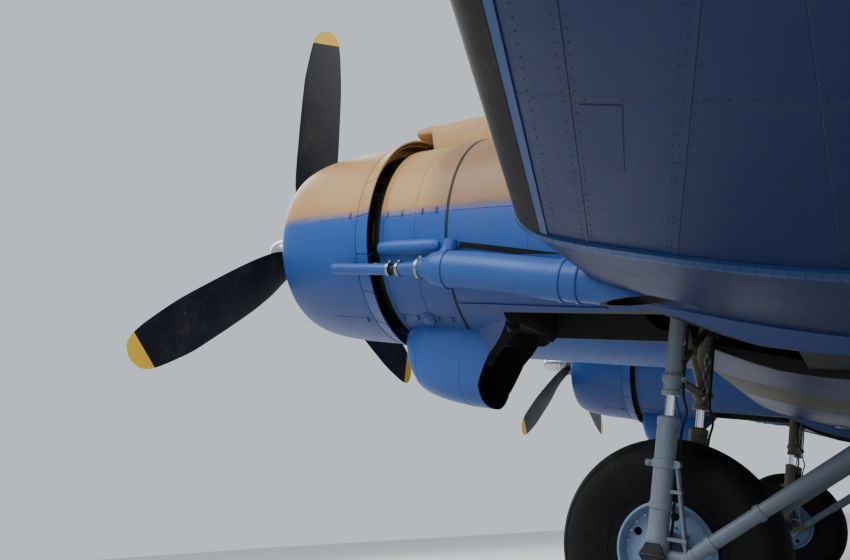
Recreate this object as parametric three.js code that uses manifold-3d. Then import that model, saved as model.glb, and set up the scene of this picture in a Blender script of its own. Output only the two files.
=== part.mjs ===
// A twin-engined military transport plane that parks on two main wheels and a tail wheel.
// Millimetres. The aircraft's own frame has +X to port, +Y aft and +Z up, with its origin on the centreline,
// level with the two thrust lines and in the plane of the propellers. The last lines set it on its wheels.
import * as THREE from "three";
import { mergeVertices } from "three/addons/utils/BufferGeometryUtils.js";
import Module from "manifold-3d";

const wasm = await Module();
wasm.setup();

// Driving dimensions
const GROUND_ANGLE = THREE.MathUtils.degToRad(11.5); // nose up, standing on three wheels
const ENGINE_OFFSET = 2819; // thrust line from the centreline
const SEAT_GAP = 0.3; // between pieces that are fastened together
const MOVE_GAP = 6; // around pieces that move
const PIN_GAP = 0.6; // around a pin in its bore
const TYRE_SEAT = 0.4; // between a tyre and its rim

const PROPELLER = { radius: 1753, hubRadius: 112, hubFront: -105, hubBack: 120, shaftRadius: 70 };
const DOME = { front: -380, radius: 104 };
const BLADE_PHASES = { left: 0.113, right: -2.006 }; // from straight up, about +Y
const BLADES = 3;

const COWL = { back: 915, innerRadius: 618 };
const SKIRT = { front: COWL.back + SEAT_GAP, back: 1030, frontRadius: 676, backRadius: 724, wall: 10 };
const FIREWALL = 1556;
const ENGINE_FRONT = 145;
const ACCESSORY = { front: 1070, frontRadius: 640, backRadius: 668, wall: 10 };

const WING = { leadY: 2425, leadZ: -350, chord: 4318, thickness: 0.15, incidence: 3.8, joint: 4400 };
const PANEL = { length: 10218, taper: 0.3, tipThickness: 0.065, tipIncidence: 1.5, rise: 6.35 };
const CAMBER = { height: 0.02, place: 0.15 };
const AILERON = { start: 4600, end: 9450, chord: 500 };
const FLAP = { chord: 720, thickness: 12, innerHalf: 4350, outerStart: 60, outerEnd: 4560, pin: 6 };

const JACK_PAD = { x: 2000, y: 3300, radius: 60, drop: 18 }; // under the centre section, for a lifting jack

const WELL = { halfWidth: 405, front: 1850, legBack: 3350, back: 4250, roof: -60, wall: 40 };
const MAIN_WHEEL = { y: 2750, z: -1720.6, radius: 571.5, width: 430, rimRadius: 242, axleRadius: 45, axleReach: 445 };
const LEG = { spacing: 360, topY: 2815, topZ: -420, upperRadius: 39, pistonRadius: 22, lowerRadius: 52 };
const WHEEL_SIDES = 28;
const LEG_BREAK = { upperEnd: -955, pistonEnd: -1055 };
const STRUT = { radius: 34, spacing: 350, topY: 4104, pinRadius: 34 };
const TAIL_WHEEL = { y: 13860, z: 242, radius: 280, width: 210, rimRadius: 140, trail: 130, axleRadius: 24 };
const KINGPIN = { radius: 34, foot: 372, top: 540 };

const FIN = { hinge: 15450, base: 1700, top: 4690 };
const TAILPLANE = { z: 1560, hinge: 15330, halfSpan: 4065, root: 330 };
const TORQUE_TUBE = 25;
const DOOR = { front: 8000, middle: 9250, back: 10200, low: 60, high: 1740, wall: 45, farSide: -700 };
const DOOR_MEETING = 20; // from the middle line to each leaf, so that either leaf opens alone
const DOOR_HINGE = { out: 13, radius: 8, length: 90 };

// Materials
const paint = (color, roughness, metalness) => new THREE.MeshStandardMaterial({ color, roughness, metalness });
const MATERIALS = {
  camouflage: paint(0x6e86a8, 0.5, 0.1),
  sand: paint(0x9a7f5e, 0.6, 0.1),
  underside: paint(0x35496b, 0.5, 0.1),
  blade: paint(0x33353b, 0.55, 0.2),
  dome: paint(0xa9adb2, 0.3, 0.9),
  metal: paint(0x8d9299, 0.35, 0.9),
  engine: paint(0x3c3f44, 0.5, 0.8),
  leg: paint(0x9aa4b3, 0.4, 0.4),
  tyre: paint(0x17181a, 0.85, 0),
  glass: paint(0x202830, 0.1, 0),
};

// Solids and geometries

// A closed geometry as a solid, with its faces turned outwards and its collapsed faces left out.
function solid(geometry) {
  const bare = geometry.clone();
  bare.deleteAttribute("normal");
  bare.deleteAttribute("uv");
  const merged = mergeVertices(bare, 1e-3);
  const index = merged.index.array;
  const faces = [];
  for (let i = 0; i < index.length; i += 3) {
    const [a, b, c] = [index[i], index[i + 1], index[i + 2]];
    if (a !== b && b !== c && c !== a) faces.push(a, b, c);
  }
  const build = (triVerts) =>
    new wasm.Manifold(
      new wasm.Mesh({ numProp: 3, vertProperties: new Float32Array(merged.attributes.position.array), triVerts }),
    );
  const made = build(new Uint32Array(faces));
  if (made.volume() > 0) return made;
  return build(new Uint32Array(faces.reverse()));
}

function geometryOf(body) {
  const made = body.getMesh();
  const geometry = new THREE.BufferGeometry();
  geometry.setAttribute("position", new THREE.BufferAttribute(made.vertProperties, made.numProp));
  geometry.setIndex(new THREE.BufferAttribute(made.triVerts, 1));
  geometry.computeVertexNormals();
  return geometry;
}

const moved = (geometry, x, y, z) => geometry.translate(x, y, z);
const joined = (first, ...others) => others.reduce((whole, body) => whole.add(body), first);
const cut = (first, ...others) => others.reduce((whole, body) => whole.subtract(body), first);

// The same geometry on the other side of the centreline.
function mirrored(geometry) {
  const copy = geometry.clone().applyMatrix4(new THREE.Matrix4().makeScale(-1, 1, 1));
  copy.index.array.reverse();
  copy.computeVertexNormals();
  return copy;
}

// A skin over a row of rings with equal counts of points, closed at both ends.
function loft(rings) {
  const count = rings[0].length;
  const positions = [];
  const face = (a, b, c) => positions.push(...a.toArray(), ...b.toArray(), ...c.toArray());
  for (let r = 0; r + 1 < rings.length; r++) {
    for (let i = 0; i < count; i++) {
      const j = (i + 1) % count;
      face(rings[r][i], rings[r][j], rings[r + 1][j]);
      face(rings[r][i], rings[r + 1][j], rings[r + 1][i]);
    }
  }
  for (const [ring, turn] of [[rings[0], 1], [rings[rings.length - 1], -1]]) {
    const middle = ring.reduce((sum, point) => sum.add(point), new THREE.Vector3()).divideScalar(count);
    for (let i = 0; i < count; i++) {
      const j = (i + 1) % count;
      if (turn > 0) face(middle, ring[j], ring[i]);
      else face(middle, ring[i], ring[j]);
    }
  }
  const geometry = new THREE.BufferGeometry();
  geometry.setAttribute("position", new THREE.Float32BufferAttribute(positions, 3));
  return solid(geometry);
}

// A rounded outline across the aircraft at one station: power 2 is an ellipse, more is squarer.
function outline({ x = 0, y, half, low, high, power = 2 }, sides, grow = 0) {
  const ring = [];
  const soft = (value) => Math.sign(value) * Math.abs(value) ** (2 / power);
  for (let i = 0; i < sides; i++) {
    const angle = (2 * Math.PI * (i + 0.5)) / sides;
    const across = (half + grow) * soft(Math.cos(angle));
    const up = (low + high) / 2 + ((high - low) / 2 + grow) * soft(Math.sin(angle));
    ring.push(new THREE.Vector3(x + across, y, up));
  }
  return ring;
}

const rows = (names, table) => table.map((row) => Object.fromEntries(names.map((name, i) => [name, row[i]])));
const outlines = (table, sides, x = 0, grow = 0) => loft(table.map((row) => outline({ ...row, x }, sides, grow)));

// A body of revolution about the fore-and-aft axis, from pairs of [radius, y].
function turned(profile, segments) {
  return solid(new THREE.LatheGeometry(profile.map(([radius, y]) => new THREE.Vector2(radius, y)), segments));
}

function box(low, high) {
  const size = high.map((value, i) => value - low[i]);
  const middle = high.map((value, i) => (value + low[i]) / 2);
  return solid(moved(new THREE.BoxGeometry(...size), ...middle));
}

// A straight round bar between two points, tapered where a second radius is given.
function bar(from, to, radius, segments = 16, endRadius = radius) {
  const start = new THREE.Vector3(...from);
  const along = new THREE.Vector3(...to).sub(start);
  const geometry = new THREE.CylinderGeometry(endRadius, radius, along.length(), segments);
  geometry.translate(0, along.length() / 2, 0);
  const turn = new THREE.Quaternion().setFromUnitVectors(new THREE.Vector3(0, 1, 0), along.clone().normalize());
  geometry.applyQuaternion(turn);
  geometry.translate(...start.toArray());
  return solid(geometry);
}

// A round pipe through points, each with its own radius; every ring stands across the pipe.
function pipe(stations, segments) {
  const points = stations.map(({ x, y, z }) => new THREE.Vector3(x, y, z));
  const rings = stations.map(({ radius }, i) => {
    const before = points[Math.max(i - 1, 0)];
    const after = points[Math.min(i + 1, points.length - 1)];
    const along = after.clone().sub(before).normalize();
    const across = new THREE.Vector3(1, 0, 0).addScaledVector(along, -along.x).normalize();
    const up = new THREE.Vector3().crossVectors(across, along);
    return Array.from({ length: segments }, (_, k) => {
      const angle = (2 * Math.PI * k) / segments;
      const point = points[i].clone().addScaledVector(across, radius * Math.cos(angle));
      return point.addScaledVector(up, radius * Math.sin(angle));
    });
  });
  return loft(rings);
}

// Wing sections

const thicknessAt = (u, ratio) =>
  5 * ratio * (0.2969 * Math.sqrt(u) - 0.126 * u - 0.3516 * u ** 2 + 0.2843 * u ** 3 - 0.1036 * u ** 4);
function camberAt(u, { height, place }) {
  if (u < place) return (height / place ** 2) * (2 * place * u - u ** 2);
  return (height / (1 - place) ** 2) * (1 - 2 * place + 2 * place * u - u ** 2);
}

// The vectors of a section: forward along its chord, and up across it.
function sectionAxes(up, degrees) {
  const angle = THREE.MathUtils.degToRad(degrees);
  const aft = new THREE.Vector3(0, 1, 0);
  const forward = up.clone().multiplyScalar(Math.sin(angle)).addScaledVector(aft, -Math.cos(angle));
  const upward = up.clone().multiplyScalar(Math.cos(angle)).addScaledVector(aft, Math.sin(angle));
  return { forward, upward };
}

const SECTION_STEPS = 10; // points from the trailing edge to the leading edge on one side

// A closed aerofoil outline whose trailing edge is at a point.
function sectionRing(trail, up, { chord, thickness, incidence }, camber = CAMBER) {
  const { forward, upward } = sectionAxes(up, incidence);
  const ring = [];
  for (let i = 0; i < 2 * SECTION_STEPS; i++) {
    const side = i <= SECTION_STEPS ? 1 : -1;
    const step = i <= SECTION_STEPS ? i : 2 * SECTION_STEPS - i;
    const u = (1 + Math.cos((Math.PI * step) / SECTION_STEPS)) / 2;
    const v = camberAt(u, camber) + side * thicknessAt(Math.max(u, 0), thickness);
    ring.push(trail.clone().addScaledVector(forward, (1 - u) * chord).addScaledVector(upward, v * chord));
  }
  return ring;
}

// A point of the section a given distance ahead of its trailing edge: 0 on the camber line, -1 below, 1 above.
function sectionPoint(trail, up, { chord, thickness, incidence }, ahead, side) {
  const { forward, upward } = sectionAxes(up, incidence);
  const u = 1 - ahead / chord;
  const v = camberAt(u, CAMBER) + side * thicknessAt(u, thickness);
  return trail.clone().addScaledVector(forward, ahead).addScaledVector(upward, v * chord);
}

const UP = new THREE.Vector3(0, 0, 1);
const wingAngle = THREE.MathUtils.degToRad(WING.incidence);
const centreTrail = new THREE.Vector3(
  0,
  WING.leadY + WING.chord * Math.cos(wingAngle),
  WING.leadZ - WING.chord * Math.sin(wingAngle),
);
const atSpan = (x) => centreTrail.clone().setX(x);

// The outer panel rises along its trailing edge, and its sections stand across that line.
const riseAngle = THREE.MathUtils.degToRad(PANEL.rise);
const panelAlong = new THREE.Vector3(Math.cos(riseAngle), 0, Math.sin(riseAngle));
const panelUp = new THREE.Vector3(-Math.sin(riseAngle), 0, Math.cos(riseAngle));
const panelTrail = (span) => atSpan(WING.joint).addScaledVector(panelAlong, span);
function panelSection(span) {
  const share = span / PANEL.length;
  return {
    chord: WING.chord - PANEL.taper * span,
    thickness: THREE.MathUtils.lerp(WING.thickness, PANEL.tipThickness, share),
    incidence: THREE.MathUtils.lerp(WING.incidence, PANEL.tipIncidence, share),
  };
}

// A control surface: a round nose about its hinge line, tapered to a trailing edge.
// Each station has its hinge point, nose radius and trailing edge, with the direction across the surface.
const NOSE_STEPS = 8;
function controlSurface(stations) {
  return loft(
    stations.map(({ hinge, radius, trail, up }) => {
      const aft = trail.clone().sub(hinge).normalize();
      const ring = [];
      for (let i = 0; i <= NOSE_STEPS; i++) {
        const angle = Math.PI / 2 + (Math.PI * i) / NOSE_STEPS;
        const nose = hinge.clone().addScaledVector(aft, radius * Math.cos(angle));
        ring.push(nose.addScaledVector(up, radius * Math.sin(angle)));
      }
      ring.push(trail.clone().addScaledVector(up, -4));
      ring.push(trail.clone().addScaledVector(up, 4));
      return ring;
    }),
  );
}

// Fuselage

const FUSELAGE_SIDES = 28;
const FUSELAGE = rows(["y", "half", "low", "high", "power"], [
  [-2560, 60, 560, 680, 2],
  [-2500, 280, 390, 870, 2],
  [-2370, 470, 240, 1050, 2],
  [-2120, 690, 70, 1280, 2],
  [-1780, 880, -80, 1470, 2.1],
  [-1120, 1030, -220, 1950, 2.15],
  [-600, 1080, -270, 2060, 2.2],
  [200, 1130, -320, 2150, 2.2],
  [1100, 1200, -345, 2210, 2.2],
  [2000, 1235, -360, 2240, 2.2],
  [7000, 1235, -360, 2240, 2.2],
  [9000, 1190, -250, 2225, 2.2],
  [11000, 990, 60, 2150, 2.15],
  [13000, 690, 560, 2030, 2.1],
  [14600, 420, 990, 1900, 2.05],
  [15700, 240, 1290, 1800, 2],
  [16250, 130, 1450, 1740, 2],
  [16480, 40, 1540, 1650, 2],
]);
const NOSE_CAP = -2140;
const TAIL_CONE = 15620;
const CANOPY = { front: -1790, back: -620, low: 1420 };
const FAR = 30000;

const fuselageWhole = outlines(FUSELAGE, FUSELAGE_SIDES);
const fuselageInner = outlines(FUSELAGE, FUSELAGE_SIDES, 0, -DOOR.wall);
const cutWing = loft([-WING.joint - 400, WING.joint + 400].map((x) =>
  sectionRing(atSpan(x).add(new THREE.Vector3(0, 1, 0)), UP, {
    chord: WING.chord + 2,
    thickness: WING.thickness + 0.0002,
    incidence: WING.incidence,
  }),
));

const noseCap = fuselageWhole.intersect(box([-2000, -FAR, -2000], [2000, NOSE_CAP - SEAT_GAP, 4000]));
const canopy = fuselageWhole.intersect(box([-2000, CANOPY.front, CANOPY.low], [2000, CANOPY.back, 4000]));
const canopyRoom = box(
  [-2000, CANOPY.front - SEAT_GAP, CANOPY.low - SEAT_GAP],
  [2000, CANOPY.back + SEAT_GAP, 4000],
);
const tailTube = bar([-600, TAILPLANE.hinge, TAILPLANE.z], [600, TAILPLANE.hinge, TAILPLANE.z], TORQUE_TUBE + PIN_GAP, 24);
const rudderTube = bar([0, FIN.hinge, FIN.base - 150], [0, FIN.hinge, FIN.base + 300], TORQUE_TUBE + PIN_GAP, 24);

// Cargo doors in the port side: two leaves that swing outwards, each on its own upright hinge.
const doorMiddleZ = (DOOR.low + DOOR.high) / 2;
const halfAt = (y) => {
  const after = FUSELAGE.findIndex((row) => row.y >= y);
  const [a, b] = [FUSELAGE[after - 1], FUSELAGE[after]];
  return THREE.MathUtils.lerp(a.half, b.half, (y - a.y) / (b.y - a.y));
};
const doorway = box([DOOR.farSide, DOOR.front, DOOR.low], [1600, DOOR.back, DOOR.high]);
const skinAtDoor = fuselageWhole.intersect(
  box([600, DOOR.front, DOOR.low], [1600, DOOR.back, DOOR.high]),
).subtract(fuselageInner);
const LEAVES = [
  { name: "cargo_door_front", y: DOOR.front, from: DOOR.front + MOVE_GAP, to: DOOR.middle - DOOR_MEETING, aft: 1 },
  { name: "cargo_door_rear", y: DOOR.back, from: DOOR.middle + DOOR_MEETING, to: DOOR.back - MOVE_GAP, aft: -1 },
];
function knuckle(leaf, level, aft) {
  const x = halfAt(leaf.y) + DOOR_HINGE.out;
  const low = level - DOOR_HINGE.length / 2;
  const high = level + DOOR_HINGE.length / 2;
  const barrel = bar([x, leaf.y, low], [x, leaf.y, high], DOOR_HINGE.radius, 12);
  const edge = MOVE_GAP + 2;
  const [near, far] = aft > 0 ? [edge, 60] : [-60, -edge];
  const leafTab = box([x - 34, leaf.y + near, low], [x + 3, leaf.y + far, high]);
  const [inner, outer] = aft > 0 ? [0, 60] : [-60, 0];
  const strap = box([x - 3, leaf.y + inner, low], [x + 3, leaf.y + outer, high]);
  return joined(barrel, leafTab, strap);
}
const doorKnuckleStep = DOOR_HINGE.length + SEAT_GAP;
const leaves = LEAVES.map((leaf) => {
  const room = box([500, leaf.from, DOOR.low + MOVE_GAP], [1700, leaf.to, DOOR.high - MOVE_GAP]);
  return { ...leaf, body: joined(skinAtDoor.intersect(room), knuckle(leaf, doorMiddleZ, leaf.aft)) };
});
const bodyKnuckles = LEAVES.flatMap((leaf) =>
  [-doorKnuckleStep, doorKnuckleStep].map((step) => knuckle(leaf, doorMiddleZ + step, -leaf.aft)),
);

// Tail leg and wheel, in a frame that stands upright on the ground
const tailPlace = new THREE.Matrix4()
  .makeRotationX(GROUND_ANGLE)
  .setPosition(0, TAIL_WHEEL.y, TAIL_WHEEL.z);
const upright = (body) => solid(geometryOf(body).applyMatrix4(tailPlace));
const kingpinY = -TAIL_WHEEL.trail;
const tailLegRadius = KINGPIN.radius + 24;
const tailLegTop = 760;
const tailLeg = upright(
  cut(
    bar([0, kingpinY, KINGPIN.foot + 40], [0, kingpinY, tailLegTop], tailLegRadius, 20),
    bar([0, kingpinY, 0], [0, kingpinY, KINGPIN.top + 20], KINGPIN.radius + PIN_GAP, 24),
  ),
);
const tailLegRoom = upright(bar([0, kingpinY, 300], [0, kingpinY, tailLegTop + SEAT_GAP], tailLegRadius + 0.8, 20));

const fuselage = joined(
  cut(
    fuselageWhole,
    box([-2000, -FAR, -2000], [2000, NOSE_CAP, 4000]),
    box([-2000, TAIL_CONE, -2000], [2000, FAR, 4000]),
    canopyRoom,
    cutWing,
    doorway,
    tailTube,
    rudderTube,
    tailLegRoom,
  ),
  ...bodyKnuckles,
);
const tailCone = fuselageWhole.intersect(box([-2000, TAIL_CONE + SEAT_GAP, -2000], [2000, FAR, 4000]));

// Wing

// The room that a split flap needs in the lower skin, and the flap itself.
function flapPieces(trails, sections, ups, pinAxis) {
  const corner = (i, ahead, rise) =>
    sectionPoint(trails[i], ups[i], sections[i], ahead, ahead > 0 ? -1 : 0).addScaledVector(ups[i], rise);
  const slab = (front, back, low, frontHigh, backHigh) =>
    loft(trails.map((_, i) => [
      corner(i, FLAP.chord, low).add(new THREE.Vector3(0, -front, 0)),
      corner(i, FLAP.chord, frontHigh).add(new THREE.Vector3(0, -front, 0)),
      corner(i, 0, backHigh).add(new THREE.Vector3(0, back, 0)),
      corner(i, 0, low).add(new THREE.Vector3(0, back, 0)),
    ]));
  const flap = slab(0, 0, 0, FLAP.thickness, FLAP.thickness * 0.3);
  const room = slab(MOVE_GAP + FLAP.thickness, 60, -300, FLAP.thickness + MOVE_GAP, FLAP.thickness * 0.3 + MOVE_GAP);
  const hinges = trails.map((_, i) => corner(i, FLAP.chord, FLAP.pin / 2).add(new THREE.Vector3(0, FLAP.pin / 2, 0)));
  const reach = hinges[1].clone().sub(hinges[0]).setLength(pinAxis);
  const pin = bar(
    hinges[0].clone().sub(reach).toArray(),
    hinges[1].clone().add(reach).toArray(),
    FLAP.pin / 2,
    8,
  );
  return { flap: joined(flap, pin), room, hinges };
}

const centreSection = { chord: WING.chord, thickness: WING.thickness, incidence: WING.incidence };
// The height of the wing's lower skin at a place along its chord.
const wingUnder = (y) => sectionPoint(atSpan(0), UP, centreSection, (centreTrail.y - y) / Math.cos(wingAngle), -1).z;
const wingWhole = loft([-WING.joint, WING.joint].map((x) => sectionRing(atSpan(x), UP, centreSection)));
const centreFlap = flapPieces(
  [-FLAP.innerHalf, FLAP.innerHalf].map(atSpan),
  [centreSection, centreSection],
  [UP, UP],
  0,
);
const flapEnds = MOVE_GAP + FLAP.innerHalf;
const centreFlapRoom = flapPieces([-flapEnds, flapEnds].map(atSpan), [centreSection, centreSection], [UP, UP], 0).room;
const notches = [-1, 1].map((side) => {
  const half = WELL.halfWidth + WELL.wall;
  const x = side * ENGINE_OFFSET;
  return box([x - half, WING.leadY - 400, -1500], [x + half, WELL.legBack + WELL.wall, 1500]);
});
const centrePins = bar(
  centreFlap.hinges[0].clone().add(new THREE.Vector3(-MOVE_GAP + SEAT_GAP, 0, 0)).toArray(),
  centreFlap.hinges[1].clone().add(new THREE.Vector3(MOVE_GAP - SEAT_GAP, 0, 0)).toArray(),
  FLAP.pin / 2,
  8,
);

const centreFlapBody = joined(centreFlap.flap, centrePins);
const jackPads = [-1, 1].map((side) => {
  const under = wingUnder(JACK_PAD.y);
  return bar(
    [side * JACK_PAD.x, JACK_PAD.y, under + 60],
    [side * JACK_PAD.x, JACK_PAD.y, under - JACK_PAD.drop],
    JACK_PAD.radius,
    16,
  );
});
const wingBeforeTroughs = joined(cut(wingWhole, centreFlapRoom, ...notches), ...jackPads);

// How far the leading and trailing edges draw in towards the rounded tip.
const TIP = rows(["span", "leadIn", "trailIn"], [
  [SEAT_GAP * 2, 0, 0],
  [320, 0, 0],
  [AILERON.start, 0, 0],
  [AILERON.end, 0, 0],
  [9800, 60, 60],
  [10030, 190, 180],
  [10160, 380, 330],
  [PANEL.length, 600, 470],
]);
const panelWhole = loft(
  TIP.map(({ span, leadIn, trailIn }, i) => {
    const section = panelSection(span);
    const trail = panelTrail(span).add(new THREE.Vector3(0, -trailIn, 0));
    return sectionRing(trail, i === 0 ? UP : panelUp, { ...section, chord: section.chord - leadIn - trailIn });
  }),
);
const outerFlapSpans = [FLAP.outerStart, FLAP.outerEnd];
const outerFlap = flapPieces(
  outerFlapSpans.map(panelTrail),
  outerFlapSpans.map(panelSection),
  [panelUp, panelUp],
  MOVE_GAP - SEAT_GAP,
);
const outerRoomSpans = [FLAP.outerStart - MOVE_GAP, FLAP.outerEnd + MOVE_GAP];
const outerFlapRoom = flapPieces(
  outerRoomSpans.map(panelTrail),
  outerRoomSpans.map(panelSection),
  [panelUp, panelUp],
  0,
).room;

const hingeInset = 0.92; // nose radius as a share of the half thickness
function aileronStation(span, grow) {
  const section = panelSection(span);
  const middle = sectionPoint(panelTrail(span), panelUp, section, AILERON.chord, 0);
  const top = sectionPoint(panelTrail(span), panelUp, section, AILERON.chord, 1);
  const radius = hingeInset * top.distanceTo(middle) + grow;
  return { hinge: middle, radius, trail: panelTrail(span), up: panelUp };
}
const aileronSpans = [AILERON.start + MOVE_GAP, AILERON.end - MOVE_GAP];
const aileronStations = aileronSpans.map((span) => aileronStation(span, 0));
const aileronReach = panelAlong.clone().multiplyScalar(MOVE_GAP - SEAT_GAP);
const aileron = joined(
  controlSurface(aileronStations),
  bar(
    aileronStations[0].hinge.clone().sub(aileronReach).toArray(),
    aileronStations[1].hinge.clone().add(aileronReach).toArray(),
    12,
    10,
  ),
);
const aileronRoom = loft(
  [AILERON.start, AILERON.end].map((span) => {
    const { hinge, radius } = aileronStation(span, MOVE_GAP);
    const corners = [[-radius, -300], [-radius, 300], [900, 300], [900, -300]];
    return corners.map(([aft, up]) => hinge.clone().add(new THREE.Vector3(0, aft, 0)).addScaledVector(panelUp, up));
  }),
);
const outerWing = cut(panelWhole, outerFlapRoom, aileronRoom);

// Tail surfaces

const PLAIN = { height: 0, place: 0.5 };
const FIN_TABLE = rows(["z", "lead", "trail", "thickness"], [
  [FIN.base - 20, 12550, 16180, 250],
  [2300, 13080, 16330, 235],
  [3000, 13660, 16400, 200],
  [3700, 14200, 16380, 160],
  [4250, 14640, 16250, 120],
  [4560, 14980, 16050, 80],
  [FIN.top, 15300, 15800, 40],
]);
const TAILPLANE_TABLE = rows(["x", "lead", "trail", "thickness"], [
  [0, 13500, 16080, 300],
  [TAILPLANE.root, 13620, 16080, 280],
  [1500, 14000, 16060, 220],
  [2800, 14390, 16000, 160],
  [3600, 14680, 15900, 110],
  [3950, 14930, 15760, 70],
  [TAILPLANE.halfSpan, 15150, 15600, 36],
]);

// An upright or level tail surface: a plain aerofoil ring at each row of its table.
function tailRing({ lead, trail, thickness }, place, across) {
  const ring = [];
  for (let i = 0; i < 2 * SECTION_STEPS; i++) {
    const side = i <= SECTION_STEPS ? 1 : -1;
    const step = i <= SECTION_STEPS ? i : 2 * SECTION_STEPS - i;
    const u = (1 + Math.cos((Math.PI * step) / SECTION_STEPS)) / 2;
    const v = side * thicknessAt(Math.max(u, 0), 1) * thickness + camberAt(u, PLAIN);
    ring.push(place.clone().setY(lead + u * (trail - lead)).addScaledVector(across, v));
  }
  return ring;
}
const rowAt = (table, key, value) => {
  const after = Math.max(1, table.findIndex((row) => row[key] >= value));
  const [a, b] = [table[after - 1], table[after]];
  const share = (value - a[key]) / (b[key] - a[key]);
  const names = Object.keys(a);
  return Object.fromEntries(names.map((name) => [name, THREE.MathUtils.lerp(a[name], b[name], share)]));
};

const ACROSS = new THREE.Vector3(1, 0, 0);
const finWhole = loft(FIN_TABLE.map((row) => tailRing(row, new THREE.Vector3(0, 0, row.z), ACROSS)));
const nosedRadius = ({ lead, trail, thickness }, hinge) =>
  hingeInset * thicknessAt((hinge - lead) / (trail - lead), 1) * thickness;
const RUDDER = { low: 1850, high: 4520 };
const rudderStation = (z, grow) => {
  const row = rowAt(FIN_TABLE, "z", z);
  return {
    hinge: new THREE.Vector3(0, FIN.hinge, z),
    radius: nosedRadius(row, FIN.hinge) + grow,
    trail: new THREE.Vector3(0, row.trail, z),
    up: ACROSS,
  };
};
const rudderLevels = [RUDDER.low, 2300, 3000, 3700, 4250, RUDDER.high];
const rudder = joined(
  controlSurface(rudderLevels.map((z) => rudderStation(z, 0))),
  bar([0, FIN.hinge, FIN.base - 140], [0, FIN.hinge, RUDDER.low + 50], TORQUE_TUBE, 24),
);
const rudderRoom = loft(
  [FIN.base - 200, ...rudderLevels.slice(0, -1), RUDDER.high + MOVE_GAP].map((z) => {
    const radius = rudderStation(Math.max(z, RUDDER.low), MOVE_GAP + 2).radius;
    const wide = 400;
    return [[-wide, -radius], [wide, -radius], [wide, 1500], [-wide, 1500]].map(
      ([x, aft]) => new THREE.Vector3(x, FIN.hinge + aft, z),
    );
  }),
);
const fuselageGrown = outlines(FUSELAGE, FUSELAGE_SIDES, 0, SEAT_GAP + 0.1);
const fin = cut(finWhole, rudderRoom, fuselageGrown);

const tailplaneWhole = loft(
  [...TAILPLANE_TABLE.slice(1).map((row) => ({ ...row, x: -row.x })).reverse(), ...TAILPLANE_TABLE].map((row) =>
    tailRing(row, new THREE.Vector3(row.x, 0, TAILPLANE.z), UP),
  ),
);
const ELEVATOR = { root: 420, tip: 3820 };
const elevatorStation = (x, side, grow) => {
  const row = rowAt(TAILPLANE_TABLE, "x", x);
  return {
    hinge: new THREE.Vector3(side * x, TAILPLANE.hinge, TAILPLANE.z),
    radius: nosedRadius(row, TAILPLANE.hinge) + grow,
    trail: new THREE.Vector3(side * x, row.trail, TAILPLANE.z),
    up: UP,
  };
};
const elevatorSpans = [ELEVATOR.root, 1500, 2800, 3600, ELEVATOR.tip];
const elevatorHalves = [-1, 1].map((side) => controlSurface(elevatorSpans.map((x) => elevatorStation(x, side, 0))));
const elevators = joined(
  ...elevatorHalves,
  bar(
    [-ELEVATOR.root - 60, TAILPLANE.hinge, TAILPLANE.z],
    [ELEVATOR.root + 60, TAILPLANE.hinge, TAILPLANE.z],
    TORQUE_TUBE,
    24,
  ),
);
const elevatorRooms = [-1, 1].map((side) =>
  loft(
    [0, ...elevatorSpans.slice(0, -1), ELEVATOR.tip + MOVE_GAP].map((x) => {
      const radius = elevatorStation(Math.max(x, ELEVATOR.root), side, MOVE_GAP + 2).radius;
      return [[-400, -radius], [400, -radius], [400, 1500], [-400, 1500]].map(
        ([up, aft]) => new THREE.Vector3(side * x, TAILPLANE.hinge + aft, TAILPLANE.z + up),
      );
    }),
  ),
);
const tailplaneCut = cut(tailplaneWhole, ...elevatorRooms, fuselageGrown);
const tailplanes = [-1, 1].map((side) =>
  tailplaneCut.intersect(box([side < 0 ? -FAR : 10, -FAR, -FAR], [side < 0 ? -10 : FAR, FAR, FAR])),
);

// Nacelle and what it carries, on the port side

const NACELLE_SIDES = 24;
const NACELLE = rows(["y", "half", "low", "high", "power"], [
  [FIREWALL, 668, -668, 668, 2],
  [1800, 673, -673, 668, 2.1],
  [2300, 676, -690, 668, 2.15],
  [3000, 668, -830, 610, 2.2],
  [3700, 630, -890, 480, 2.15],
  [4300, 560, -890, 290, 2.1],
  [5000, 420, -840, 20, 2.1],
  [5500, 270, -765, -190, 2.05],
  [5900, 90, -700, -400, 2],
]);
const nacelleWhole = outlines(NACELLE, NACELLE_SIDES, ENGINE_OFFSET);
const nacelleGrown = outlines(
  NACELLE.map((row, i) => (i === 0 ? { ...row, y: row.y - SEAT_GAP } : row)),
  NACELLE_SIDES,
  ENGINE_OFFSET,
  SEAT_GAP + 0.1,
);
const legWell = box(
  [ENGINE_OFFSET - WELL.halfWidth, WELL.front, -1500],
  [ENGINE_OFFSET + WELL.halfWidth, WELL.legBack, WELL.roof],
);
const strutWell = box(
  [ENGINE_OFFSET - WELL.halfWidth, WELL.front, -1500],
  [ENGINE_OFFSET + WELL.halfWidth, WELL.back, -690],
);
// The nacelle's lower edge over the wheel, which it leaves open on both sides.
const LOWER_EDGE = rows(["y", "z"], [
  [WELL.front, -545],
  [2740, -550],
  [2880, -600],
  [3040, -655],
  [3200, -700],
  [3400, -725],
  [3700, -740],
  [4100, -765],
  [4500, -820],
  [4800, -900],
]);
const belowEdge = loft(
  [-800, 800].map((x) =>
    [...LOWER_EDGE, { y: 4800, z: -1500 }, { y: WELL.front, z: -1500 }].map(
      ({ y, z }) => new THREE.Vector3(ENGINE_OFFSET + x, y, z),
    ),
  ),
);
const nacelle = cut(nacelleWhole, cut(cutWing, ...notchesFor(0.4)), legWell, strutWell, belowEdge);

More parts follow.
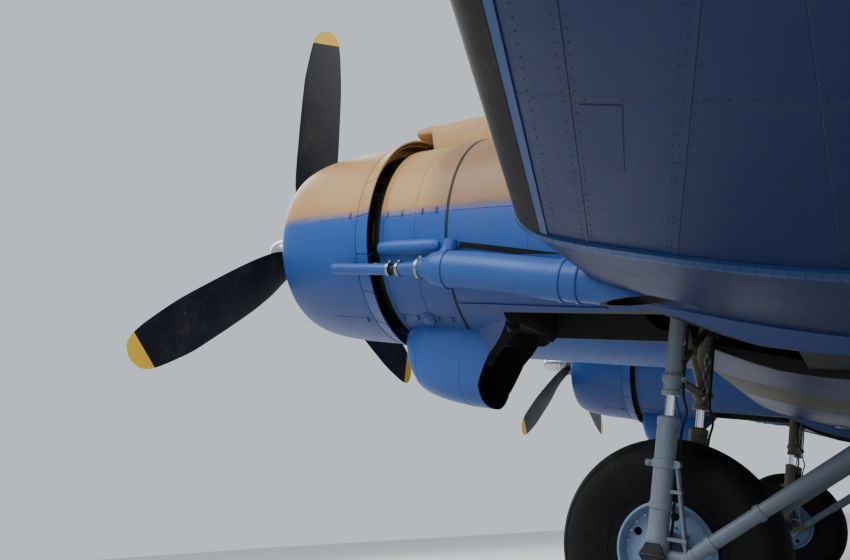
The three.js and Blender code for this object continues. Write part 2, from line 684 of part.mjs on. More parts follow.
// The wing notches, drawn in a little so that the nacelle keeps its seat gap to them.
function notchesFor(gap) {
  const half = WELL.halfWidth + WELL.wall - gap;
  return [
    box(
      [ENGINE_OFFSET - half, WING.leadY - 400, -1500],
      [ENGINE_OFFSET + half, WELL.legBack + WELL.wall - gap, 1500],
    ),
  ];
}

const ROUND = 28;
const centredOnEngine = (body) => solid(moved(geometryOf(body), ENGINE_OFFSET, 0, 0));
const cowlProfile = [
  [490, 265],
  [502, 228],
  [532, 210],
  [577, 230],
  [612, 300],
  [638, 410],
  [660, 600],
  [676, COWL.back],
  [COWL.innerRadius, COWL.back],
  [COWL.innerRadius, 440],
  [532, 300],
  [490, 265],
];
const cowl = centredOnEngine(turned(cowlProfile, ROUND));
const skirt = centredOnEngine(
  turned(
    [
      [SKIRT.frontRadius - SKIRT.wall, SKIRT.front],
      [SKIRT.frontRadius, SKIRT.front],
      [SKIRT.backRadius, SKIRT.back],
      [SKIRT.backRadius - SKIRT.wall, SKIRT.back],
      [SKIRT.frontRadius - SKIRT.wall, SKIRT.front],
    ],
    ROUND,
  ),
);
const accessoryShell = (grow) =>
  turned(
    [
      [ACCESSORY.frontRadius - ACCESSORY.wall, ACCESSORY.front],
      [ACCESSORY.frontRadius + grow, ACCESSORY.front],
      [ACCESSORY.backRadius + grow, FIREWALL - SEAT_GAP],
      [ACCESSORY.backRadius - ACCESSORY.wall, FIREWALL - SEAT_GAP],
      [ACCESSORY.frontRadius - ACCESSORY.wall, ACCESSORY.front],
    ],
    ROUND,
  );
const accessoryCowl = centredOnEngine(accessoryShell(0));
const accessoryGrown = centredOnEngine(
  turned(
    [
      [0, ACCESSORY.front - SEAT_GAP],
      [ACCESSORY.frontRadius + 2 * SEAT_GAP, ACCESSORY.front - SEAT_GAP],
      [ACCESSORY.backRadius + 2 * SEAT_GAP, FIREWALL + 5],
      [0, FIREWALL + 5],
    ],
    ROUND,
  ),
);

// Engine: nose case, crankcase and accessory case in one turned body, with two rows of seven cylinders.
const CASES = [
  [0, ENGINE_FRONT],
  [105, ENGINE_FRONT],
  [265, 300],
  [300, 420],
  [300, 900],
  [250, 980],
  [250, FIREWALL - SEAT_GAP],
  [0, FIREWALL - SEAT_GAP],
];
const CYLINDER_ROWS = [{ y: 520, turn: 0 }, { y: 740, turn: 0.5 }];
const CYLINDERS_A_ROW = 7;
const CYLINDER = { radius: 78, reach: COWL.innerRadius - 9.4 };
const cylinders = CYLINDER_ROWS.flatMap(({ y, turn }) =>
  Array.from({ length: CYLINDERS_A_ROW }, (_, i) => {
    const angle = (2 * Math.PI * (i + turn)) / CYLINDERS_A_ROW;
    const along = [Math.sin(angle), Math.cos(angle)];
    return bar([along[0] * 200, y, along[1] * 200], [along[0] * CYLINDER.reach, y, along[1] * CYLINDER.reach], CYLINDER.radius, 6);
  }),
);
const engine = centredOnEngine(joined(turned(CASES, 14), ...cylinders));

// Exhaust on the outboard side: heater intake, manifold, shroud and bent tail pipe.
const EXHAUST_X = ENGINE_OFFSET + 690;
const EXHAUST = rows(["y", "z", "radius"], [
  [1470, -346, 62],
  [1530, -353, 96],
  [1600, -360, 105],
  [1760, -370, 107],
  [2310, -435, 108],
  [2400, -445, 106],
  [2500, -458, 102],
  [2600, -490, 98],
  [2700, -540, 95],
  [2900, -650, 93],
]);
const HEATER = rows(["y", "z", "radius"], [
  [805, -337, 35],
  [1225, -351, 35],
  [1235, -351, 24],
  [1265, -351, 24],
  [1275, -351, 36],
  [1400, -348, 38],
  [1425, -347, 58],
  [1490, -347, 62],
]);
const onExhaust = (row) => ({ ...row, x: EXHAUST_X });
const shroudCentre = (y) => rowAt(EXHAUST, "y", y).z;
const brackets = [1700, 2340].map((y) =>
  box([ENGINE_OFFSET + 480, y - 20, shroudCentre(y) - 30], [EXHAUST_X, y + 20, shroudCentre(y) + 30]),
);
const mouth = rows(["y", "z", "radius"], [
  [2510, -461, 88],
  [2600, -490, 86],
  [2700, -540, 84],
  [2950, -678, 82],
]);
// The tail pipe ends in a level cut, so that its long mouth looks down.
const mouthCut = loft(
  [-300, 300].map((x) =>
    [
      [2480, -565],
      [3000, -512],
      [3000, -900],
      [2480, -900],
    ].map(([y, z]) => new THREE.Vector3(EXHAUST_X + x, y, z)),
  ),
);
const exhaust = cut(
  joined(pipe(EXHAUST.map(onExhaust), 12), pipe(HEATER.map(onExhaust), 8), ...brackets),
  pipe(mouth.map(onExhaust), 10),
  mouthCut,
  nacelleGrown,
  accessoryGrown,
);

// The tail pipes lie in troughs in the wing's lower skin.
const TROUGH_GAP = 14;
const trough = pipe(
  [...EXHAUST.slice(1), { y: 3000, z: -705, radius: 90 }].map((row) => ({
    ...onExhaust(row),
    radius: row.radius + TROUGH_GAP,
  })),
  14,
);
const troughs = [trough, solid(mirrored(geometryOf(trough)))];
const wingCentre = cut(wingBeforeTroughs, ...troughs);

// Oil cooler duct under the firewall, open in front and behind.
const COOLER = rows(["y", "half", "low", "high", "power"], [
  [1075, 190, -800, -560, 2.2],
  [1130, 235, -930, -500, 2.4],
  [1240, 262, -1010, -450, 2.6],
  [1450, 270, -1052, -450, 2.6],
  [1690, 258, -1068, -450, 2.5],
  [1835, 225, -1040, -450, 2.4],
]);
const COOLER_WALL = 14;
const COOLER_SIDES = 18;
const coolerDuct = outlines(
  COOLER.map((row, i) => {
    const shift = i === 0 ? -20 : i === COOLER.length - 1 ? 20 : 0;
    return { ...row, y: row.y + shift, high: -400 };
  }),
  COOLER_SIDES,
  ENGINE_OFFSET,
  -COOLER_WALL,
);
// The rear end is sliced off on a slant, so that the mouth looks back and down.
const COOLER_REAR = rows(["y", "z"], [
  [1660, -1120],
  [1640, -1030],
  [1635, -950],
  [1670, -850],
  [1705, -760],
  [1775, -680],
  [1835, -600],
]);
const coolerSlice = loft(
  [-400, 400].map((x) =>
    [...COOLER_REAR, { y: 2300, z: -600 }, { y: 2300, z: -1120 }].map(
      ({ y, z }) => new THREE.Vector3(ENGINE_OFFSET + x, y, z),
    ),
  ),
);
const cooler = cut(outlines(COOLER, COOLER_SIDES, ENGINE_OFFSET), coolerDuct, nacelleGrown, accessoryGrown, coolerSlice);

// Carburettor air scoop along the top, open in front.
const SCOOP = rows(["y", "half", "low", "high", "power"], [
  [945, 172, 742, 812, 4],
  [1060, 176, 742, 830, 4],
  [1110, 180, 560, 838, 4],
  [1500, 185, 560, 866, 3.5],
  [1900, 170, 560, 850, 3],
  [2250, 120, 560, 765, 2.5],
  [2520, 50, 580, 690, 2],
]);
const SCOOP_SIDES = 16;
const scoopMouth = outlines(
  rows(["y", "half", "low", "high", "power"], [
    [930, 160, 752, 800, 4],
    [1180, 164, 752, 828, 4],
  ]),
  SCOOP_SIDES,
  ENGINE_OFFSET,
);
const scoop = cut(outlines(SCOOP, SCOOP_SIDES, ENGINE_OFFSET), scoopMouth, nacelleGrown, accessoryGrown);

// Main landing gear, on the port side

const legAt = (z) => THREE.MathUtils.lerp(LEG.topY, MAIN_WHEEL.y, (z - LEG.topZ) / (MAIN_WHEEL.z - LEG.topZ));
const legPoint = (side, z) => [ENGINE_OFFSET + side * LEG.spacing, legAt(z), z];
const LEG_SIDES = [-1, 1];
const crossBar = (z, radius, aft = 0) =>
  bar(
    [ENGINE_OFFSET - LEG.spacing, legAt(z) + aft, z],
    [ENGINE_OFFSET + LEG.spacing, legAt(z) + aft, z],
    radius,
    8,
  );
const upperGear = joined(
  ...LEG_SIDES.map((side) => bar(legPoint(side, LEG.topZ), legPoint(side, LEG_BREAK.upperEnd), LEG.upperRadius, 12)),
  bar(
    [ENGINE_OFFSET - WELL.halfWidth + SEAT_GAP, LEG.topY, LEG.topZ],
    [ENGINE_OFFSET + WELL.halfWidth - SEAT_GAP, LEG.topY, LEG.topZ],
    40,
    12,
  ),
  crossBar(LEG_BREAK.upperEnd + 90, 24),
  bar(legPoint(-1, LEG.topZ - 60), legPoint(1, LEG_BREAK.upperEnd + 100), 20, 6),
  bar(legPoint(1, LEG.topZ - 60), legPoint(-1, LEG_BREAK.upperEnd + 100), 20, 6),
);

// The drag strut runs back and up to the wing's lower skin.
const strutTop = new THREE.Vector3(0, STRUT.topY, wingUnder(STRUT.topY) - STRUT.pinRadius - 1.2);
const strutFoot = new THREE.Vector3(0, MAIN_WHEEL.y + 130, MAIN_WHEEL.z - 12);
const strutLine = strutTop.clone().sub(strutFoot).normalize();
const strutPoint = (side, distance) => {
  const point = strutFoot.clone().addScaledVector(strutLine, distance);
  return [ENGINE_OFFSET + side * STRUT.spacing, point.y, point.z];
};
const LUG_REACH = 60;
const strutLength = strutTop.distanceTo(strutFoot);
const lowerGear = joined(
  ...LEG_SIDES.map((side) =>
    bar(legPoint(side, LEG_BREAK.upperEnd - SEAT_GAP), legPoint(side, LEG_BREAK.pistonEnd - 20), LEG.pistonRadius, 10),
  ),
  ...LEG_SIDES.map((side) =>
    bar(legPoint(side, LEG_BREAK.pistonEnd), legPoint(side, MAIN_WHEEL.z - 70), LEG.lowerRadius, 12, LEG.lowerRadius - 4),
  ),
  ...LEG_SIDES.map((side) => bar(strutPoint(side, 0), strutPoint(side, LUG_REACH), STRUT.radius + 4, 8)),
  ...LEG_SIDES.map((side) => bar(legPoint(side, MAIN_WHEEL.z), strutPoint(side, 12), STRUT.radius, 8)),
  bar(
    [ENGINE_OFFSET - MAIN_WHEEL.axleReach, MAIN_WHEEL.y, MAIN_WHEEL.z],
    [ENGINE_OFFSET + MAIN_WHEEL.axleReach, MAIN_WHEEL.y, MAIN_WHEEL.z],
    MAIN_WHEEL.axleRadius,
    WHEEL_SIDES,
  ),
);
const dragStrut = joined(
  ...LEG_SIDES.map((side) => bar(strutPoint(side, LUG_REACH + SEAT_GAP), strutPoint(side, strutLength), STRUT.radius, 8)),
  bar(
    [ENGINE_OFFSET - STRUT.spacing - 42, strutTop.y, strutTop.z],
    [ENGINE_OFFSET + STRUT.spacing + 42, strutTop.y, strutTop.z],
    STRUT.pinRadius,
    12,
  ),
  bar(strutPoint(-1, strutLength * 0.62), strutPoint(1, strutLength * 0.62), 18, 6),
);

// Wheels turn about X: each profile is [radius, across].
function wheelBody(profile, segments) {
  const flat = Math.PI / segments;
  const lathe = new THREE.LatheGeometry(profile.map(([radius, across]) => new THREE.Vector2(radius, across)), segments);
  return solid(lathe.rotateZ(-Math.PI / 2).rotateX(flat + Math.PI / 2));
}
const halfTyre = MAIN_WHEEL.width / 2;
const mainTyre = wheelBody(
  [
    [MAIN_WHEEL.rimRadius, -halfTyre * 0.66],
    [330, -halfTyre * 0.84],
    [400, -halfTyre * 0.96],
    [470, -halfTyre],
    [535, -halfTyre * 0.8],
    [MAIN_WHEEL.radius, -halfTyre * 0.3],
    [MAIN_WHEEL.radius, halfTyre * 0.3],
    [535, halfTyre * 0.8],
    [470, halfTyre],
    [400, halfTyre * 0.96],
    [330, halfTyre * 0.84],
    [MAIN_WHEEL.rimRadius, halfTyre * 0.66],
    [MAIN_WHEEL.rimRadius, -halfTyre * 0.66],
  ],
  WHEEL_SIDES,
);
const hubHalf = LEG.spacing - LEG.lowerRadius - MOVE_GAP - 2;
const boreRadius = MAIN_WHEEL.axleRadius + PIN_GAP;
const mainRim = wheelBody(
  [
    [boreRadius, -hubHalf],
    [95, -hubHalf],
    [110, -halfTyre * 0.6],
    [220, -halfTyre * 0.5],
    [MAIN_WHEEL.rimRadius - TYRE_SEAT, -halfTyre * 0.72],
    [MAIN_WHEEL.rimRadius - TYRE_SEAT, halfTyre * 0.72],
    [220, halfTyre * 0.5],
    [110, halfTyre * 0.6],
    [95, hubHalf],
    [boreRadius, hubHalf],
    [boreRadius, -hubHalf],
  ],
  WHEEL_SIDES,
);

// Tail wheel: fork with its kingpin, and a wheel on its own axle.
const TAIL_SIDES = 20;
const halfTail = TAIL_WHEEL.width / 2;
const FORK = { plate: 22, reach: 62, crown: 30 };
const forkX = halfTail + MOVE_GAP + 4;
const crownLow = TAIL_WHEEL.radius + 40;
const tailFork = joined(
  ...[-1, 1].map((side) => {
    const near = side * forkX;
    const far = side * (forkX + FORK.plate);
    return loft(
      [near, far].map((x) =>
        [
          [-FORK.reach, -50],
          [FORK.reach, -50],
          [FORK.reach * 0.7, 120],
          [kingpinY + 80, crownLow + FORK.crown],
          [kingpinY - 80, crownLow + FORK.crown],
          [-FORK.reach - 60, 120],
        ].map(([y, z]) => new THREE.Vector3(x, y, z)),
      ),
    );
  }),
  box([-forkX - 5, kingpinY - 80, crownLow], [forkX + 5, kingpinY + 80, crownLow + FORK.crown]),
  bar([0, kingpinY, crownLow + 5], [0, kingpinY, KINGPIN.top], KINGPIN.radius, 24),
  bar([-forkX - 15, 0, 0], [forkX + 15, 0, 0], TAIL_WHEEL.axleRadius, 24),
);
const tailTyre = wheelBody(
  [
    [TAIL_WHEEL.rimRadius, -halfTail * 0.75],
    [200, -halfTail],
    [245, -halfTail * 0.9],
    [TAIL_WHEEL.radius, -halfTail * 0.4],
    [TAIL_WHEEL.radius, halfTail * 0.4],
    [245, halfTail * 0.9],
    [200, halfTail],
    [TAIL_WHEEL.rimRadius, halfTail * 0.75],
    [TAIL_WHEEL.rimRadius, -halfTail * 0.75],
  ],
  TAIL_SIDES,
);
const tailBore = TAIL_WHEEL.axleRadius + PIN_GAP;
const tailRim = wheelBody(
  [
    [tailBore, -halfTail],
    [50, -halfTail],
    [60, -30],
    [TAIL_WHEEL.rimRadius - TYRE_SEAT, -halfTail * 0.7],
    [TAIL_WHEEL.rimRadius - TYRE_SEAT, halfTail * 0.7],
    [60, 30],
    [50, halfTail],
    [tailBore, halfTail],
    [tailBore, -halfTail],
  ],
  TAIL_SIDES,
);

// Propeller: three twisted blades on a barrel, about +Y, with its first blade straight up.
const BLADE = rows(["radius", "chord", "thickness", "pitch"], [
  [95, 118, 118, 30],
  [220, 160, 104, 28],
  [320, 262, 84, 25],
  [480, 350, 62, 21],
  [700, 378, 46, 16],
  [950, 384, 36, 13],
  [1250, 380, 27, 10],
  [1500, 332, 20, 8],
  [1645, 276, 15, 7],
  [1700, 226, 12, 7],
  [1735, 150, 9, 7],
  [PROPELLER.radius, 50, 7, 7],
]);
const BLADE_SIDES = 8;
const BLADE_RAKE = { from: 1200, to: 1600, slope: 0.26 }; // the tip is cut back towards the leading edge
function blade(turn) {
  const rings = BLADE.map(({ radius, chord, thickness, pitch }) => {
    const angle = THREE.MathUtils.degToRad(pitch);
    const rake = BLADE_RAKE.slope * THREE.MathUtils.smoothstep(radius, BLADE_RAKE.from, BLADE_RAKE.to);
    const lead = new THREE.Vector3(Math.cos(angle), -Math.sin(angle), -rake);
    const back = new THREE.Vector3(-Math.sin(angle), -Math.cos(angle), 0);
    return Array.from({ length: BLADE_SIDES }, (_, i) => {
      const around = (2 * Math.PI * i) / BLADE_SIDES;
      const point = new THREE.Vector3(0, 0, radius).addScaledVector(lead, (chord / 2) * Math.cos(around));
      return point.addScaledVector(back, (thickness / 2) * Math.sin(around));
    });
  });
  return solid(geometryOf(loft(rings)).rotateY(turn));
}
const propeller = joined(
  turned(
    [
      [0, PROPELLER.hubFront],
      [PROPELLER.hubRadius - 12, PROPELLER.hubFront],
      [PROPELLER.hubRadius, PROPELLER.hubFront + 12],
      [PROPELLER.hubRadius, PROPELLER.hubBack - 30],
      [PROPELLER.shaftRadius, PROPELLER.hubBack - 10],
      [PROPELLER.shaftRadius, ENGINE_FRONT - SEAT_GAP],
      [0, ENGINE_FRONT - SEAT_GAP],
    ],
    16,
  ),
  ...Array.from({ length: BLADES }, (_, i) => blade((2 * Math.PI * i) / BLADES)),
);
const dome = turned(
  [
    [0, DOME.front],
    [40, DOME.front + 6],
    [73, DOME.front + 30],
    [95, DOME.front + 72],
    [DOME.radius, DOME.front + 140],
    [DOME.radius, PROPELLER.hubFront - SEAT_GAP],
    [0, PROPELLER.hubFront - SEAT_GAP],
  ],
  16,
);

// Small pieces on the fuselage: two pitot masts under the flight deck and a sighting dome on the roof.
const PITOT = { y: -150, x: 420, reach: 600, arm: 240 };
const pitotMast = (side) => {
  const top = [side * PITOT.x, PITOT.y, -60];
  const foot = [side * PITOT.x, PITOT.y - 40, -PITOT.reach];
  return cut(
    joined(
      bar(top, foot, 26, 10, 16),
      bar([foot[0], foot[1] + 30, foot[2]], [foot[0], foot[1] - PITOT.arm, foot[2]], 15, 10, 9),
    ),
    fuselageGrown,
  );
};
const ASTRODOME = { y: 1500, radius: 290, sink: 110 };
const astrodome = cut(
  solid(
    moved(
      new THREE.SphereGeometry(ASTRODOME.radius, 16, 10),
      0,
      ASTRODOME.y,
      FUSELAGE.find((row) => row.y === 2000).high - ASTRODOME.sink,
    ),
  ),
  fuselageGrown,
);

// The assembly

const plane = new THREE.Group();
plane.rotation.x = -GROUND_ANGLE;

// A moving piece also carries its hinge line, as two points in the frame of its parent.
function place(name, body, material, parent = plane, hinge = []) {
  const mesh = new THREE.Mesh(geometryOf(body), material);
  mesh.name = name;
  mesh.userData.hinge = hinge;
  parent.add(mesh);
}
function placeBoth(name, body, material, hinge = []) {
  const port = geometryOf(body);
  const across = hinge.map((point) => point.clone().setX(-point.x)).reverse();
  for (const [side, geometry, line] of [["left", port, hinge], ["right", mirrored(port), across]]) {
    const mesh = new THREE.Mesh(geometry, material);
    mesh.name = `${name}_${side}`;
    mesh.userData.hinge = line;
    plane.add(mesh);
  }
}

place("fuselage", fuselage, MATERIALS.camouflage);
place("nose_cap", noseCap, MATERIALS.camouflage);
place("cockpit_canopy", canopy, MATERIALS.glass);
place("tail_cone", tailCone, MATERIALS.camouflage);
place("sighting_dome", astrodome, MATERIALS.glass);
for (const leaf of leaves) {
  const foot = new THREE.Vector3(halfAt(leaf.y) + DOOR_HINGE.out, leaf.y, doorMiddleZ);
  const line = [foot, foot.clone().setZ(doorMiddleZ - leaf.aft * DOOR_HINGE.length)];
  place(leaf.name, leaf.body, MATERIALS.camouflage, plane, line);
}
place("pitot_mast_left", pitotMast(1), MATERIALS.metal);
place("pitot_mast_right", pitotMast(-1), MATERIALS.metal);
place("wing_centre_section", wingCentre, MATERIALS.underside);
place("flap_centre", centreFlapBody, MATERIALS.underside, plane, centreFlap.hinges.toReversed());
placeBoth("outer_wing", outerWing, MATERIALS.underside);
placeBoth(
  "aileron",
  aileron,
  MATERIALS.underside,
  aileronStations.map(({ hinge }) => hinge),
);
placeBoth("flap_outer", outerFlap.flap, MATERIALS.underside, outerFlap.hinges.toReversed());
place("fin", fin, MATERIALS.camouflage);
place("rudder", rudder, MATERIALS.camouflage, plane, [
  new THREE.Vector3(0, FIN.hinge, RUDDER.low),
  new THREE.Vector3(0, FIN.hinge, RUDDER.high),
]);
place("tailplane_right", tailplanes[0], MATERIALS.camouflage);
place("tailplane_left", tailplanes[1], MATERIALS.camouflage);
place("elevators", elevators, MATERIALS.camouflage, plane, [
  new THREE.Vector3(0, TAILPLANE.hinge, TAILPLANE.z),
  new THREE.Vector3(ELEVATOR.tip, TAILPLANE.hinge, TAILPLANE.z),
]);

placeBoth("nacelle", nacelle, MATERIALS.camouflage);
placeBoth("accessory_cowl", accessoryCowl, MATERIALS.camouflage);
placeBoth("cowl_skirt", skirt, MATERIALS.camouflage);
placeBoth("cowl_ring", cowl, MATERIALS.camouflage);
placeBoth("engine", engine, MATERIALS.engine);
placeBoth("exhaust", exhaust, MATERIALS.metal);
placeBoth("oil_cooler_duct", cooler, MATERIALS.camouflage);
placeBoth("carburettor_scoop", scoop, MATERIALS.sand);
placeBoth("upper_gear_leg", upperGear, MATERIALS.leg);
placeBoth("lower_gear_leg", lowerGear, MATERIALS.leg);
placeBoth("drag_strut", dragStrut, MATERIALS.leg);

for (const [side, sign] of [["left", 1], ["right", -1]]) {
  const shaft = new THREE.Group();
  shaft.position.set(sign * ENGINE_OFFSET, 0, 0);
  shaft.rotation.y = BLADE_PHASES[side];
  plane.add(shaft);
  place(`propeller_${side}`, propeller, MATERIALS.blade, shaft);
  place(`propeller_dome_${side}`, dome, MATERIALS.dome, shaft);

  const axle = new THREE.Group();
  axle.position.set(sign * ENGINE_OFFSET, MAIN_WHEEL.y, MAIN_WHEEL.z);
  axle.rotation.x = GROUND_ANGLE;
  plane.add(axle);
  place(`main_tyre_${side}`, mainTyre, MATERIALS.tyre, axle);
  place(`main_rim_${side}`, mainRim, MATERIALS.leg, axle);
}

place("tail_leg", tailLeg, MATERIALS.leg);
const tailStand = new THREE.Group();
tailStand.position.set(0, TAIL_WHEEL.y, TAIL_WHEEL.z);
tailStand.rotation.x = GROUND_ANGLE;
plane.add(tailStand);
place("tail_fork", tailFork, MATERIALS.leg, tailStand);
place("tail_tyre", tailTyre, MATERIALS.tyre, tailStand);
place("tail_rim", tailRim, MATERIALS.leg, tailStand);

// Set on its wheels, with the origin on the ground under the middle of its length.
const part = new THREE.Group();
part.add(plane);
part.updateMatrixWorld(true);
const extent = new THREE.Box3().setFromObject(part, true);
plane.position.set(0, -(extent.min.y + extent.max.y) / 2, -extent.min.z);

export default part;
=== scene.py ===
"""The looks of a twin-engined military transport plane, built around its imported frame.

Sizes are millimetres in the aircraft's own frame: +X to port, +Y aft and +Z up, with the origin on the
centreline, level with the thrust lines and in the plane of the propellers. Stand turns them into the row
frame's metres, in which the plane stands nose-up on its wheels.
"""

import logging
import math
from dataclasses import dataclass
from enum import Enum
from typing import Callable, Iterable, Sequence

import bmesh
import bpy
import numpy as np
from mathutils import Matrix, Vector


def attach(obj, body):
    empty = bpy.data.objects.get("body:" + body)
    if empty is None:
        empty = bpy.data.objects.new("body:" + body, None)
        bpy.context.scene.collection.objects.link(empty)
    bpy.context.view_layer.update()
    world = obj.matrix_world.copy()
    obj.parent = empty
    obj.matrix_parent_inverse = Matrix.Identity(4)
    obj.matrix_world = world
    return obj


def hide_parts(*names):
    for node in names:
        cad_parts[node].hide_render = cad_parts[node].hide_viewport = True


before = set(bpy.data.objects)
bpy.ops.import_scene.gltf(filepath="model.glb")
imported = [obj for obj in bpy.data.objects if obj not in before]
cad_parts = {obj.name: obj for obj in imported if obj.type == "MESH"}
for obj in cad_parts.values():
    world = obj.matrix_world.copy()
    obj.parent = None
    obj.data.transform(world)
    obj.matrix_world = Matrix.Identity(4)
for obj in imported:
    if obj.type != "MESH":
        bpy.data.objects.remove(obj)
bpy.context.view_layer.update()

LOG = logging.getLogger("transport_plane")

ENGINE_X = 2819.0  # thrust line from the centreline
MERGE = 0.00004  # metres within which two points are one
SHARP = math.radians(33)  # a crease sharper than this stays crisp
SLOPE_STEP = 20  # millimetres each way when a slope is measured along a hull
SLOPE_TURN = 0.01  # the same round it, in radians
SIDES = {"left": 1, "right": -1}
SIGNS = (1, -1)
ACROSS, UP = (1, 0, 0), (0, 0, 1)


@dataclass(frozen=True)
class Stand:
    """How the aircraft stands on its wheels: a nose-up turn and a move."""

    angle: float = math.radians(11.5)
    aft: float = -7195.971
    lift: float = 2802.651

    def world(self, points: np.ndarray) -> np.ndarray:
        """Turns aircraft millimetres into row-frame metres.

        Args:
            points: Points in the aircraft's frame, one per row.

        Returns:
            The same points in the row frame.
        """
        c, s = math.cos(self.angle), math.sin(self.angle)
        x, y, z = np.asarray(points, float).reshape(-1, 3).T
        return np.stack([x, c * y + s * z + self.aft, c * z - s * y + self.lift], axis=1) / 1000

    def place(self, x: float, y: float, z: float) -> Vector:
        """One aircraft point as a row-frame vector."""
        return Vector(self.world(np.array([x, y, z]))[0])

    def mapping(self) -> tuple[tuple[float, float, float], tuple[float, float, float]]:
        """How a Mapping node takes Object coordinates back to aircraft metres.

        Returns:
            Its location and its rotation.
        """
        c, s = math.cos(self.angle), math.sin(self.angle)
        y, z = self.aft / 1000, self.lift / 1000
        return (0.0, s * z - c * y, -s * y - c * z), (self.angle, 0.0, 0.0)


STAND = Stand()

def unit(vector: np.ndarray) -> np.ndarray:
    """A vector brought to length 1."""
    return vector / (np.linalg.norm(vector) or 1)


def drawn(value: float | np.ndarray, power: float) -> float | np.ndarray:
    """A sine or cosine raised to a power with its sign kept, which squares an ellipse up."""
    return np.sign(value) * np.abs(value) ** power


def smooth_rows(table: Sequence[Sequence[float]], places: Iterable[float]) -> np.ndarray:
    """Reads a table of stations between its rows, on curves that never overshoot.

    Args:
        table: Rows whose first column is the station.
        places: The stations wanted.

    Returns:
        One row for each place, with the columns of the table.
    """
    rows = np.array(table, float)
    wanted = np.asarray(list(places), float)
    x = rows[:, 0]
    step = np.diff(x)[:, None]
    slope = np.diff(rows, axis=0) / step
    tangent = np.zeros_like(rows)
    with np.errstate(divide="ignore", invalid="ignore"):
        w1, w2 = 2 * step[1:] + step[:-1], step[1:] + 2 * step[:-1]
        mean = (w1 + w2) / (w1 / slope[:-1] + w2 / slope[1:])
    tangent[1:-1] = np.where(slope[:-1] * slope[1:] > 0, mean, 0)
    tangent[0], tangent[-1] = slope[0], slope[-1]
    i = np.clip(np.searchsorted(x, wanted, side="right") - 1, 0, len(x) - 2)
    h = step[i]
    t = ((wanted - x[i]) / h[:, 0])[:, None]
    return (
        (2 * t**3 - 3 * t**2 + 1) * rows[i]
        + (t**3 - 2 * t**2 + t) * h * tangent[i]
        + (3 * t**2 - 2 * t**3) * rows[i + 1]
        + (t**3 - t**2) * h * tangent[i + 1]
    )


@dataclass(frozen=True)
class Hull:
    """A body of rounded outlines along the aircraft: the fuselage, a nacelle or a duct.

    Each row of the table is station, half width, low, high and power. Power 2 is an ellipse, and more
    is squarer.
    """

    table: tuple[tuple[float, ...], ...]
    x: float = 0.0

    def row(self, y: float) -> np.ndarray:
        """The outline's numbers at a station."""
        return smooth_rows(self.table, [y])[0]

    def point(self, y: float, angle: float, out: float = 0.0) -> np.ndarray:
        """A point of the skin.

        Args:
            y: Station.
            angle: Angle of the outline, from the port side up over the top.
            out: Distance out of the skin.

        Returns:
            The point, in the aircraft's frame.
        """
        _, half, low, high, power = self.row(y)
        across = (half + out) * drawn(math.cos(angle), 2 / power)
        up = (low + high) / 2 + ((high - low) / 2 + out) * drawn(math.sin(angle), 2 / power)
        return np.array([self.x + across, y, up])

    def normal(self, y: float, angle: float) -> np.ndarray:
        """The outward direction of the skin at a point.

        Args:
            y: Station.
            angle: Angle of the outline.

        Returns:
            A direction of length 1.
        """
        along = self.point(y + SLOPE_STEP, angle) - self.point(y - SLOPE_STEP, angle)
        around = self.point(y, angle + SLOPE_TURN) - self.point(y, angle - SLOPE_TURN)
        out = unit(np.cross(along, around))
        _, _, low, high, _ = self.row(y)
        from_middle = self.point(y, angle) - (self.x, y, (low + high) / 2)
        return out if out @ from_middle > 0 else -out

    def angle_at(self, y: float, z: float, side: int = 1) -> float:
        """The outline's angle at a height.

        Args:
            y: Station.
            z: Height.
            side: 1 on the port half of the outline, -1 on the other.

        Returns:
            The angle.
        """
        _, _, low, high, power = self.row(y)
        share = np.clip((z - (low + high) / 2) / ((high - low) / 2), -1, 1)
        angle = math.asin(drawn(share, power / 2))
        return angle if side > 0 else math.pi - angle

    def rings(self, places: Iterable[float], sides: int, grow: float = 0.0) -> np.ndarray:
        """The outlines at several stations.

        Args:
            places: The stations.
            sides: Points of each outline.
            grow: Distance out of the skin.

        Returns:
            An array of rings.
        """
        turns = (np.arange(sides) + 0.5) * 2 * math.pi / sides
        rings = []
        for y, half, low, high, power in smooth_rows(self.table, places):
            across = (half + grow) * drawn(np.cos(turns), 2 / power)
            up = (low + high) / 2 + ((high - low) / 2 + grow) * drawn(np.sin(turns), 2 / power)
            rings.append(np.stack([self.x + across, np.full(sides, y), up], axis=1))
        return np.array(rings)


def square_to(along: np.ndarray) -> np.ndarray:
    """A direction square to another."""
    return unit(np.cross(along, UP if abs(along[2]) < 0.9 else ACROSS))


def circle(along: np.ndarray, side: np.ndarray, segments: int) -> np.ndarray:
    """Directions all round an axis.

    Args:
        along: The axis.
        side: Direction of the first, square to the axis.
        segments: How many.

    Returns:
        One direction per row.
    """
    turns = np.arange(segments) * 2 * math.pi / segments
    return np.outer(np.cos(turns), side) + np.outer(np.sin(turns), np.cross(along, side))


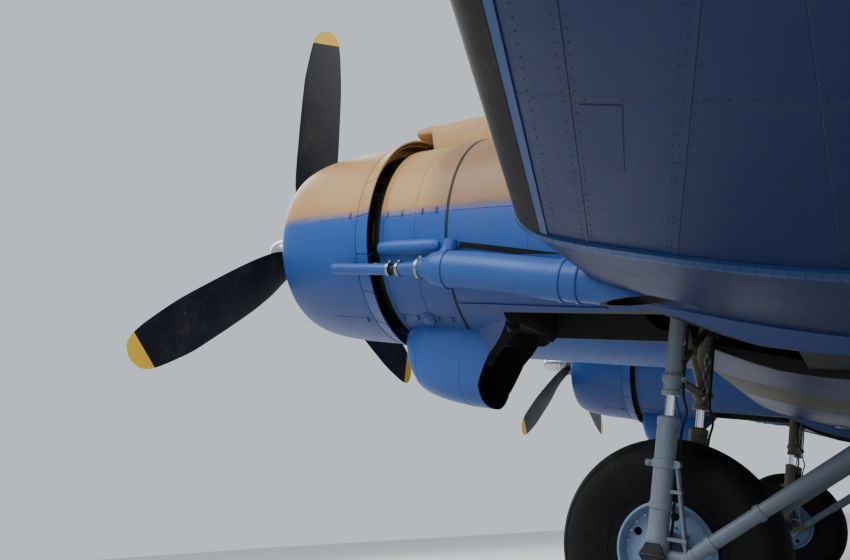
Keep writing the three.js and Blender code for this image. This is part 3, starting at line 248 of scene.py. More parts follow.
class Shape:
    """A mesh that grows piece by piece, in the aircraft's frame and millimetres."""

    def __init__(self) -> None:
        """Starts empty."""
        self.points: list[np.ndarray] = []
        self.faces: list[tuple[int, ...]] = []
        self.slots: list[int] = []
        self.count = 0

    def add(self, points: np.ndarray, faces: Iterable[Sequence[int]], slot: int = 0) -> "Shape":
        """Adds points and the faces on them.

        Args:
            points: Points, one per row.
            faces: Faces, as indices into these points.
            slot: Material slot of the faces.

        Returns:
            The shape itself.
        """
        rows = np.asarray(points, float).reshape(-1, 3)
        made = [tuple(int(i) + self.count for i in face) for face in faces]
        self.points.append(rows)
        self.faces += made
        self.slots += [slot] * len(made)
        self.count += len(rows)
        return self

    def loft(self, rings: np.ndarray, slot: int = 0, caps: bool = True, loop: bool = False) -> "Shape":
        """Adds a skin over rings with equal counts of points.

        Args:
            rings: Array of rings, each an array of points.
            slot: Material slot.
            caps: True to close both ends.
            loop: True to join the last ring to the first.

        Returns:
            The shape itself.
        """
        rings = np.asarray(rings, float)
        count, n = rings.shape[:2]
        faces: list[Sequence[int]] = []
        for r in range(count if loop else count - 1):
            a, b = r * n, ((r + 1) % count) * n
            faces += [(a + i, a + (i + 1) % n, b + (i + 1) % n, b + i) for i in range(n)]
        if caps and not loop:
            faces += [tuple(range(n - 1, -1, -1)), tuple(range((count - 1) * n, count * n))]
        return self.add(rings.reshape(-1, 3), faces, slot)

    def tube(
        self,
        path: Sequence[Sequence[float]],
        radius: float | Sequence[float],
        segments: int = 16,
        slot: int = 0,
        inner: float = 0.0,
    ) -> "Shape":
        """Adds a round bar or pipe along a path.

        Args:
            path: Points of its middle line.
            radius: One radius, or one for each point.
            segments: Sides round it.
            slot: Material slot.
            inner: Wall thickness, or 0 for a solid bar.

        Returns:
            The shape itself.
        """
        points = np.asarray(path, float)
        radii = np.broadcast_to(np.asarray(radius, float), (len(points),))
        ahead = np.gradient(points, axis=0)
        ahead /= np.linalg.norm(ahead, axis=1)[:, None]
        side = square_to(ahead[0])
        outer, bore = [], []
        for point, along, size in zip(points, ahead, radii):
            side = unit(side - along * (side @ along))
            spokes = circle(along, side, segments)
            outer.append(point + spokes * size)
            bore.append(point + spokes * (size - inner))
        if not inner:
            return self.loft(np.array(outer), slot)
        return self.loft(np.array(outer + bore[::-1]), slot, loop=True)

    def bar(
        self, middle: Sequence[float], half: Sequence[float], radius: float, segments: int = 12
    ) -> "Shape":
        """Adds a straight round bar.

        Args:
            middle: Its middle.
            half: The way from there to its end.
            radius: Its radius.
            segments: Sides round it.

        Returns:
            The shape itself.
        """
        centre = np.asarray(middle, float)
        return self.tube([centre - half, centre + half], radius, segments)

    def block(self, middle: Sequence[float], low: Sequence[float], high: Sequence[float]) -> "Shape":
        """Adds a box from two corners that are given from a point."""
        return self.box(np.add(middle, low), np.add(middle, high))

    def lathe(
        self,
        profile: Sequence[Sequence[float]],
        centre: Sequence[float],
        segments: int = 96,
        axis: Sequence[float] = (0, 1, 0),
        slot: int = 0,
        closed: bool = False,
    ) -> "Shape":
        """Adds a body of revolution.

        Args:
            profile: Pairs of radius and place along the axis.
            centre: Where the axis starts.
            segments: Sides round it.
            axis: Direction of the axis.
            slot: Material slot.
            closed: True where the profile is a closed loop, such as a ring's.

        Returns:
            The shape itself.
        """
        along = unit(np.asarray(axis, float))
        spokes = circle(along, square_to(along), segments)
        rings = [np.asarray(centre) + along * place + spokes * radius for radius, place in profile]
        return self.loft(np.array(rings), slot, caps=not closed, loop=closed)

    def box(self, low: Sequence[float], high: Sequence[float]) -> "Shape":
        """Adds a box between two corners.

        Args:
            low: The corner with the lower numbers.
            high: The other corner.

        Returns:
            The shape itself.
        """
        (x0, y0, z0), (x1, y1, z1) = low, high
        ring = [(x0, y0), (x1, y0), (x1, y1), (x0, y1)]
        return self.loft(np.array([[(x, y, z) for x, y in ring] for z in (z0, z1)]))

    def plate(self, grid: np.ndarray, normals: np.ndarray, low: float, high: float) -> "Shape":
        """Adds a thin plate that follows a surface.

        Args:
            grid: Points of the surface, in rows and columns.
            normals: The outward direction at each point.
            low: Distance of its underside from the surface.
            high: Distance of its outside from the surface.
        Returns:
            The shape itself.
        """
        rows, columns = grid.shape[:2]
        n = rows * columns
        index = np.arange(n).reshape(rows, columns)
        faces: list[Sequence[int]] = []
        for r in range(rows - 1):
            for c in range(columns - 1):
                quad = (index[r, c], index[r, c + 1], index[r + 1, c + 1], index[r + 1, c])
                faces += [quad, tuple(i + n for i in reversed(quad))]
        edge = [*index[0], *index[1:, -1], *index[-1, -2::-1], *index[-2:0:-1, 0]]
        faces += [(a, a + n, b + n, b) for a, b in zip(edge, edge[1:] + edge[:1])]
        outside, underside = grid + normals * high, grid + normals * low
        return self.add(np.concatenate([outside.reshape(-1, 3), underside.reshape(-1, 3)]), faces)

    def merged(
        self, other: "Shape", points: Callable[[np.ndarray], np.ndarray] = lambda p: p
    ) -> "Shape":
        """Adds a copy of another shape.

        Args:
            other: The other shape.
            points: Moves its points.

        Returns:
            The shape itself.
        """
        part = points(np.concatenate(other.points))
        self.faces += [tuple(i + self.count for i in face) for face in other.faces]
        self.points.append(part)
        self.slots += other.slots
        self.count += len(part)
        return self

    def on_side(self, sign: int) -> "Shape":
        """The same shape on the port side for 1, or mirrored to starboard for -1."""
        return self if sign > 0 else Shape().merged(self, lambda p: p * (-1, 1, 1))


def turned(points: np.ndarray, angle: float) -> np.ndarray:
    """Points turned about the fore-and-aft axis, by the right-hand rule about +Y.

    Args:
        points: The points, one per row.
        angle: The turn.

    Returns:
        The turned points.
    """
    c, s = math.cos(angle), math.sin(angle)
    x, y, z = points.T
    return np.stack([c * x + s * z, y, c * z - s * x], axis=1)


def srgb(code: int) -> tuple[float, float, float, float]:
    """A colour written as 0xRRGGBB, as linear values with alpha 1."""
    parts = [((code >> shift) & 255) / 255 for shift in (16, 8, 0)]
    return (*[v / 12.92 if v <= 0.04045 else ((v + 0.055) / 1.055) ** 2.4 for v in parts], 1.0)


class Graph:
    """A node tree, with short ways to add nodes and join them."""

    def __init__(self, tree: bpy.types.NodeTree) -> None:
        """Takes the tree to build in."""
        self.tree = tree

    def node(self, kind: str, sockets: dict | None = None, **settings: object) -> bpy.types.Node:
        """Adds a node.

        Args:
            kind: The node's type name.
            sockets: Input names or indices, with a value or an output to join to each.
            settings: Properties of the node.

        Returns:
            The new node.
        """
        node = self.tree.nodes.new(kind)
        for name, value in settings.items():
            setattr(node, name, value)
        for name, value in (sockets or {}).items():
            if isinstance(value, bpy.types.NodeSocket):
                self.tree.links.new(value, node.inputs[name])
            else:
                node.inputs[name].default_value = value
        return node

    def math(self, operation: str, a: object, b: object = 0.0) -> bpy.types.NodeSocket:
        """The result of a Math node on two values or outputs."""
        return self.node("ShaderNodeMath", {0: a, 1: b}, operation=operation).outputs[0]

    def times(self, a: object, b: object) -> bpy.types.NodeSocket:
        """The product of two values or outputs."""
        return self.math("MULTIPLY", a, b)

    def plus(self, a: object, b: object) -> bpy.types.NodeSocket:
        """The sum of two values or outputs."""
        return self.math("ADD", a, b)

    def minus(self, a: object, b: object) -> bpy.types.NodeSocket:
        """The difference of two values or outputs."""
        return self.math("SUBTRACT", a, b)

    def noise(
        self, vector: object, scale: object, detail: float, rough: float
    ) -> bpy.types.NodeSocket:
        """The value of a Noise Texture."""
        sockets = {"Vector": vector, "Scale": scale, "Detail": detail, "Roughness": rough}
        return self.node("ShaderNodeTexNoise", sockets).outputs[0]

    def ramp(self, value: object, low: object, high: object) -> bpy.types.NodeSocket:
        """A value carried smoothly from 0 at low to 1 at high."""
        sockets = {"Value": value, "From Min": low, "From Max": high}
        return self.node("ShaderNodeMapRange", sockets, interpolation_type="SMOOTHSTEP").outputs[0]

    def mix(self, share: object, a: object, b: object) -> bpy.types.NodeSocket:
        """A colour between two colours."""
        return self.node("ShaderNodeMix", {0: share, 6: a, 7: b}, data_type="RGBA").outputs[2]

    def surface(self, sockets: dict) -> None:
        """Ends a material with a Principled BSDF that takes these sockets."""
        shader = self.node("ShaderNodeBsdfPrincipled", sockets)
        self.node("ShaderNodeOutputMaterial", {"Surface": shader.outputs[0]})


def new_material(name: str) -> tuple[bpy.types.Material, Graph, bpy.types.NodeSocket]:
    """Starts a material.

    Args:
        name: Its name.

    Returns:
        The material, a graph on its nodes and its Object coordinates.
    """
    made = bpy.data.materials.new(name)
    made.use_nodes = True
    made.node_tree.nodes.clear()
    graph = Graph(made.node_tree)
    return made, graph, graph.node("ShaderNodeTexCoord").outputs["Object"]


class Effect(Enum):
    """Shader node groups that several finishes share."""

    WEATHER = "weathering"
    STREAKS = "slipstream_streaks"
    SEAMS = "sheet_seams_and_rivets"
    TWO_TONE = "two_tone_line"
    CHIPS = "chipped_paint"


class Effects:
    """Builds the shared shader node groups, once each."""

    def __init__(self) -> None:
        """Starts with none built."""
        self.made: dict[Effect, bpy.types.NodeTree] = {}

    def tree(self, effect: Effect) -> bpy.types.NodeTree:
        """The node group of an effect, built when it is first asked for.

        Args:
            effect: The effect.

        Returns:
            Its node group.
        """
        if effect not in self.made:
            self.made[effect] = bpy.data.node_groups.new(effect.value, "ShaderNodeTree")
            build = {
                Effect.WEATHER: self.weathering,
                Effect.STREAKS: self.streaks,
                Effect.SEAMS: self.seams,
                Effect.TWO_TONE: self.two_tone,
                Effect.CHIPS: self.chips,
            }[effect]
            build(self.made[effect])
        return self.made[effect]

    @staticmethod
    def sockets(
        tree: bpy.types.NodeTree, takes: dict[str, object], gives: Sequence[str]
    ) -> tuple[Graph, list[bpy.types.NodeSocket]]:
        """Gives a group its named inputs and outputs.

        Args:
            tree: The group.
            takes: Input names with their defaults. None is a vector.
            gives: Names of the value outputs.

        Returns:
            A graph on the group, and its inputs in order.
        """
        for name, default in takes.items():
            kind = "NodeSocketVector" if default is None else "NodeSocketFloat"
            socket = tree.interface.new_socket(name=name, in_out="INPUT", socket_type=kind)
            if default is not None:
                socket.default_value = default
        for name in gives:
            tree.interface.new_socket(name=name, in_out="OUTPUT", socket_type="NodeSocketFloat")
        graph = Graph(tree)
        return graph, list(graph.node("NodeGroupInput").outputs)[: len(takes)]

    def weathering(self, tree: bpy.types.NodeTree) -> None:
        """Builds uneven tone and grime over a surface in a group.

        Args:
            tree: The group to build in.
        """
        takes = {"Vector": None, "Scale": 1.0, "Amount": 0.5}
        graph, (vector, scale, amount) = self.sockets(tree, takes, ["Grime", "Tone", "Grain"])
        broad = graph.noise(vector, scale, 6, 0.6)
        fine = graph.noise(vector, graph.times(scale, 9.0), 5, 0.65)
        both = graph.times(graph.ramp(broad, 0.42, 0.72), graph.ramp(fine, 0.35, 0.7))
        results = {
            "Grime": graph.times(both, amount),
            "Tone": graph.plus(graph.times(broad, 0.6), graph.times(fine, 0.4)),
            "Grain": graph.noise(vector, graph.times(scale, 60.0), 3, 0.7),
        }
        graph.node("NodeGroupOutput", results)

    def streaks(self, tree: bpy.types.NodeTree) -> None:
        """Builds long stains that run aft with the air in a group.

        Args:
            tree: The group to build in.
        """
        graph, (vector, amount) = self.sockets(tree, {"Vector": None, "Amount": 0.5}, ["Stain"])
        sockets = {"Vector": vector, "Scale": (11.0, 0.7, 11.0)}
        long = graph.noise(graph.node("ShaderNodeMapping", sockets).outputs[0], 1.0, 5, 0.62)
        patch = graph.noise(vector, 1.4, 2, 0.5)
        mask = graph.times(graph.ramp(long, 0.5, 0.72), graph.ramp(patch, 0.38, 0.62))
        graph.node("NodeGroupOutput", {"Stain": graph.times(mask, amount)})

    def seams(self, tree: bpy.types.NodeTree) -> None:
        """Builds sheet seams with a row of rivets beside each, laid over two coordinates, in a group.

        Args:
            tree: The group to build in.
        """
        takes = {"Across": 0.0, "Along": 0.0, "Bay": 0.5, "Sheet": 1.2, "Pitch": 0.025, "Head": 0.0035}
        graph, inputs = self.sockets(tree, takes, ["Line", "Rivet"])
        across, along, bay, sheet, pitch, head = inputs

        def distance(value: object, period: object) -> bpy.types.NodeSocket:
            """The distance to the nearest whole multiple of a period."""
            return graph.math("PINGPONG", value, graph.times(period, 0.5))

        line = graph.math("MINIMUM", distance(along, sheet), distance(across, sheet))
        dots = []
        for run, cross in ((across, along), (along, across)):
            near = distance(cross, bay)
            gap = graph.minus(graph.times(pitch, 0.5), distance(run, pitch))
            dots.append(graph.math("SQRT", graph.plus(graph.times(near, near), graph.times(gap, gap))))
        spot = graph.math("MINIMUM", *dots)
        results = {
            "Line": graph.minus(1.0, graph.ramp(line, 0.0008, 0.0024)),
            "Rivet": graph.minus(1.0, graph.ramp(spot, graph.times(head, 0.5), head)),
        }
        graph.node("NodeGroupOutput", results)

    def two_tone(self, tree: bpy.types.NodeTree) -> None:
        """Builds a soft sprayed line between two colours, and a second patchy mask, in a group.

        Args:
            tree: The group to build in.
        """
        takes = {"Vector": None, "Level": 0.0, "Line": 0.0, "Soft": 0.05, "Wander": 0.1}
        graph, inputs = self.sockets(tree, takes, ["Above", "Patch"])
        vector, level, line, soft, wander = inputs
        shift = graph.times(graph.minus(graph.noise(vector, 0.9, 2, 0.5), 0.5), wander)
        speck = graph.times(graph.minus(graph.noise(vector, 38, 3, 0.7), 0.5), soft)
        height = graph.plus(graph.minus(level, line), graph.plus(shift, speck))
        results = {
            "Above": graph.ramp(height, graph.times(soft, -1.0), soft),
            "Patch": graph.ramp(graph.noise(vector, 0.33, 1.5, 0.45), 0.51, 0.535),
        }
        graph.node("NodeGroupOutput", results)

    def chips(self, tree: bpy.types.NodeTree) -> None:
        """Builds small chips and rubs through paint in a group.

        Args:
            tree: The group to build in.
        """
        takes = {"Vector": None, "Scale": 40.0, "Amount": 0.5}
        graph, (vector, scale, amount) = self.sockets(tree, takes, ["Bare"])
        spots = graph.noise(vector, scale, 6, 0.72)
        where = graph.noise(vector, graph.times(scale, 0.12), 2, 0.5)
        mask = graph.times(graph.ramp(spots, 0.62, 0.66), graph.ramp(where, 0.5, 0.62))
        graph.node("NodeGroupOutput", {"Bare": graph.times(mask, amount)})


EFFECTS = Effects()
SEAM_SHADE = 0x20242B
BARE_METAL = 0x9C9A96


class Tone(Enum):
    """How a finish shares its upper and lower colours."""

    PLAIN = 0
    BY_HEIGHT = 1
    BY_FACING = 2


@dataclass(frozen=True)
class Finish:
    """A painted, metal, rubber or fabric surface."""

    name: str
    colour: int
    roughness: float = 0.5
    metallic: float = 0.0
    tone: Tone = Tone.PLAIN
    upper: int = 0xB0864C
    patch: int = 0x886442
    lower: int | None = None
    line: float = 0.02
    soft: float = 0.045
    wander: float = 0.05
    grime: float = 0.5
    grime_colour: int = 0x4A443C
    scale: float = 1.6
    stain: float = 0.0
    bare: float = 0.0
    bay: float = 0.0
    sheet: float = 1.2
    bump: float = 0.0015
    coat: float = 0.0
    shine: float = 0.25

    def material(self) -> bpy.types.Material:
        """Builds the material.

        Returns:
            The material, with its nodes.
        """
        made, graph, place = new_material(self.name)
        location, rotation = STAND.mapping()
        sockets = {"Vector": place, "Location": location, "Rotation": rotation}
        own = graph.node("ShaderNodeMapping", sockets).outputs[0]
        axes = graph.node("ShaderNodeSeparateXYZ", {0: own}).outputs
        sockets = {"Vector": own, "Scale": self.scale, "Amount": self.grime}
        weather = self.effect(graph, Effect.WEATHER, sockets)
        colour = self.base_colour(graph, own, axes)
        sockets = {"Value": 0.8, "Saturation": 0.9, "Color": colour}
        darker = graph.node("ShaderNodeHueSaturation", sockets).outputs[0]
        colour = graph.mix(graph.ramp(weather["Tone"], 0.3, 0.7), darker, colour)
        bumps = graph.times(weather["Grain"], 0.25)
        rough = graph.plus(graph.times(weather["Tone"], 0.3), self.roughness - 0.15)
        if self.stain:
            stain = self.effect(graph, Effect.STREAKS, {"Vector": own, "Amount": self.stain})["Stain"]
            colour = graph.mix(stain, colour, srgb(self.grime_colour))
        if self.bay:
            run = axes[0] if self.tone is Tone.BY_FACING else graph.plus(axes[0], axes[2])
            sockets = {"Across": run, "Along": axes[1], "Bay": self.bay, "Sheet": self.sheet}
            seams = self.effect(graph, Effect.SEAMS, sockets)
            dark = graph.math("MAXIMUM", seams["Line"], graph.times(seams["Rivet"], 0.4))
            colour = graph.mix(graph.times(dark, 0.6), colour, srgb(SEAM_SHADE))
            bumps = graph.plus(bumps, graph.minus(seams["Rivet"], seams["Line"]))
        colour = graph.mix(weather["Grime"], colour, srgb(self.grime_colour))
        metallic: object = self.metallic
        if self.bare:
            bare = self.effect(graph, Effect.CHIPS, {"Vector": own, "Amount": self.bare})["Bare"]
            colour = graph.mix(bare, colour, srgb(BARE_METAL))
            metallic = graph.ramp(bare, 0.3, 0.7)
        sockets = {"Height": bumps, "Distance": self.bump, "Strength": 0.6}
        normal = graph.node("ShaderNodeBump", sockets).outputs[0]
        sockets = {"Base Color": colour, "Roughness": rough, "Metallic": metallic, "Normal": normal}
        sockets["Specular IOR Level"] = self.shine
        if self.coat:
            sockets |= {"Coat Weight": self.coat, "Coat Roughness": 0.25}
        graph.surface(sockets)
        return made

    def base_colour(
        self, graph: Graph, own: bpy.types.NodeSocket, axes: Sequence[bpy.types.NodeSocket]
    ) -> object:
        """The paint's colours, shared by height or by facing where it has two.

        Args:
            graph: The material's nodes.
            own: Coordinates in aircraft metres.
            axes: The same, one output for each axis.

        Returns:
            One colour, or the output that mixes them.
        """
        plain = srgb(self.colour)
        if self.tone is Tone.PLAIN:
            return plain
        sockets = {"Vector": own, "Soft": self.soft, "Wander": self.wander}
        if self.tone is Tone.BY_FACING:
            upness = graph.node("ShaderNodeAttribute", attribute_name="upness").outputs["Fac"]
            sockets |= {"Level": upness, "Line": 0.5}
        else:
            sockets |= {"Level": axes[2], "Line": self.line}
        share = self.effect(graph, Effect.TWO_TONE, sockets)
        if self.lower is not None:
            plain = graph.mix(graph.ramp(axes[2], -0.62, -0.1), srgb(self.lower), plain)
        top = graph.mix(share["Patch"], srgb(self.upper), srgb(self.patch))
        return graph.mix(share["Above"], plain, top)

    @staticmethod
    def effect(graph: Graph, effect: Effect, sockets: dict) -> bpy.types.NodeInputs:
        """Places a shared node group and returns its outputs."""
        return graph.node("ShaderNodeGroup", sockets, node_tree=EFFECTS.tree(effect)).outputs


@dataclass(frozen=True)
class Glazing(Finish):
    """Dusty clear panes whose near-black colour is painted shade of the unlit inside behind them."""

    def material(self) -> bpy.types.Material:
        """Builds the material of the panes.

        Returns:
            The material, with its nodes.
        """
        made, graph, place = new_material(self.name)
        sockets = {"Vector": place, "Scale": 2.5, "Amount": 0.35}
        weather = self.effect(graph, Effect.WEATHER, sockets)
        # The base colour is painted shade of the dark inside; the grime mixed over it is dust.
        colour = graph.mix(weather["Grime"], srgb(self.colour), srgb(self.grime_colour))
        rough = graph.plus(graph.times(weather["Tone"], 0.16), 0.02)
        sockets = {"Height": weather["Tone"], "Distance": 0.002, "Strength": 0.3}
        normal = graph.node("ShaderNodeBump", sockets).outputs[0]
        sockets = {"Base Color": colour, "Roughness": rough, "Normal": normal, "Coat Weight": 1.0}
        graph.surface(sockets)
        return made


class Paint(Enum):
    """The finishes of the plane."""

    BODY = Finish(
        "camouflage_over_blue", 0x1C4A92, tone=Tone.BY_HEIGHT, line=0.95, soft=0.07, wander=0.5,
        stain=0.35, bay=0.5, grime=0.35,
    )
    COWL = Finish(
        "nacelle_tan_over_blue", 0x0A4C9C, 0.42, tone=Tone.BY_HEIGHT, lower=0x32467C, stain=0.3,
        grime=0.35, bump=0.001,
    )
    WING = Finish(
        "wing_tan_over_dark_blue", 0x0C2050, 0.45, tone=Tone.BY_FACING, soft=0.2, stain=0.3,
        grime=0.25, grime_colour=0x2A3040, bay=0.9, sheet=1.8,
    )
    FABRIC = Finish(
        "doped_fabric", 0x162A52, 0.62, tone=Tone.BY_FACING, soft=0.2, grime=0.35, bump=0.003,
        scale=2.4,
    )
    FIN = Finish(
        "fin_camouflage", 0x1C4A92, tone=Tone.BY_HEIGHT, line=2.0, soft=0.07, wander=0.9, bay=0.45,
        stain=0.2,
    )
    TAN = Finish("scoop_tan", 0xB08A58, stain=0.35, bump=0.001)
    BLUE = Finish("blue_fitting_paint", 0x22509C, 0.42, grime=0.45, stain=0.25, bump=0.0008)
    STRIP = Finish("light_blue_strip", 0x173E74, 0.4, grime=0.4, scale=3.0, bump=0.0006)
    BOOT = Finish("boot_rubber", 0x11110F, 0.7, scale=5.0, bump=0.002)
    BLADE = Finish(
        "blade_charcoal", 0x12151F, 0.48, grime=0.35, scale=4.0, bare=0.35, grime_colour=0x5A544B,
        bump=0.0006,
    )
    TIP = Finish("blade_tip_yellow", 0xF2C40C, 0.45, grime=0.2, scale=6.0, bare=0.2, bump=0.0005)
    DOME = Finish("spun_aluminium", 0xB9BCC0, 0.28, 1.0, grime=0.3, scale=5.0, bump=0.0004)
    POLISHED = Finish("polished_piston", 0xC9CCD0, 0.12, 1.0, grime=0.15, scale=6.0, bump=0.0002)
    STEEL = Finish("bolt_steel", 0x8A8C90, 0.35, 0.9, scale=9.0, bump=0.0004)
    EXHAUST = Finish(
        "exhaust_painted_steel", 0x1C4E96, 0.42, 0.1, grime=0.6, scale=3.5, stain=0.6,
        grime_colour=0x4D4036,
    )
    BURNT = Finish("burnt_steel", 0x2A2624, 0.6, 0.7, grime=0.6, scale=6.0, grime_colour=0x5B3A28)
    GEAR = Finish(
        "gear_light_grey", 0x6A7682, 0.4, grime=0.55, scale=4.5, bare=0.5, grime_colour=0x5B5445,
        bump=0.0008,
    )
    OLIVE = Finish(
        "gear_olive_grime", 0x625E4C, grime=0.9, scale=4.0, bare=0.3, grime_colour=0x4B4433,
        bump=0.001,
    )
    RIM = Finish("rim_blue_grey", 0x6A82A4, 0.4, scale=6.0, bare=0.4, bump=0.0006)
    TYRE = Finish(
        "tyre_rubber", 0x0B0C0E, 0.8, grime=0.35, scale=5.0, grime_colour=0x3A362F, bump=0.0012
    )
    ENGINE = Finish(
        "engine_grey", 0x54585E, 0.5, 0.5, grime=0.7, scale=6.0, grime_colour=0x241F1A, bump=0.001
    )
    FINS = Finish("cylinder_fins", 0x2E3034, 0.55, 0.6, grime=0.6, scale=8.0, bump=0.0006)
    DARK = Finish("shadowed_inside", 0x121315, 0.85, grime=0.4, scale=4.0, grime_colour=0x2A2620)
    LINING = Finish(
        "primer_lining", 0x2A2D28, 0.6, grime=0.8, scale=3.0, grime_colour=0x2B2922, bay=0.3,
        sheet=0.9,
    )
    BELLY = Finish(
        "belly_olive_grime", 0x42412C, 0.55, grime=0.7, scale=2.2, stain=0.8,
        grime_colour=0x2E2B1E, bay=0.45,
    )
    HEADS = Finish("rivet_heads", 0x1C2C52, 0.45, grime=0.3, scale=9.0, bump=0.0003)
    HOSE = Finish("black_hose", 0x17181B, 0.6, grime=0.4, scale=9.0, bump=0.0008)
    LAMP_RED = Finish("lamp_red", 0x8C1410, 0.15, grime=0.15, scale=9.0, coat=1.0, bump=0.0003)
    LAMP_GREEN = Finish("lamp_green", 0x0F6A3A, 0.15, grime=0.15, scale=9.0, coat=1.0, bump=0.0003)
    # Near-black panes: painted shade of the inside seen through them, under real dust.
    GLASS = Glazing("dusty_panes_over_painted_shade", 0x10161C)


class Paints:
    """Builds each material once, when it is first asked for."""

    made: dict[Paint, bpy.types.Material] = {}

    @classmethod
    def of(cls, paint: Paint) -> bpy.types.Material:
        """The material of a finish.

        Args:
            paint: The finish.

        Returns:
            Its material.
        """
        if paint not in cls.made:
            cls.made[paint] = paint.value.material()
        return cls.made[paint]


def placed(name: str, data: bpy.types.ID) -> bpy.types.Object:
    """A new object in the scene, at the origin.

    Args:
        name: Name of the object.
        data: Its mesh, light or camera.

    Returns:
        The object.
    """
    made = bpy.data.objects.new(name, data)
    bpy.context.scene.collection.objects.link(made)
    return made


def mesh_object(shape: Shape, name: str, paints: Sequence[Paint]) -> bpy.types.Object:
    """Makes a shape an object in the row frame, with merged points and outward faces.

    Args:
        shape: The shape.
        name: Name of the piece.
        paints: The finish of each material slot.

    Returns:
        The object, linked to the scene.
    """
    mesh = bpy.data.meshes.new(name)
    mesh.from_pydata(STAND.world(np.concatenate(shape.points)), [], shape.faces)
    for paint in paints:
        mesh.materials.append(Paints.of(paint))
    mesh.polygons.foreach_set("material_index", shape.slots)
    build = bmesh.new()
    build.from_mesh(mesh)
    bmesh.ops.remove_doubles(build, verts=build.verts, dist=MERGE)
    bmesh.ops.recalc_face_normals(build, faces=build.faces)
    build.to_mesh(mesh)
    build.free()
    return placed(name, mesh)


def applied(piece: bpy.types.Object) -> None:
    """Turns a piece's modifiers into its mesh.

    Args:
        piece: The object.
    """
    bpy.context.view_layer.update()
    evaluated = piece.evaluated_get(bpy.context.evaluated_depsgraph_get())
    mesh = bpy.data.meshes.new_from_object(evaluated)
    piece.modifiers.clear()
    piece.data = mesh
    mesh.name = piece.name


def carved(piece: bpy.types.Object, cutters: Sequence[tuple[Shape, Paint]], keep: bool = False) -> None:
    """Cuts shapes out of a piece, or keeps only what lies inside them.

    Args:
        piece: The object to cut.
        cutters: Shapes with the finish that the cut faces take.
        keep: True to keep what is inside instead.
    """
    tools = []
    for i, (shape, paint) in enumerate(cutters):
        tool = mesh_object(shape, f"{piece.name}_cutter_{i}", [paint])
        cut = piece.modifiers.new("cut", "BOOLEAN")
        cut.operation = "INTERSECT" if keep else "DIFFERENCE"
        cut.solver = "EXACT"
        cut.material_mode = "TRANSFER"
        cut.object = tool
        tools.append(tool)
    applied(piece)
    for tool in tools:
        bpy.data.objects.remove(tool)


def finished(
    piece: bpy.types.Object,
    body: str,
    replaces: Sequence[str] = (),
    bevel: float = 0.0,
) -> None:
    """Gives a piece its shading, its facing attribute and its place in the frame.

    Args:
        piece: The object.
        body: Body that it rides on.
        replaces: CAD nodes that it stands for.
        bevel: Width in millimetres of a bevel on its sharp edges.
    """
    if bevel:
        edge = piece.modifiers.new("edge", "BEVEL")
        edge.width = bevel / 1000
        edge.segments = 2
        edge.limit_method = "ANGLE"
        edge.angle_limit = SHARP
        applied(piece)
    mesh = piece.data
    mesh.shade_smooth()
    mesh.set_sharp_from_angle(angle=SHARP)
    normals = np.zeros(len(mesh.vertices) * 3)
    mesh.vertices.foreach_get("normal", normals)
    lean = normals.reshape(-1, 3) @ (0, math.sin(STAND.angle), math.cos(STAND.angle))
    upness = mesh.attributes.new("upness", "FLOAT", "POINT")
    upness.data.foreach_set("value", np.clip(lean * 2 + 0.5, 0, 1).astype(np.float32))
    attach(piece, body)
    if replaces:
        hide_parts(*replaces)
    LOG.info("%s: %d faces on %s", piece.name, len(mesh.polygons), body)


def piece_of(
    shape: Shape,
    name: str,
    paints: Sequence[Paint],
    body: str = "airframe",
    replaces: Sequence[str] = (),
    bevel: float = 0.0,
    keep: tuple[Shape, Paint] | None = None,
    cuts: Sequence[tuple[Shape, Paint]] = (),
) -> None:
    """Makes a finished piece in one step.

    Args:
        shape: The shape.
        name: Name of the piece.
        paints: The finish of each material slot.
        body: Body that it rides on.
        replaces: CAD nodes that it stands for.
        bevel: Width in millimetres of a bevel on its sharp edges.
        keep: A shape outside which nothing stays, and the finish of the cut faces.
        cuts: Shapes that are cut out, with the finish of the cut faces.
    """
    made = mesh_object(shape, name, paints)
    if keep:
        carved(made, [keep], keep=True)
    if cuts:
        carved(made, cuts)
    finished(made, body, replaces, bevel)


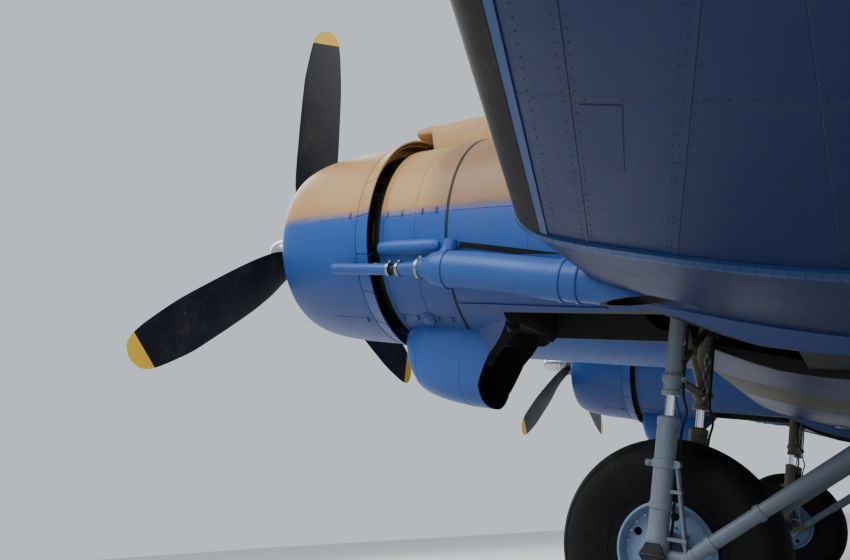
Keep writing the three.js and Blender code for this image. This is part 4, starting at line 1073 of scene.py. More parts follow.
class Rivets:
    """Rows of round rivet heads along lines on the skin, made by Geometry Nodes."""

    tree: bpy.types.NodeTree | None = None

    def __init__(self, name: str, paint: Paint, pitch: float = 26.0, radius: float = 3.6) -> None:
        """Starts with no rows.

        Args:
            name: Name of the piece.
            paint: Finish of the heads.
            pitch: Millimetres from rivet to rivet.
            radius: Radius of a head.
        """
        self.name, self.paint, self.pitch, self.radius = name, paint, pitch, radius
        self.points: list[np.ndarray] = []
        self.edges: list[tuple[int, int]] = []
        self.outward: list[np.ndarray] = []
        self.count = 0

    def row(self, points: Sequence[np.ndarray], normals: Sequence[np.ndarray]) -> None:
        """Adds one row.

        Args:
            points: Points of the skin.
            normals: The outward direction at each.
        """
        n = len(points)
        self.points.append(np.array(points))
        self.outward.append(np.array(normals))
        self.edges += [(self.count + i, self.count + i + 1) for i in range(n - 1)]
        self.count += n

    @classmethod
    def nodes(cls) -> bpy.types.NodeTree:
        """The tree that turns rows into rivet heads, built once.

        Returns:
            The Geometry Nodes group.
        """
        if cls.tree:
            return cls.tree
        tree = cls.tree = bpy.data.node_groups.new("rivet_rows", "GeometryNodeTree")
        tree.interface.new_socket(name="Geometry", in_out="INPUT", socket_type="NodeSocketGeometry")
        for name in ("Pitch", "Radius"):
            tree.interface.new_socket(name=name, in_out="INPUT", socket_type="NodeSocketFloat")
        tree.interface.new_socket(name="Finish", in_out="INPUT", socket_type="NodeSocketMaterial")
        tree.interface.new_socket(name="Geometry", in_out="OUTPUT", socket_type="NodeSocketGeometry")
        graph = Graph(tree)
        takes, gives = graph.node("NodeGroupInput"), graph.node("NodeGroupOutput")
        rows, pitch, radius, finish = [takes.outputs[i] for i in range(4)]
        curve = graph.node("GeometryNodeMeshToCurve", {0: rows}).outputs[0]
        sockets = {"Curve": curve, "Length": pitch}
        spaced = graph.node("GeometryNodeResampleCurve", sockets, mode="LENGTH").outputs[0]
        named = graph.node(
            "GeometryNodeInputNamedAttribute", {"Name": "outward"}, data_type="FLOAT_VECTOR"
        )
        sockets = {"Vector": named.outputs[0]}
        turn = graph.node("FunctionNodeAlignRotationToVector", sockets, axis="Z").outputs[0]
        sockets = {
            "Vertices": 6,
            "Radius Top": graph.times(radius, 0.55),
            "Radius Bottom": radius,
            "Depth": graph.times(radius, 0.45),
        }
        head = graph.node("GeometryNodeMeshCone", sockets).outputs[0]
        sockets = {"Points": spaced, "Instance": head, "Rotation": turn}
        heads = graph.node("GeometryNodeInstanceOnPoints", sockets).outputs[0]
        real = graph.node("GeometryNodeRealizeInstances", {0: heads}).outputs[0]
        sockets = {"Geometry": real, "Material": finish}
        dressed = graph.node("GeometryNodeSetMaterial", sockets).outputs[0]
        tree.links.new(dressed, gives.inputs[0])
        return tree

    def build(self, slot: str, body: str = "airframe") -> None:
        """Makes the rows a plain mesh on one body.

        Args:
            slot: The record's material slot. Not used.
            body: Body that they ride on.
        """
        mesh = bpy.data.meshes.new(self.name)
        mesh.from_pydata(STAND.world(np.concatenate(self.points)), self.edges, [])
        x, y, z = np.concatenate(self.outward).T
        c, s = math.cos(STAND.angle), math.sin(STAND.angle)
        world = np.stack([x, c * y + s * z, c * z - s * y], axis=1)
        outward = mesh.attributes.new("outward", "FLOAT_VECTOR", "POINT")
        outward.data.foreach_set("vector", world.ravel())
        piece = placed(self.name, mesh)
        rows = piece.modifiers.new("rows", "NODES")
        rows.node_group = self.nodes()
        values = {"Pitch": self.pitch / 1000, "Radius": self.radius / 1000, "Finish": Paints.of(self.paint)}
        for socket in rows.node_group.interface.items_tree:
            if socket.in_out == "INPUT" and socket.name in values:
                rows[socket.identifier] = values[socket.name]
        applied(piece)
        finished(piece, body)


def hull_patch(
    hull: Hull,
    stations: tuple[float, float],
    angles: tuple[float, float],
    round_corner: float = 0.25,
    steps: int = 9,
) -> tuple[np.ndarray, np.ndarray]:
    """A grid over a patch of a hull, with rounded corners.

    Args:
        hull: The hull.
        stations: First and last station.
        angles: First and last angle.
        round_corner: How far the corners draw in, as a share of the patch.
        steps: Points each way.

    Returns:
        The grid's points and normals.
    """
    grid = np.zeros((steps, steps, 3))
    normals = np.zeros_like(grid)
    for i, a in enumerate(np.linspace(-1, 1, steps)):
        for j, b in enumerate(np.linspace(-1, 1, steps)):
            draw = 1 - round_corner * (abs(a * b) ** 4)
            y = np.interp(a * draw, (-1, 1), stations)
            angle = np.interp(b * draw, (-1, 1), angles)
            grid[i, j], normals[i, j] = hull.point(y, angle), hull.normal(y, angle)
    return grid, normals


def hull_frame(
    shape: Shape,
    hull: Hull,
    stations: tuple[float, float],
    angles: tuple[float, float],
    width: float,
) -> None:
    """Adds a raised frame round a patch of a hull.

    Args:
        shape: The shape to add to.
        hull: The hull.
        stations: First and last station of the opening.
        angles: First and last angle of the opening.
        width: Width of the frame.
    """
    turn = np.linspace(0, 2 * math.pi, 33)[:-1]
    corner = 0.45  # power that squares the frame's outline up
    square = np.stack([drawn(np.cos(turn), corner), drawn(np.sin(turn), corner)], axis=1)
    (y0, y1), (a0, a1) = stations, angles
    y_mid, a_mid = (y0 + y1) / 2, (a0 + a1) / 2
    radius = np.linalg.norm(hull.point(y_mid, a_mid) - hull.point(y_mid, a0))
    grow = np.array([1 + width / (abs(y1 - y0) / 2), 1 + width / max(radius, 1)])
    rings = []
    for scale, out in ((0.97, -4), (0.97, 7), (1, 9), (grow, 9), (grow, 2)):
        ring = []
        for a, b in square * scale:
            y, angle = y_mid + a * (y1 - y0) / 2, a_mid + b * (a1 - a0) / 2
            ring.append(hull.point(y, angle) + hull.normal(y, angle) * out)
        rings.append(ring)
    shape.loft(np.array(rings), loop=True)


def hull_strap(
    shape: Shape, hull: Hull, path: Sequence[tuple[float, float]], width: float, high: float
) -> None:
    """Adds a flat strap along a path of stations and angles on a hull.

    Args:
        shape: The shape to add to.
        hull: The hull.
        path: Pairs of station and angle.
        width: Width of the strap.
        high: How far it stands out.
    """
    points = np.array([hull.point(y, a) for y, a in path])
    normals = np.array([hull.normal(y, a) for y, a in path])
    side = np.cross(np.gradient(points, axis=0), normals)
    side /= np.linalg.norm(side, axis=1)[:, None]
    grid = np.stack([points - side * width / 2, points, points + side * width / 2], axis=1)
    shape.plate(grid, np.stack([normals] * 3, axis=1), -3, high)


@dataclass
class Fuselage:
    """The fuselage with its nose, tail cone, glazing, windows, cargo doors and small fittings."""

    hull: Hull = Hull(
        (
            (-2560, 60, 560, 680, 2), (-2500, 280, 390, 870, 2), (-2370, 470, 240, 1050, 2),
            (-2120, 690, 70, 1280, 2), (-1780, 880, -80, 1470, 2.1), (-1120, 1030, -220, 1950, 2.15),
            (-600, 1080, -270, 2060, 2.2), (200, 1130, -320, 2150, 2.2), (1100, 1200, -345, 2210, 2.2),
            (2000, 1235, -360, 2240, 2.2),
            (7000, 1235, -360, 2240, 2.2), (9000, 1190, -250, 2225, 2.2), (11000, 990, 60, 2150, 2.15),
            (13000, 690, 560, 2030, 2.1), (14600, 420, 990, 1900, 2.05), (15700, 240, 1290, 1800, 2),
            (16250, 130, 1450, 1740, 2), (16480, 40, 1540, 1650, 2),
        )
    )
    sides: int = 84
    nose: tuple[float, float] = (-2560, -2140.3)
    barrel: tuple[float, float] = (-2140, 15620)
    tail: tuple[float, float] = (15620.3, 16480)
    canopy: tuple[float, float, float] = (-1790, -620, 1420)  # front, back and foot
    canopy_gap: float = 0.3  # between the roof and the skin round it
    panes: tuple[tuple[tuple[float, float], tuple[float, float]], ...] = (
        # first and last station, then the first and last angle from the top line
        ((-1700, -1310), (0.06, 0.5)), ((-1640, -1310), (0.57, 0.92)),
        ((-1255, -990), (0.58, 1.02)), ((-930, -680), (0.58, 1.05)),
    )
    dome: tuple[float, float, float] = (1500, 2130, 290)  # station, foot's height and radius
    door: tuple[float, float, float, float, float] = (  # front, middle, back, low, high
        8000, 9250, 10200, 60, 1740,
    )
    wall: float = 45
    gap: float = 6  # round the doors
    meeting: float = 20  # from the middle line of the doorway to each leaf
    hinge: tuple[float, float, float] = (13, 45, 8)  # pin out of the skin, half a knuckle, radius
    knuckle_step: float = 90.3
    hold: float = -700  # the far side of the hold inside the doorway
    window: tuple[float, float, float] = (150, 175, 1180)  # half length, half height and level
    windows: tuple[float, ...] = (1150, 2250, 3150, 4050, 4950, 5850, 6750)

    def build(self) -> None:
        """Builds every piece of the fuselage."""
        self.skins()
        self.glazing()
        self.side_windows()
        self.doors()
        self.inside()
        self.fittings()
        self.rivets()

    def lofted(self, places: Iterable[float], grow: float = 0.0) -> Shape:
        """A length of the fuselage.

        Args:
            places: Its stations.
            grow: Distance out of the skin.

        Returns:
            The shape.
        """
        return Shape().loft(self.hull.rings(places, self.sides, grow))

    def skins(self) -> None:
        """Builds the skin in its three lengths, open at the canopy and the doorway."""
        front, back, foot = np.array(self.canopy) + self.canopy_gap * np.array((-1, 1, -1))
        room = Shape().box((-2000, front, foot), (2000, back, 4000))
        first, _, last, low, high = self.door
        doorway = Shape().box((self.hold, first, low), (1600, last, high))
        piece_of(
            self.lofted(np.linspace(*self.barrel, 130)), "fuselage_skin", [Paint.BODY],
            replaces=["fuselage"], cuts=[(room, Paint.DARK), (doorway, Paint.LINING)],
        )
        shares = np.linspace(0, 1, 30) ** 1.6  # closer together towards the tip
        for name, tip, end in (("nose", *self.nose), ("tail_cone", *self.tail[::-1])):
            node = "nose_cap" if name == "nose" else name
            shape = self.lofted(tip + (end - tip) * shares)
            piece_of(shape, f"{name}_skin", [Paint.BODY], replaces=[node])

    def glazing(self) -> None:
        """Builds the flight deck's roof, panes and frames, and the sighting dome."""
        front, back, foot = self.canopy
        piece_of(
            self.lofted(np.linspace(front - 200, back + 200, 40)), "flight_deck_roof", [Paint.BODY],
            replaces=["cockpit_canopy"],
            keep=(Shape().box((-2000, front, foot), (2000, back, 4000)), Paint.DARK),
        )
        panes, frames = Shape(), Shape()
        for sign in SIGNS:
            for stations, (a0, a1) in self.panes:
                angles = (math.pi / 2 - sign * a0, math.pi / 2 - sign * a1)
                grid, normals = hull_patch(self.hull, stations, angles, 0.12)
                panes.plate(grid, normals, -6, 3)
                hull_frame(frames, self.hull, stations, angles, 16)
        piece_of(panes, "flight_deck_panes", [Paint.GLASS])
        piece_of(frames, "flight_deck_frames", [Paint.BODY])
        station, top, radius = self.dome
        profile = [(radius * math.cos(t), radius * math.sin(t)) for t in np.linspace(0, math.pi / 2, 18)]
        dome = Shape().lathe(profile, (0, station, top), 64, UP)
        piece_of(dome, "sighting_dome_glass", [Paint.GLASS], replaces=["sighting_dome"])
        profile = [(266, 96), (294, 96), (298, 112), (282, 122), (266, 118)]
        collar = Shape().lathe(profile, (0, station, top), 64, UP, closed=True)
        for along in (np.array(ACROSS), np.array((0, 1, 0))):
            arc = [
                (0, station, top) + (radius - 1) * (along * math.cos(t) + np.array(UP) * math.sin(t))
                for t in np.linspace(0.4, math.pi - 0.4, 25)
            ]
            collar.tube(arc, 7, 8)
        piece_of(collar, "sighting_dome_frame", [Paint.BODY])

    def side_windows(self) -> None:
        """Builds the row of small cabin windows on both sides."""
        panes, frames = Shape(), Shape()
        half, tall, level = self.window
        for side in SIGNS:
            for y in self.windows:
                angles = tuple(self.hull.angle_at(y, level + up, side) for up in (-tall, tall))
                grid, normals = hull_patch(self.hull, (y - half, y + half), angles, 0.22)
                panes.plate(grid, normals, -5, 3)
                hull_frame(frames, self.hull, (y - half, y + half), angles, 22)
        piece_of(panes, "cabin_panes", [Paint.GLASS])
        piece_of(frames, "cabin_window_frames", [Paint.BODY])

    def knuckle(self, shape: Shape, at: float, z: float, aft: int) -> None:
        """Adds one knuckle of a door hinge with its leaf.

        Args:
            shape: The shape to add to.
            at: The hinge's station.
            z: Height of its middle.
            aft: 1 where its leaf lies aft of the pin, -1 ahead.
        """
        out, half, radius = self.hinge
        x = self.hull.row(at)[1] + out
        shape.bar((x, at, z), (0, 0, half), radius, 20)
        near, far = sorted((radius * aft, 60 * aft))
        shape.block((x, at, z), (-34, near, -42), (3, far, 42))

    def doors(self) -> None:
        """Builds the two leaves of the cargo door, each on its own hinges."""
        first, middle, last, low, high = self.door
        centre_z = (low + high) / 2
        stretch = np.linspace(first - 300, last + 300, 40)
        for name, start, end, at, aft in (
            ("front", first + self.gap, middle - self.meeting, first, 1),
            ("rear", middle + self.meeting, last - self.gap, last, -1),
        ):
            room = Shape().box((600, start, low + self.gap), (1700, end, high - self.gap))
            piece_of(
                self.lofted(stretch), f"cargo_leaf_{name}", [Paint.BODY],
                f"cargo_door_{name}", [f"cargo_door_{name}"], bevel=2, keep=(room, Paint.LINING),
                cuts=[(self.lofted(stretch, -self.wall), Paint.LINING)],
            )
            extras = Shape()
            self.knuckle(extras, at, centre_z, aft)
            for level in (low + 330, high - 330):
                y0, y1 = sorted((at + aft * 90, (end if aft > 0 else start) - aft * 90))
                path = [(y, self.hull.angle_at(y, level)) for y in np.linspace(y0, y1, 12)]
                hull_strap(extras, self.hull, path, 36, 9)
            if name == "front":
                y = middle - 120
                foot = self.hull.point(y, self.hull.angle_at(y, centre_z))
                extras.tube([foot - (4, 0, 0), foot + (26, 0, 0)], 17, 20)
                extras.tube([foot + (22, 0, 0), foot + (24, -150, -6)], (11, 8), 12)
            piece_of(
                extras, f"cargo_fittings_{name}", [Paint.BODY], f"cargo_door_{name}",
                bevel=1.5,
            )
        knuckles = Shape()
        for at, aft in ((first, -1), (last, 1)):
            for step in (-self.knuckle_step, self.knuckle_step):
                self.knuckle(knuckles, at, centre_z + step, aft)
        piece_of(knuckles, "door_post_hinges", [Paint.BODY], bevel=1.5)

    def inside(self) -> None:
        """Builds the frames and floor seen through the open doorway."""
        first, _, last, low, high = self.door
        wall, front, back = self.hold + 1, first + 1, last - 1
        ribs = Shape()
        for y in np.arange(first + 150, last - 60, 420):
            ribs.box((wall, y, low + 1), (wall + 44, y + 40, high - 1))
            ribs.box((wall, y, high - 45), (1000, y + 40, high - 1))
        for z in np.arange(low + 350, high - 150, 320):
            ribs.box((wall, front, z), (wall + 25, back, z + 26))
        for x in np.arange(self.hold + 80, 900, 210):
            ribs.box((x, front, low + 1), (x + 60, back, low + 12))
        piece_of(ribs, "hold_frames", [Paint.LINING], bevel=3)

    def fittings(self) -> None:
        """Builds the pitot masts and the belly masts."""
        small = Shape()
        for x in (420, -420):
            top, foot = np.array([x, -150, -60]), np.array([x, -190, -600])
            small.tube([top, (top + foot) / 2, foot], (26, 21, 16), 24)
            small.tube([foot + (0, aft, 0) for aft in (30, -150, -240)], (15, 12, 9), 20)
        piece_of(
            small, "pitot_masts", [Paint.STEEL],
            replaces=[f"pitot_mast_{name}" for name in SIDES],
        )
        rail = Shape()
        for y in (4200, 7300):
            rail.tube([(0, y, -250), (0, y + 25, -480)], (16, 8), 16)
        piece_of(rail, "belly_masts", [Paint.STEEL])

    def rivets(self) -> None:
        """Rows of rivets round the nose, the canopy, the doorway and the frames near the wing."""
        rows = Rivets("fuselage_rivets", Paint.BODY, 70, 5)
        turns, places = np.linspace(0, 2 * math.pi, 90), np.linspace(-500, 15200, 120)
        mid = math.pi / 2
        paths = [
            [(y, t) for t in turns] for y in (-2120, -2160, -1810, -590, 400, 1400, 7900, 10300, 15600)
        ]
        for turn in (0.12, 0.9, mid, math.pi - 0.9, math.pi - 0.12, -0.9, -mid, math.pi + 0.9):
            paths.append([(y, turn) for y in places])
        for path in paths:
            points = [self.hull.point(y, turn, 1) for y, turn in path]
            rows.row(points, [self.hull.normal(y, turn) for y, turn in path])
        rows.build("skin_paint")


@dataclass(frozen=True)
class Section:
    """A wing section: its trailing edge, the direction across it, chord, thickness and incidence."""

    trail: tuple[float, float, float]
    up: tuple[float, float, float]
    chord: float
    thickness: float
    incidence: float

    def axes(self) -> tuple[np.ndarray, np.ndarray]:
        """The section's own directions.

        Returns:
            Forward along the chord, and upward across it.
        """
        angle = math.radians(self.incidence)
        up, aft = np.array(self.up), np.array([0.0, 1.0, 0.0])
        return up * math.sin(angle) - aft * math.cos(angle), up * math.cos(angle) + aft * math.sin(angle)

    def point(self, u: float, side: float, out: float = 0.0) -> np.ndarray:
        """A point of the section.

        Args:
            u: Share of the chord behind the leading edge.
            side: 1 above, -1 below, 0 on the camber line.
            out: Distance out of the skin.

        Returns:
            The point, in the aircraft's frame.
        """
        forward, upward = self.axes()
        u = min(max(u, 0.0), 1.0)
        root = aerofoil(u)
        height, place = 0.02, 0.15
        if u < place:
            camber = height / place**2 * (2 * place * u - u * u)
        else:
            camber = height / (1 - place) ** 2 * (1 - 2 * place + 2 * place * u - u * u)
        v = camber + side * 5 * self.thickness * root
        point = np.array(self.trail) + forward * (1 - u) * self.chord + upward * v * self.chord
        if out:
            near = self.point(max(u - 0.004, 0), side), self.point(min(u + 0.004, 1), side)
            normal = unit(np.cross(near[1] - near[0], np.cross(forward, upward)))
            point = point + normal * out * (1 if normal @ upward * side > 0 else -1)
        return point

    def outward(self, u: float, side: float) -> np.ndarray:
        """The outward direction of the skin at a point."""
        return (self.point(u, side, 10) - self.point(u, side)) / 10

    def ring(self, steps: int) -> np.ndarray:
        """The whole outline, from the trailing edge over the top and back.

        Args:
            steps: Pieces from edge to edge.

        Returns:
            The ring of points.
        """
        shares = (1 + np.cos(np.pi * np.arange(steps + 1) / steps)) / 2
        over = [self.point(u, 1) for u in shares]
        under = [self.point(u, -1) for u in shares[::-1][1:-1]]
        return np.array(over + under)


def aerofoil(u: float, close: float = 0.1036) -> float:
    """Half thickness of a common aerofoil at a share of its chord, for a thickness of a fifth.

    Args:
        u: Share of the chord, from 0 to 1.
        close: The last term, which closes the trailing edge.

    Returns:
        The half thickness, as a share of the chord.
    """
    return 0.2969 * math.sqrt(u) - 0.126 * u - 0.3516 * u**2 + 0.2843 * u**3 - close * u**4


FLAP_CHORD = 720.0


def flap_slab(
    sections: Sequence[Section], out: float, back: float, low: float, high: float, trail_high: float
) -> Shape:
    """A wedge under the rear of the wing: the flap, or the room that it needs.

    Args:
        sections: The wing's sections at its two ends.
        out: How far it reaches ahead of the flap's leading edge.
        back: How far it reaches behind the trailing edge.
        low: Its underside, from the wing's lower skin.
        high: Its top at the front.
        trail_high: Its top at the back.

    Returns:
        The shape.
    """
    rings = []
    for section in sections:
        up = np.array(section.up)
        lead = section.point(1 - FLAP_CHORD / section.chord, -1) - (0, out, 0)
        trail = section.point(1, 0) + (0, back, 0)
        rings.append([lead + up * low, lead + up * high, trail + up * trail_high, trail + up * low])
    return Shape().loft(np.array(rings))


def flap_room(sections: Sequence[Section]) -> tuple[Shape, Paint]:
    """The room that is cut out of the wing for a flap, and the finish of its faces."""
    return flap_slab(sections, 18, 60, -300, 18, 9.6), Paint.LINING


def mirrored_pair(
    shape: Shape, name: str, paint: Paint, body: str = "airframe"
) -> None:
    """Makes one piece to port and its mirror image to starboard.

    Args:
        shape: The port shape.
        name: Name of the piece, to which the side is added.
        paint: Its finish.
        body: Body that both ride on.
    """
    for side_name, side in SIDES.items():
        piece_of(shape.on_side(side), f"{name}_{side_name}", [paint], body)


@dataclass
class Wing:
    """The centre section and outer panels, with flaps, ailerons, boots and attach strips."""

    joint: float = 4400
    belly: float = 650  # half the width of the olive stretch under the fuselage
    chord: float = 4318
    thickness: float = 0.15
    incidence: float = 3.8
    lead: tuple[float, float] = (2425, -350)
    length: float = 10218
    taper: float = 0.3
    tip_thickness: float = 0.065
    tip_incidence: float = 1.5
    rise: float = math.radians(6.35)
    aileron: tuple[float, float, float] = (4600, 9450, 500)  # first and last span, chord
    flap_half: float = 4350
    flap_spans: tuple[float, float] = (60, 4560)
    gap: float = 6
    steps: int = 30
    tip: tuple[tuple[float, float, float], ...] = (  # span, and how far both edges draw in
        (9450, 0, 0), (9800, 60, 60), (10030, 190, 180), (10160, 380, 330), (10218, 600, 470),
    )
    spans: tuple[float, float] = (60, 9300)  # what the seams take up
    jack: tuple[float, float] = (2000, 3300)
    seams: tuple[tuple[float, float], ...] = (  # share of the chord and height
        (0.076, 2.0), (0.153, 2.6), (0.33, 2.0), (0.55, 2.0),
    )
    plates: tuple[tuple[tuple[float, float], tuple[float, float]], ...] = (  # spans, shares
        ((640, 980), (0.083, 0.112)), ((1500, 1780), (0.2, 0.25)), ((2600, 2900), (0.1, 0.14)),
        ((3900, 4150), (0.3, 0.36)), ((5600, 5900), (0.12, 0.17)),
    )

    def centre(self, x: float) -> Section:
        """The section of the level centre.

        Args:
            x: Place across the plane.

        Returns:
            The section.
        """
        angle = math.radians(self.incidence)
        y, z = self.lead[0] + self.chord * math.cos(angle), self.lead[1] - self.chord * math.sin(angle)
        return Section((x, y, z), UP, self.chord, self.thickness, self.incidence)

    def panel(self, span: float, lead_in: float = 0, trail_in: float = 0) -> Section:
        """The section of the port outer panel at a place along its span.

        Args:
            span: Distance out from the joint.
            lead_in: How far the leading edge draws in.
            trail_in: How far the trailing edge draws in.

        Returns:
            The section.
        """
        share = span / self.length
        root = np.array(self.centre(self.joint).trail)
        trail = root + (math.cos(self.rise) * span, -trail_in, math.sin(self.rise) * span)
        return Section(
            tuple(trail), (-math.sin(self.rise), 0, math.cos(self.rise)),
            self.chord - self.taper * span - lead_in - trail_in,
            self.thickness + (self.tip_thickness - self.thickness) * share,
            self.incidence + (self.tip_incidence - self.incidence) * share,
        )

    def build(self) -> None:
        """Builds every piece of the wing."""
        self.middle()
        self.panels()
        self.flaps()
        self.ailerons()
        self.boots()
        self.joint_strips()
        self.details()
        self.rivets()

    def middle(self) -> None:
        """Builds the centre section with its wells, flap room and exhaust troughs."""
        shape = Shape()
        for first, last, slot in (
            (-self.joint, -self.belly, 0), (-self.belly, self.belly, 1), (self.belly, self.joint, 0),
        ):
            rings = np.array([self.centre(x).ring(self.steps) for x in np.linspace(first, last, 19)])
            shape.loft(rings, slot, caps=False)
            if slot == 0:
                end = rings[0 if first < 0 else -1]
                shape.add(end, [tuple(range(len(end)))])
        ends = [self.centre(x) for x in (-self.flap_half - self.gap, self.flap_half + self.gap)]
        cutters = [flap_room(ends)]
        pipe = [*PIPE[1:], (3000, -705, 90)]
        trough = Shape().tube([(PIPE_X, y, z) for y, z, _ in pipe], [r + 14 for _, _, r in pipe], 32)
        for side in SIGNS:
            cutters += [(well, Paint.LINING) for well in wells(side)]
            cutters.append((trough.on_side(side), Paint.WING))
        piece_of(
            shape, "wing_centre", [Paint.WING, Paint.BELLY],
            replaces=["wing_centre_section"], cuts=cutters,
        )
        pads = Shape()
        x, y = self.jack
        under = self.centre(0).point((y - self.lead[0]) / self.chord, -1)[2]
        for side in SIGNS:
            profile = [(0, 60), (58, 60), (60, -16), (56, -18), (0, -18)]
            pads.lathe(profile, (side * x, y, under), 40, UP)
        piece_of(pads, "jack_pads", [Paint.STEEL])

    def panels(self) -> None:
        """Builds both outer panels with room for their flaps and ailerons."""
        start, *_, end = [row[0] for row in self.tip]
        rings = [self.panel(span).ring(self.steps) for span in [0.6, *np.linspace(250, 9300, 38)]]
        fine = [*np.linspace(start, 10100, 10), 10140, 10180, 10205, end]
        rings += [self.panel(*row).ring(self.steps) for row in smooth_rows(self.tip, fine)]
        whole = Shape().loft(np.array(rings))
        ends = [self.panel(self.flap_spans[0] - self.gap), self.panel(self.flap_spans[1] + self.gap)]
        flap, flap_paint = flap_room(ends)
        corners = []
        up = np.array(self.panel(0).up)
        for span in self.aileron[:2]:
            hinge, radius = self.hinge(span)
            front = -radius - self.gap
            places = ((front, -300), (front, 300), (900, 300), (900, -300))
            corners.append([hinge + (0, aft, 0) + up * rise for aft, rise in places])
        room = Shape().loft(np.array(corners))
        for name, side in SIDES.items():
            cuts = [(flap.on_side(side), flap_paint), (room.on_side(side), Paint.LINING)]
            piece_of(
                whole.on_side(side), f"outer_panel_{name}", [Paint.WING],
                replaces=[f"outer_wing_{name}"], cuts=cuts,
            )

    def hinge(self, span: float) -> tuple[np.ndarray, float]:
        """Where the aileron turns.

        Args:
            span: Distance out from the joint.

        Returns:
            The hinge point and the radius of the aileron's nose.
        """
        section = self.panel(span)
        u = 1 - self.aileron[2] / section.chord
        middle = section.point(u, 0)
        return middle, 0.92 * float(np.linalg.norm(section.point(u, 1) - middle))

    def flaps(self) -> None:
        """Builds the split flaps, with a pin along the front."""
        sets = [("centre", [self.centre(x) for x in (-self.flap_half, self.flap_half)], 1)]
        sets += [(f"outer_{n}", [self.panel(s) for s in self.flap_spans], k) for n, k in SIDES.items()]
        for name, ends, side in sets:
            shape = flap_slab(ends, 0, 0, 0, 12, 3.6)
            pins = [s.point(1 - FLAP_CHORD / s.chord, -1) + np.array(s.up) * 3 + (0, 3, 0) for s in ends]
            shape.tube(pins, 3, 12)
            piece_of(
                shape.on_side(side), f"flap_{name}_leaf", [Paint.WING],
                f"flap_{name}", [f"flap_{name}"],
            )

    def ailerons(self) -> None:
        """Builds the fabric-covered ailerons with their ribs."""
        rings = []
        spans = np.linspace(self.aileron[0] + self.gap, self.aileron[1] - self.gap, 97)
        for i, span in enumerate(spans):
            section = self.panel(span)
            trail, up = np.array(section.trail), np.array(section.up)
            rings.append(control_ring(*self.hinge(span), trail, up, i % RIB_EVERY == 0))
        shape = Shape().loft(np.array(rings))
        for name, side in SIDES.items():
            piece_of(
                shape.on_side(side), f"aileron_{name}_skin", [Paint.FABRIC],
                f"aileron_{name}", [f"aileron_{name}"],
            )

    def sheet(
        self, spans: Iterable[float], places: Sequence[tuple[float, int]]
    ) -> tuple[np.ndarray, np.ndarray]:
        """A grid over the skin of the outer panel, or of the centre where a span is below 0.

        Args:
            spans: Places along the span, out from the joint.
            places: Pairs of chord share and side, 1 above and -1 below.

        Returns:
            The grid's points and outward directions.
        """
        sections = [self.panel(span) if span > 0 else self.centre(self.joint + span) for span in spans]
        grid = np.array([[section.point(u, side) for u, side in places] for section in sections])
        normals = np.array([[section.outward(u, side) for u, side in places] for section in sections])
        return grid, normals

    def boots(self) -> None:
        """Builds the rubber boots along the leading edges, with their fastening strips."""
        near = (0.0005, 0.003, 0.008, 0.015)
        over = [(u, 1) for u in (0.036, 0.025, *near[::-1])]
        under = [(u, -1) for u in (*near, 0.022, 0.03)]
        boot, strips = Shape(), Shape()
        boot.plate(*self.sheet(np.linspace(56, 9300, 48), over + under), -2, 7)
        for first, last, side in ((0.03, 0.0375, -1), (0.036, 0.043, 1)):
            places = [(u, side) for u in (first, (first + last) / 2, last)]
            strips.plate(*self.sheet(np.linspace(56, 9300, 48), places), -2, 5)
        mirrored_pair(boot, "wing_boot", Paint.BOOT)
        mirrored_pair(strips, "boot_strips", Paint.STRIP)

    def joint_strips(self) -> None:
        """Builds the raised attach strip that wraps the joint between centre and outer panel."""
        shares = [*np.linspace(0.82, 0.1, 22), 0.07, 0.045, 0.028, 0.015, 0.006, 0.0015]
        wrap = [(u, 1) for u in shares] + [(u, -1) for u in shares[::-1]]
        strip = Shape()
        for first, last, high in ((-46, 6, 9), (6, 52, 14)):
            strip.plate(*self.sheet((first, (first + last) / 2, last), wrap), -3, high)
        mirrored_pair(strip, "wing_joint_strip", Paint.STRIP)

    def details(self) -> None:
        """Builds the access panels, lapped seams and navigation lamps."""
        plates = Shape()
        for (s0, s1), (u0, u1) in self.plates:
            places = [(u, -1) for u in np.linspace(u0, u1, 5)]
            plates.plate(*self.sheet(np.linspace(s0, s1, 5), places), -2, 2.2)
        for u, high in self.seams:
            places = [(v, -1) for v in (u - 0.0015, u, u + 0.0015)]
            plates.plate(*self.sheet(np.linspace(*self.spans, 30), places), -2, high)
        mirrored_pair(plates, "wing_plates", Paint.WING)
        spot = self.panel(9900, 110, 110).point(0.02, 0)
        profile = [(0, -46), (20, -40), (34, -22), (38, 0), (36, 40), (0, 60)]
        lamp = Shape().lathe(profile, spot, 32, (0.3, 1, 0))
        for (name, side), paint in zip(SIDES.items(), (Paint.LAMP_RED, Paint.LAMP_GREEN)):
            piece_of(lamp.on_side(side), f"wing_lamp_{name}", [paint])

    def rivets(self) -> None:
        """Rows of rivets along the spars and ribs of both skins, and on the attach strips."""
        spar = (0.047, 0.072, 0.081, 0.145, 0.149, 0.157, 0.161, 0.325, 0.336, 0.545, 0.556)
        for name, side in SIDES.items():
            rows = Rivets(f"wing_rivets_{name}", Paint.HEADS, 50, 3.2)
            flip = np.array([side, 1, 1])
            for k in (-1, 1):
                for u in spar if k < 0 else spar[::2]:
                    points, outward = self.sheet(np.linspace(70, 9300, 40), [(u, k)])
                    rows.row(points[:, 0] * flip, outward[:, 0] * flip)
                for span in (75, 700, 1000, 1500, 2100, 2700, 3300, 3900):
                    points, outward = self.sheet([span], [(u, k) for u in np.linspace(0.05, 0.78, 40)])
                    rows.row(points[0] * flip, outward[0] * flip)
            for span, lift in ((-38, 9), (-20, 9), (16, 14), (40, 14)):
                points, outward = self.sheet([span], [(u, -1) for u in np.linspace(0.004, 0.82, 60)])
                rows.row((points[0] + outward[0] * lift) * flip, outward[0] * flip)
            rows.build("underside_paint")


RIB_EVERY = 6  # outlines from rib to rib on a fabric-covered surface
FABRIC_SAG = 2.4


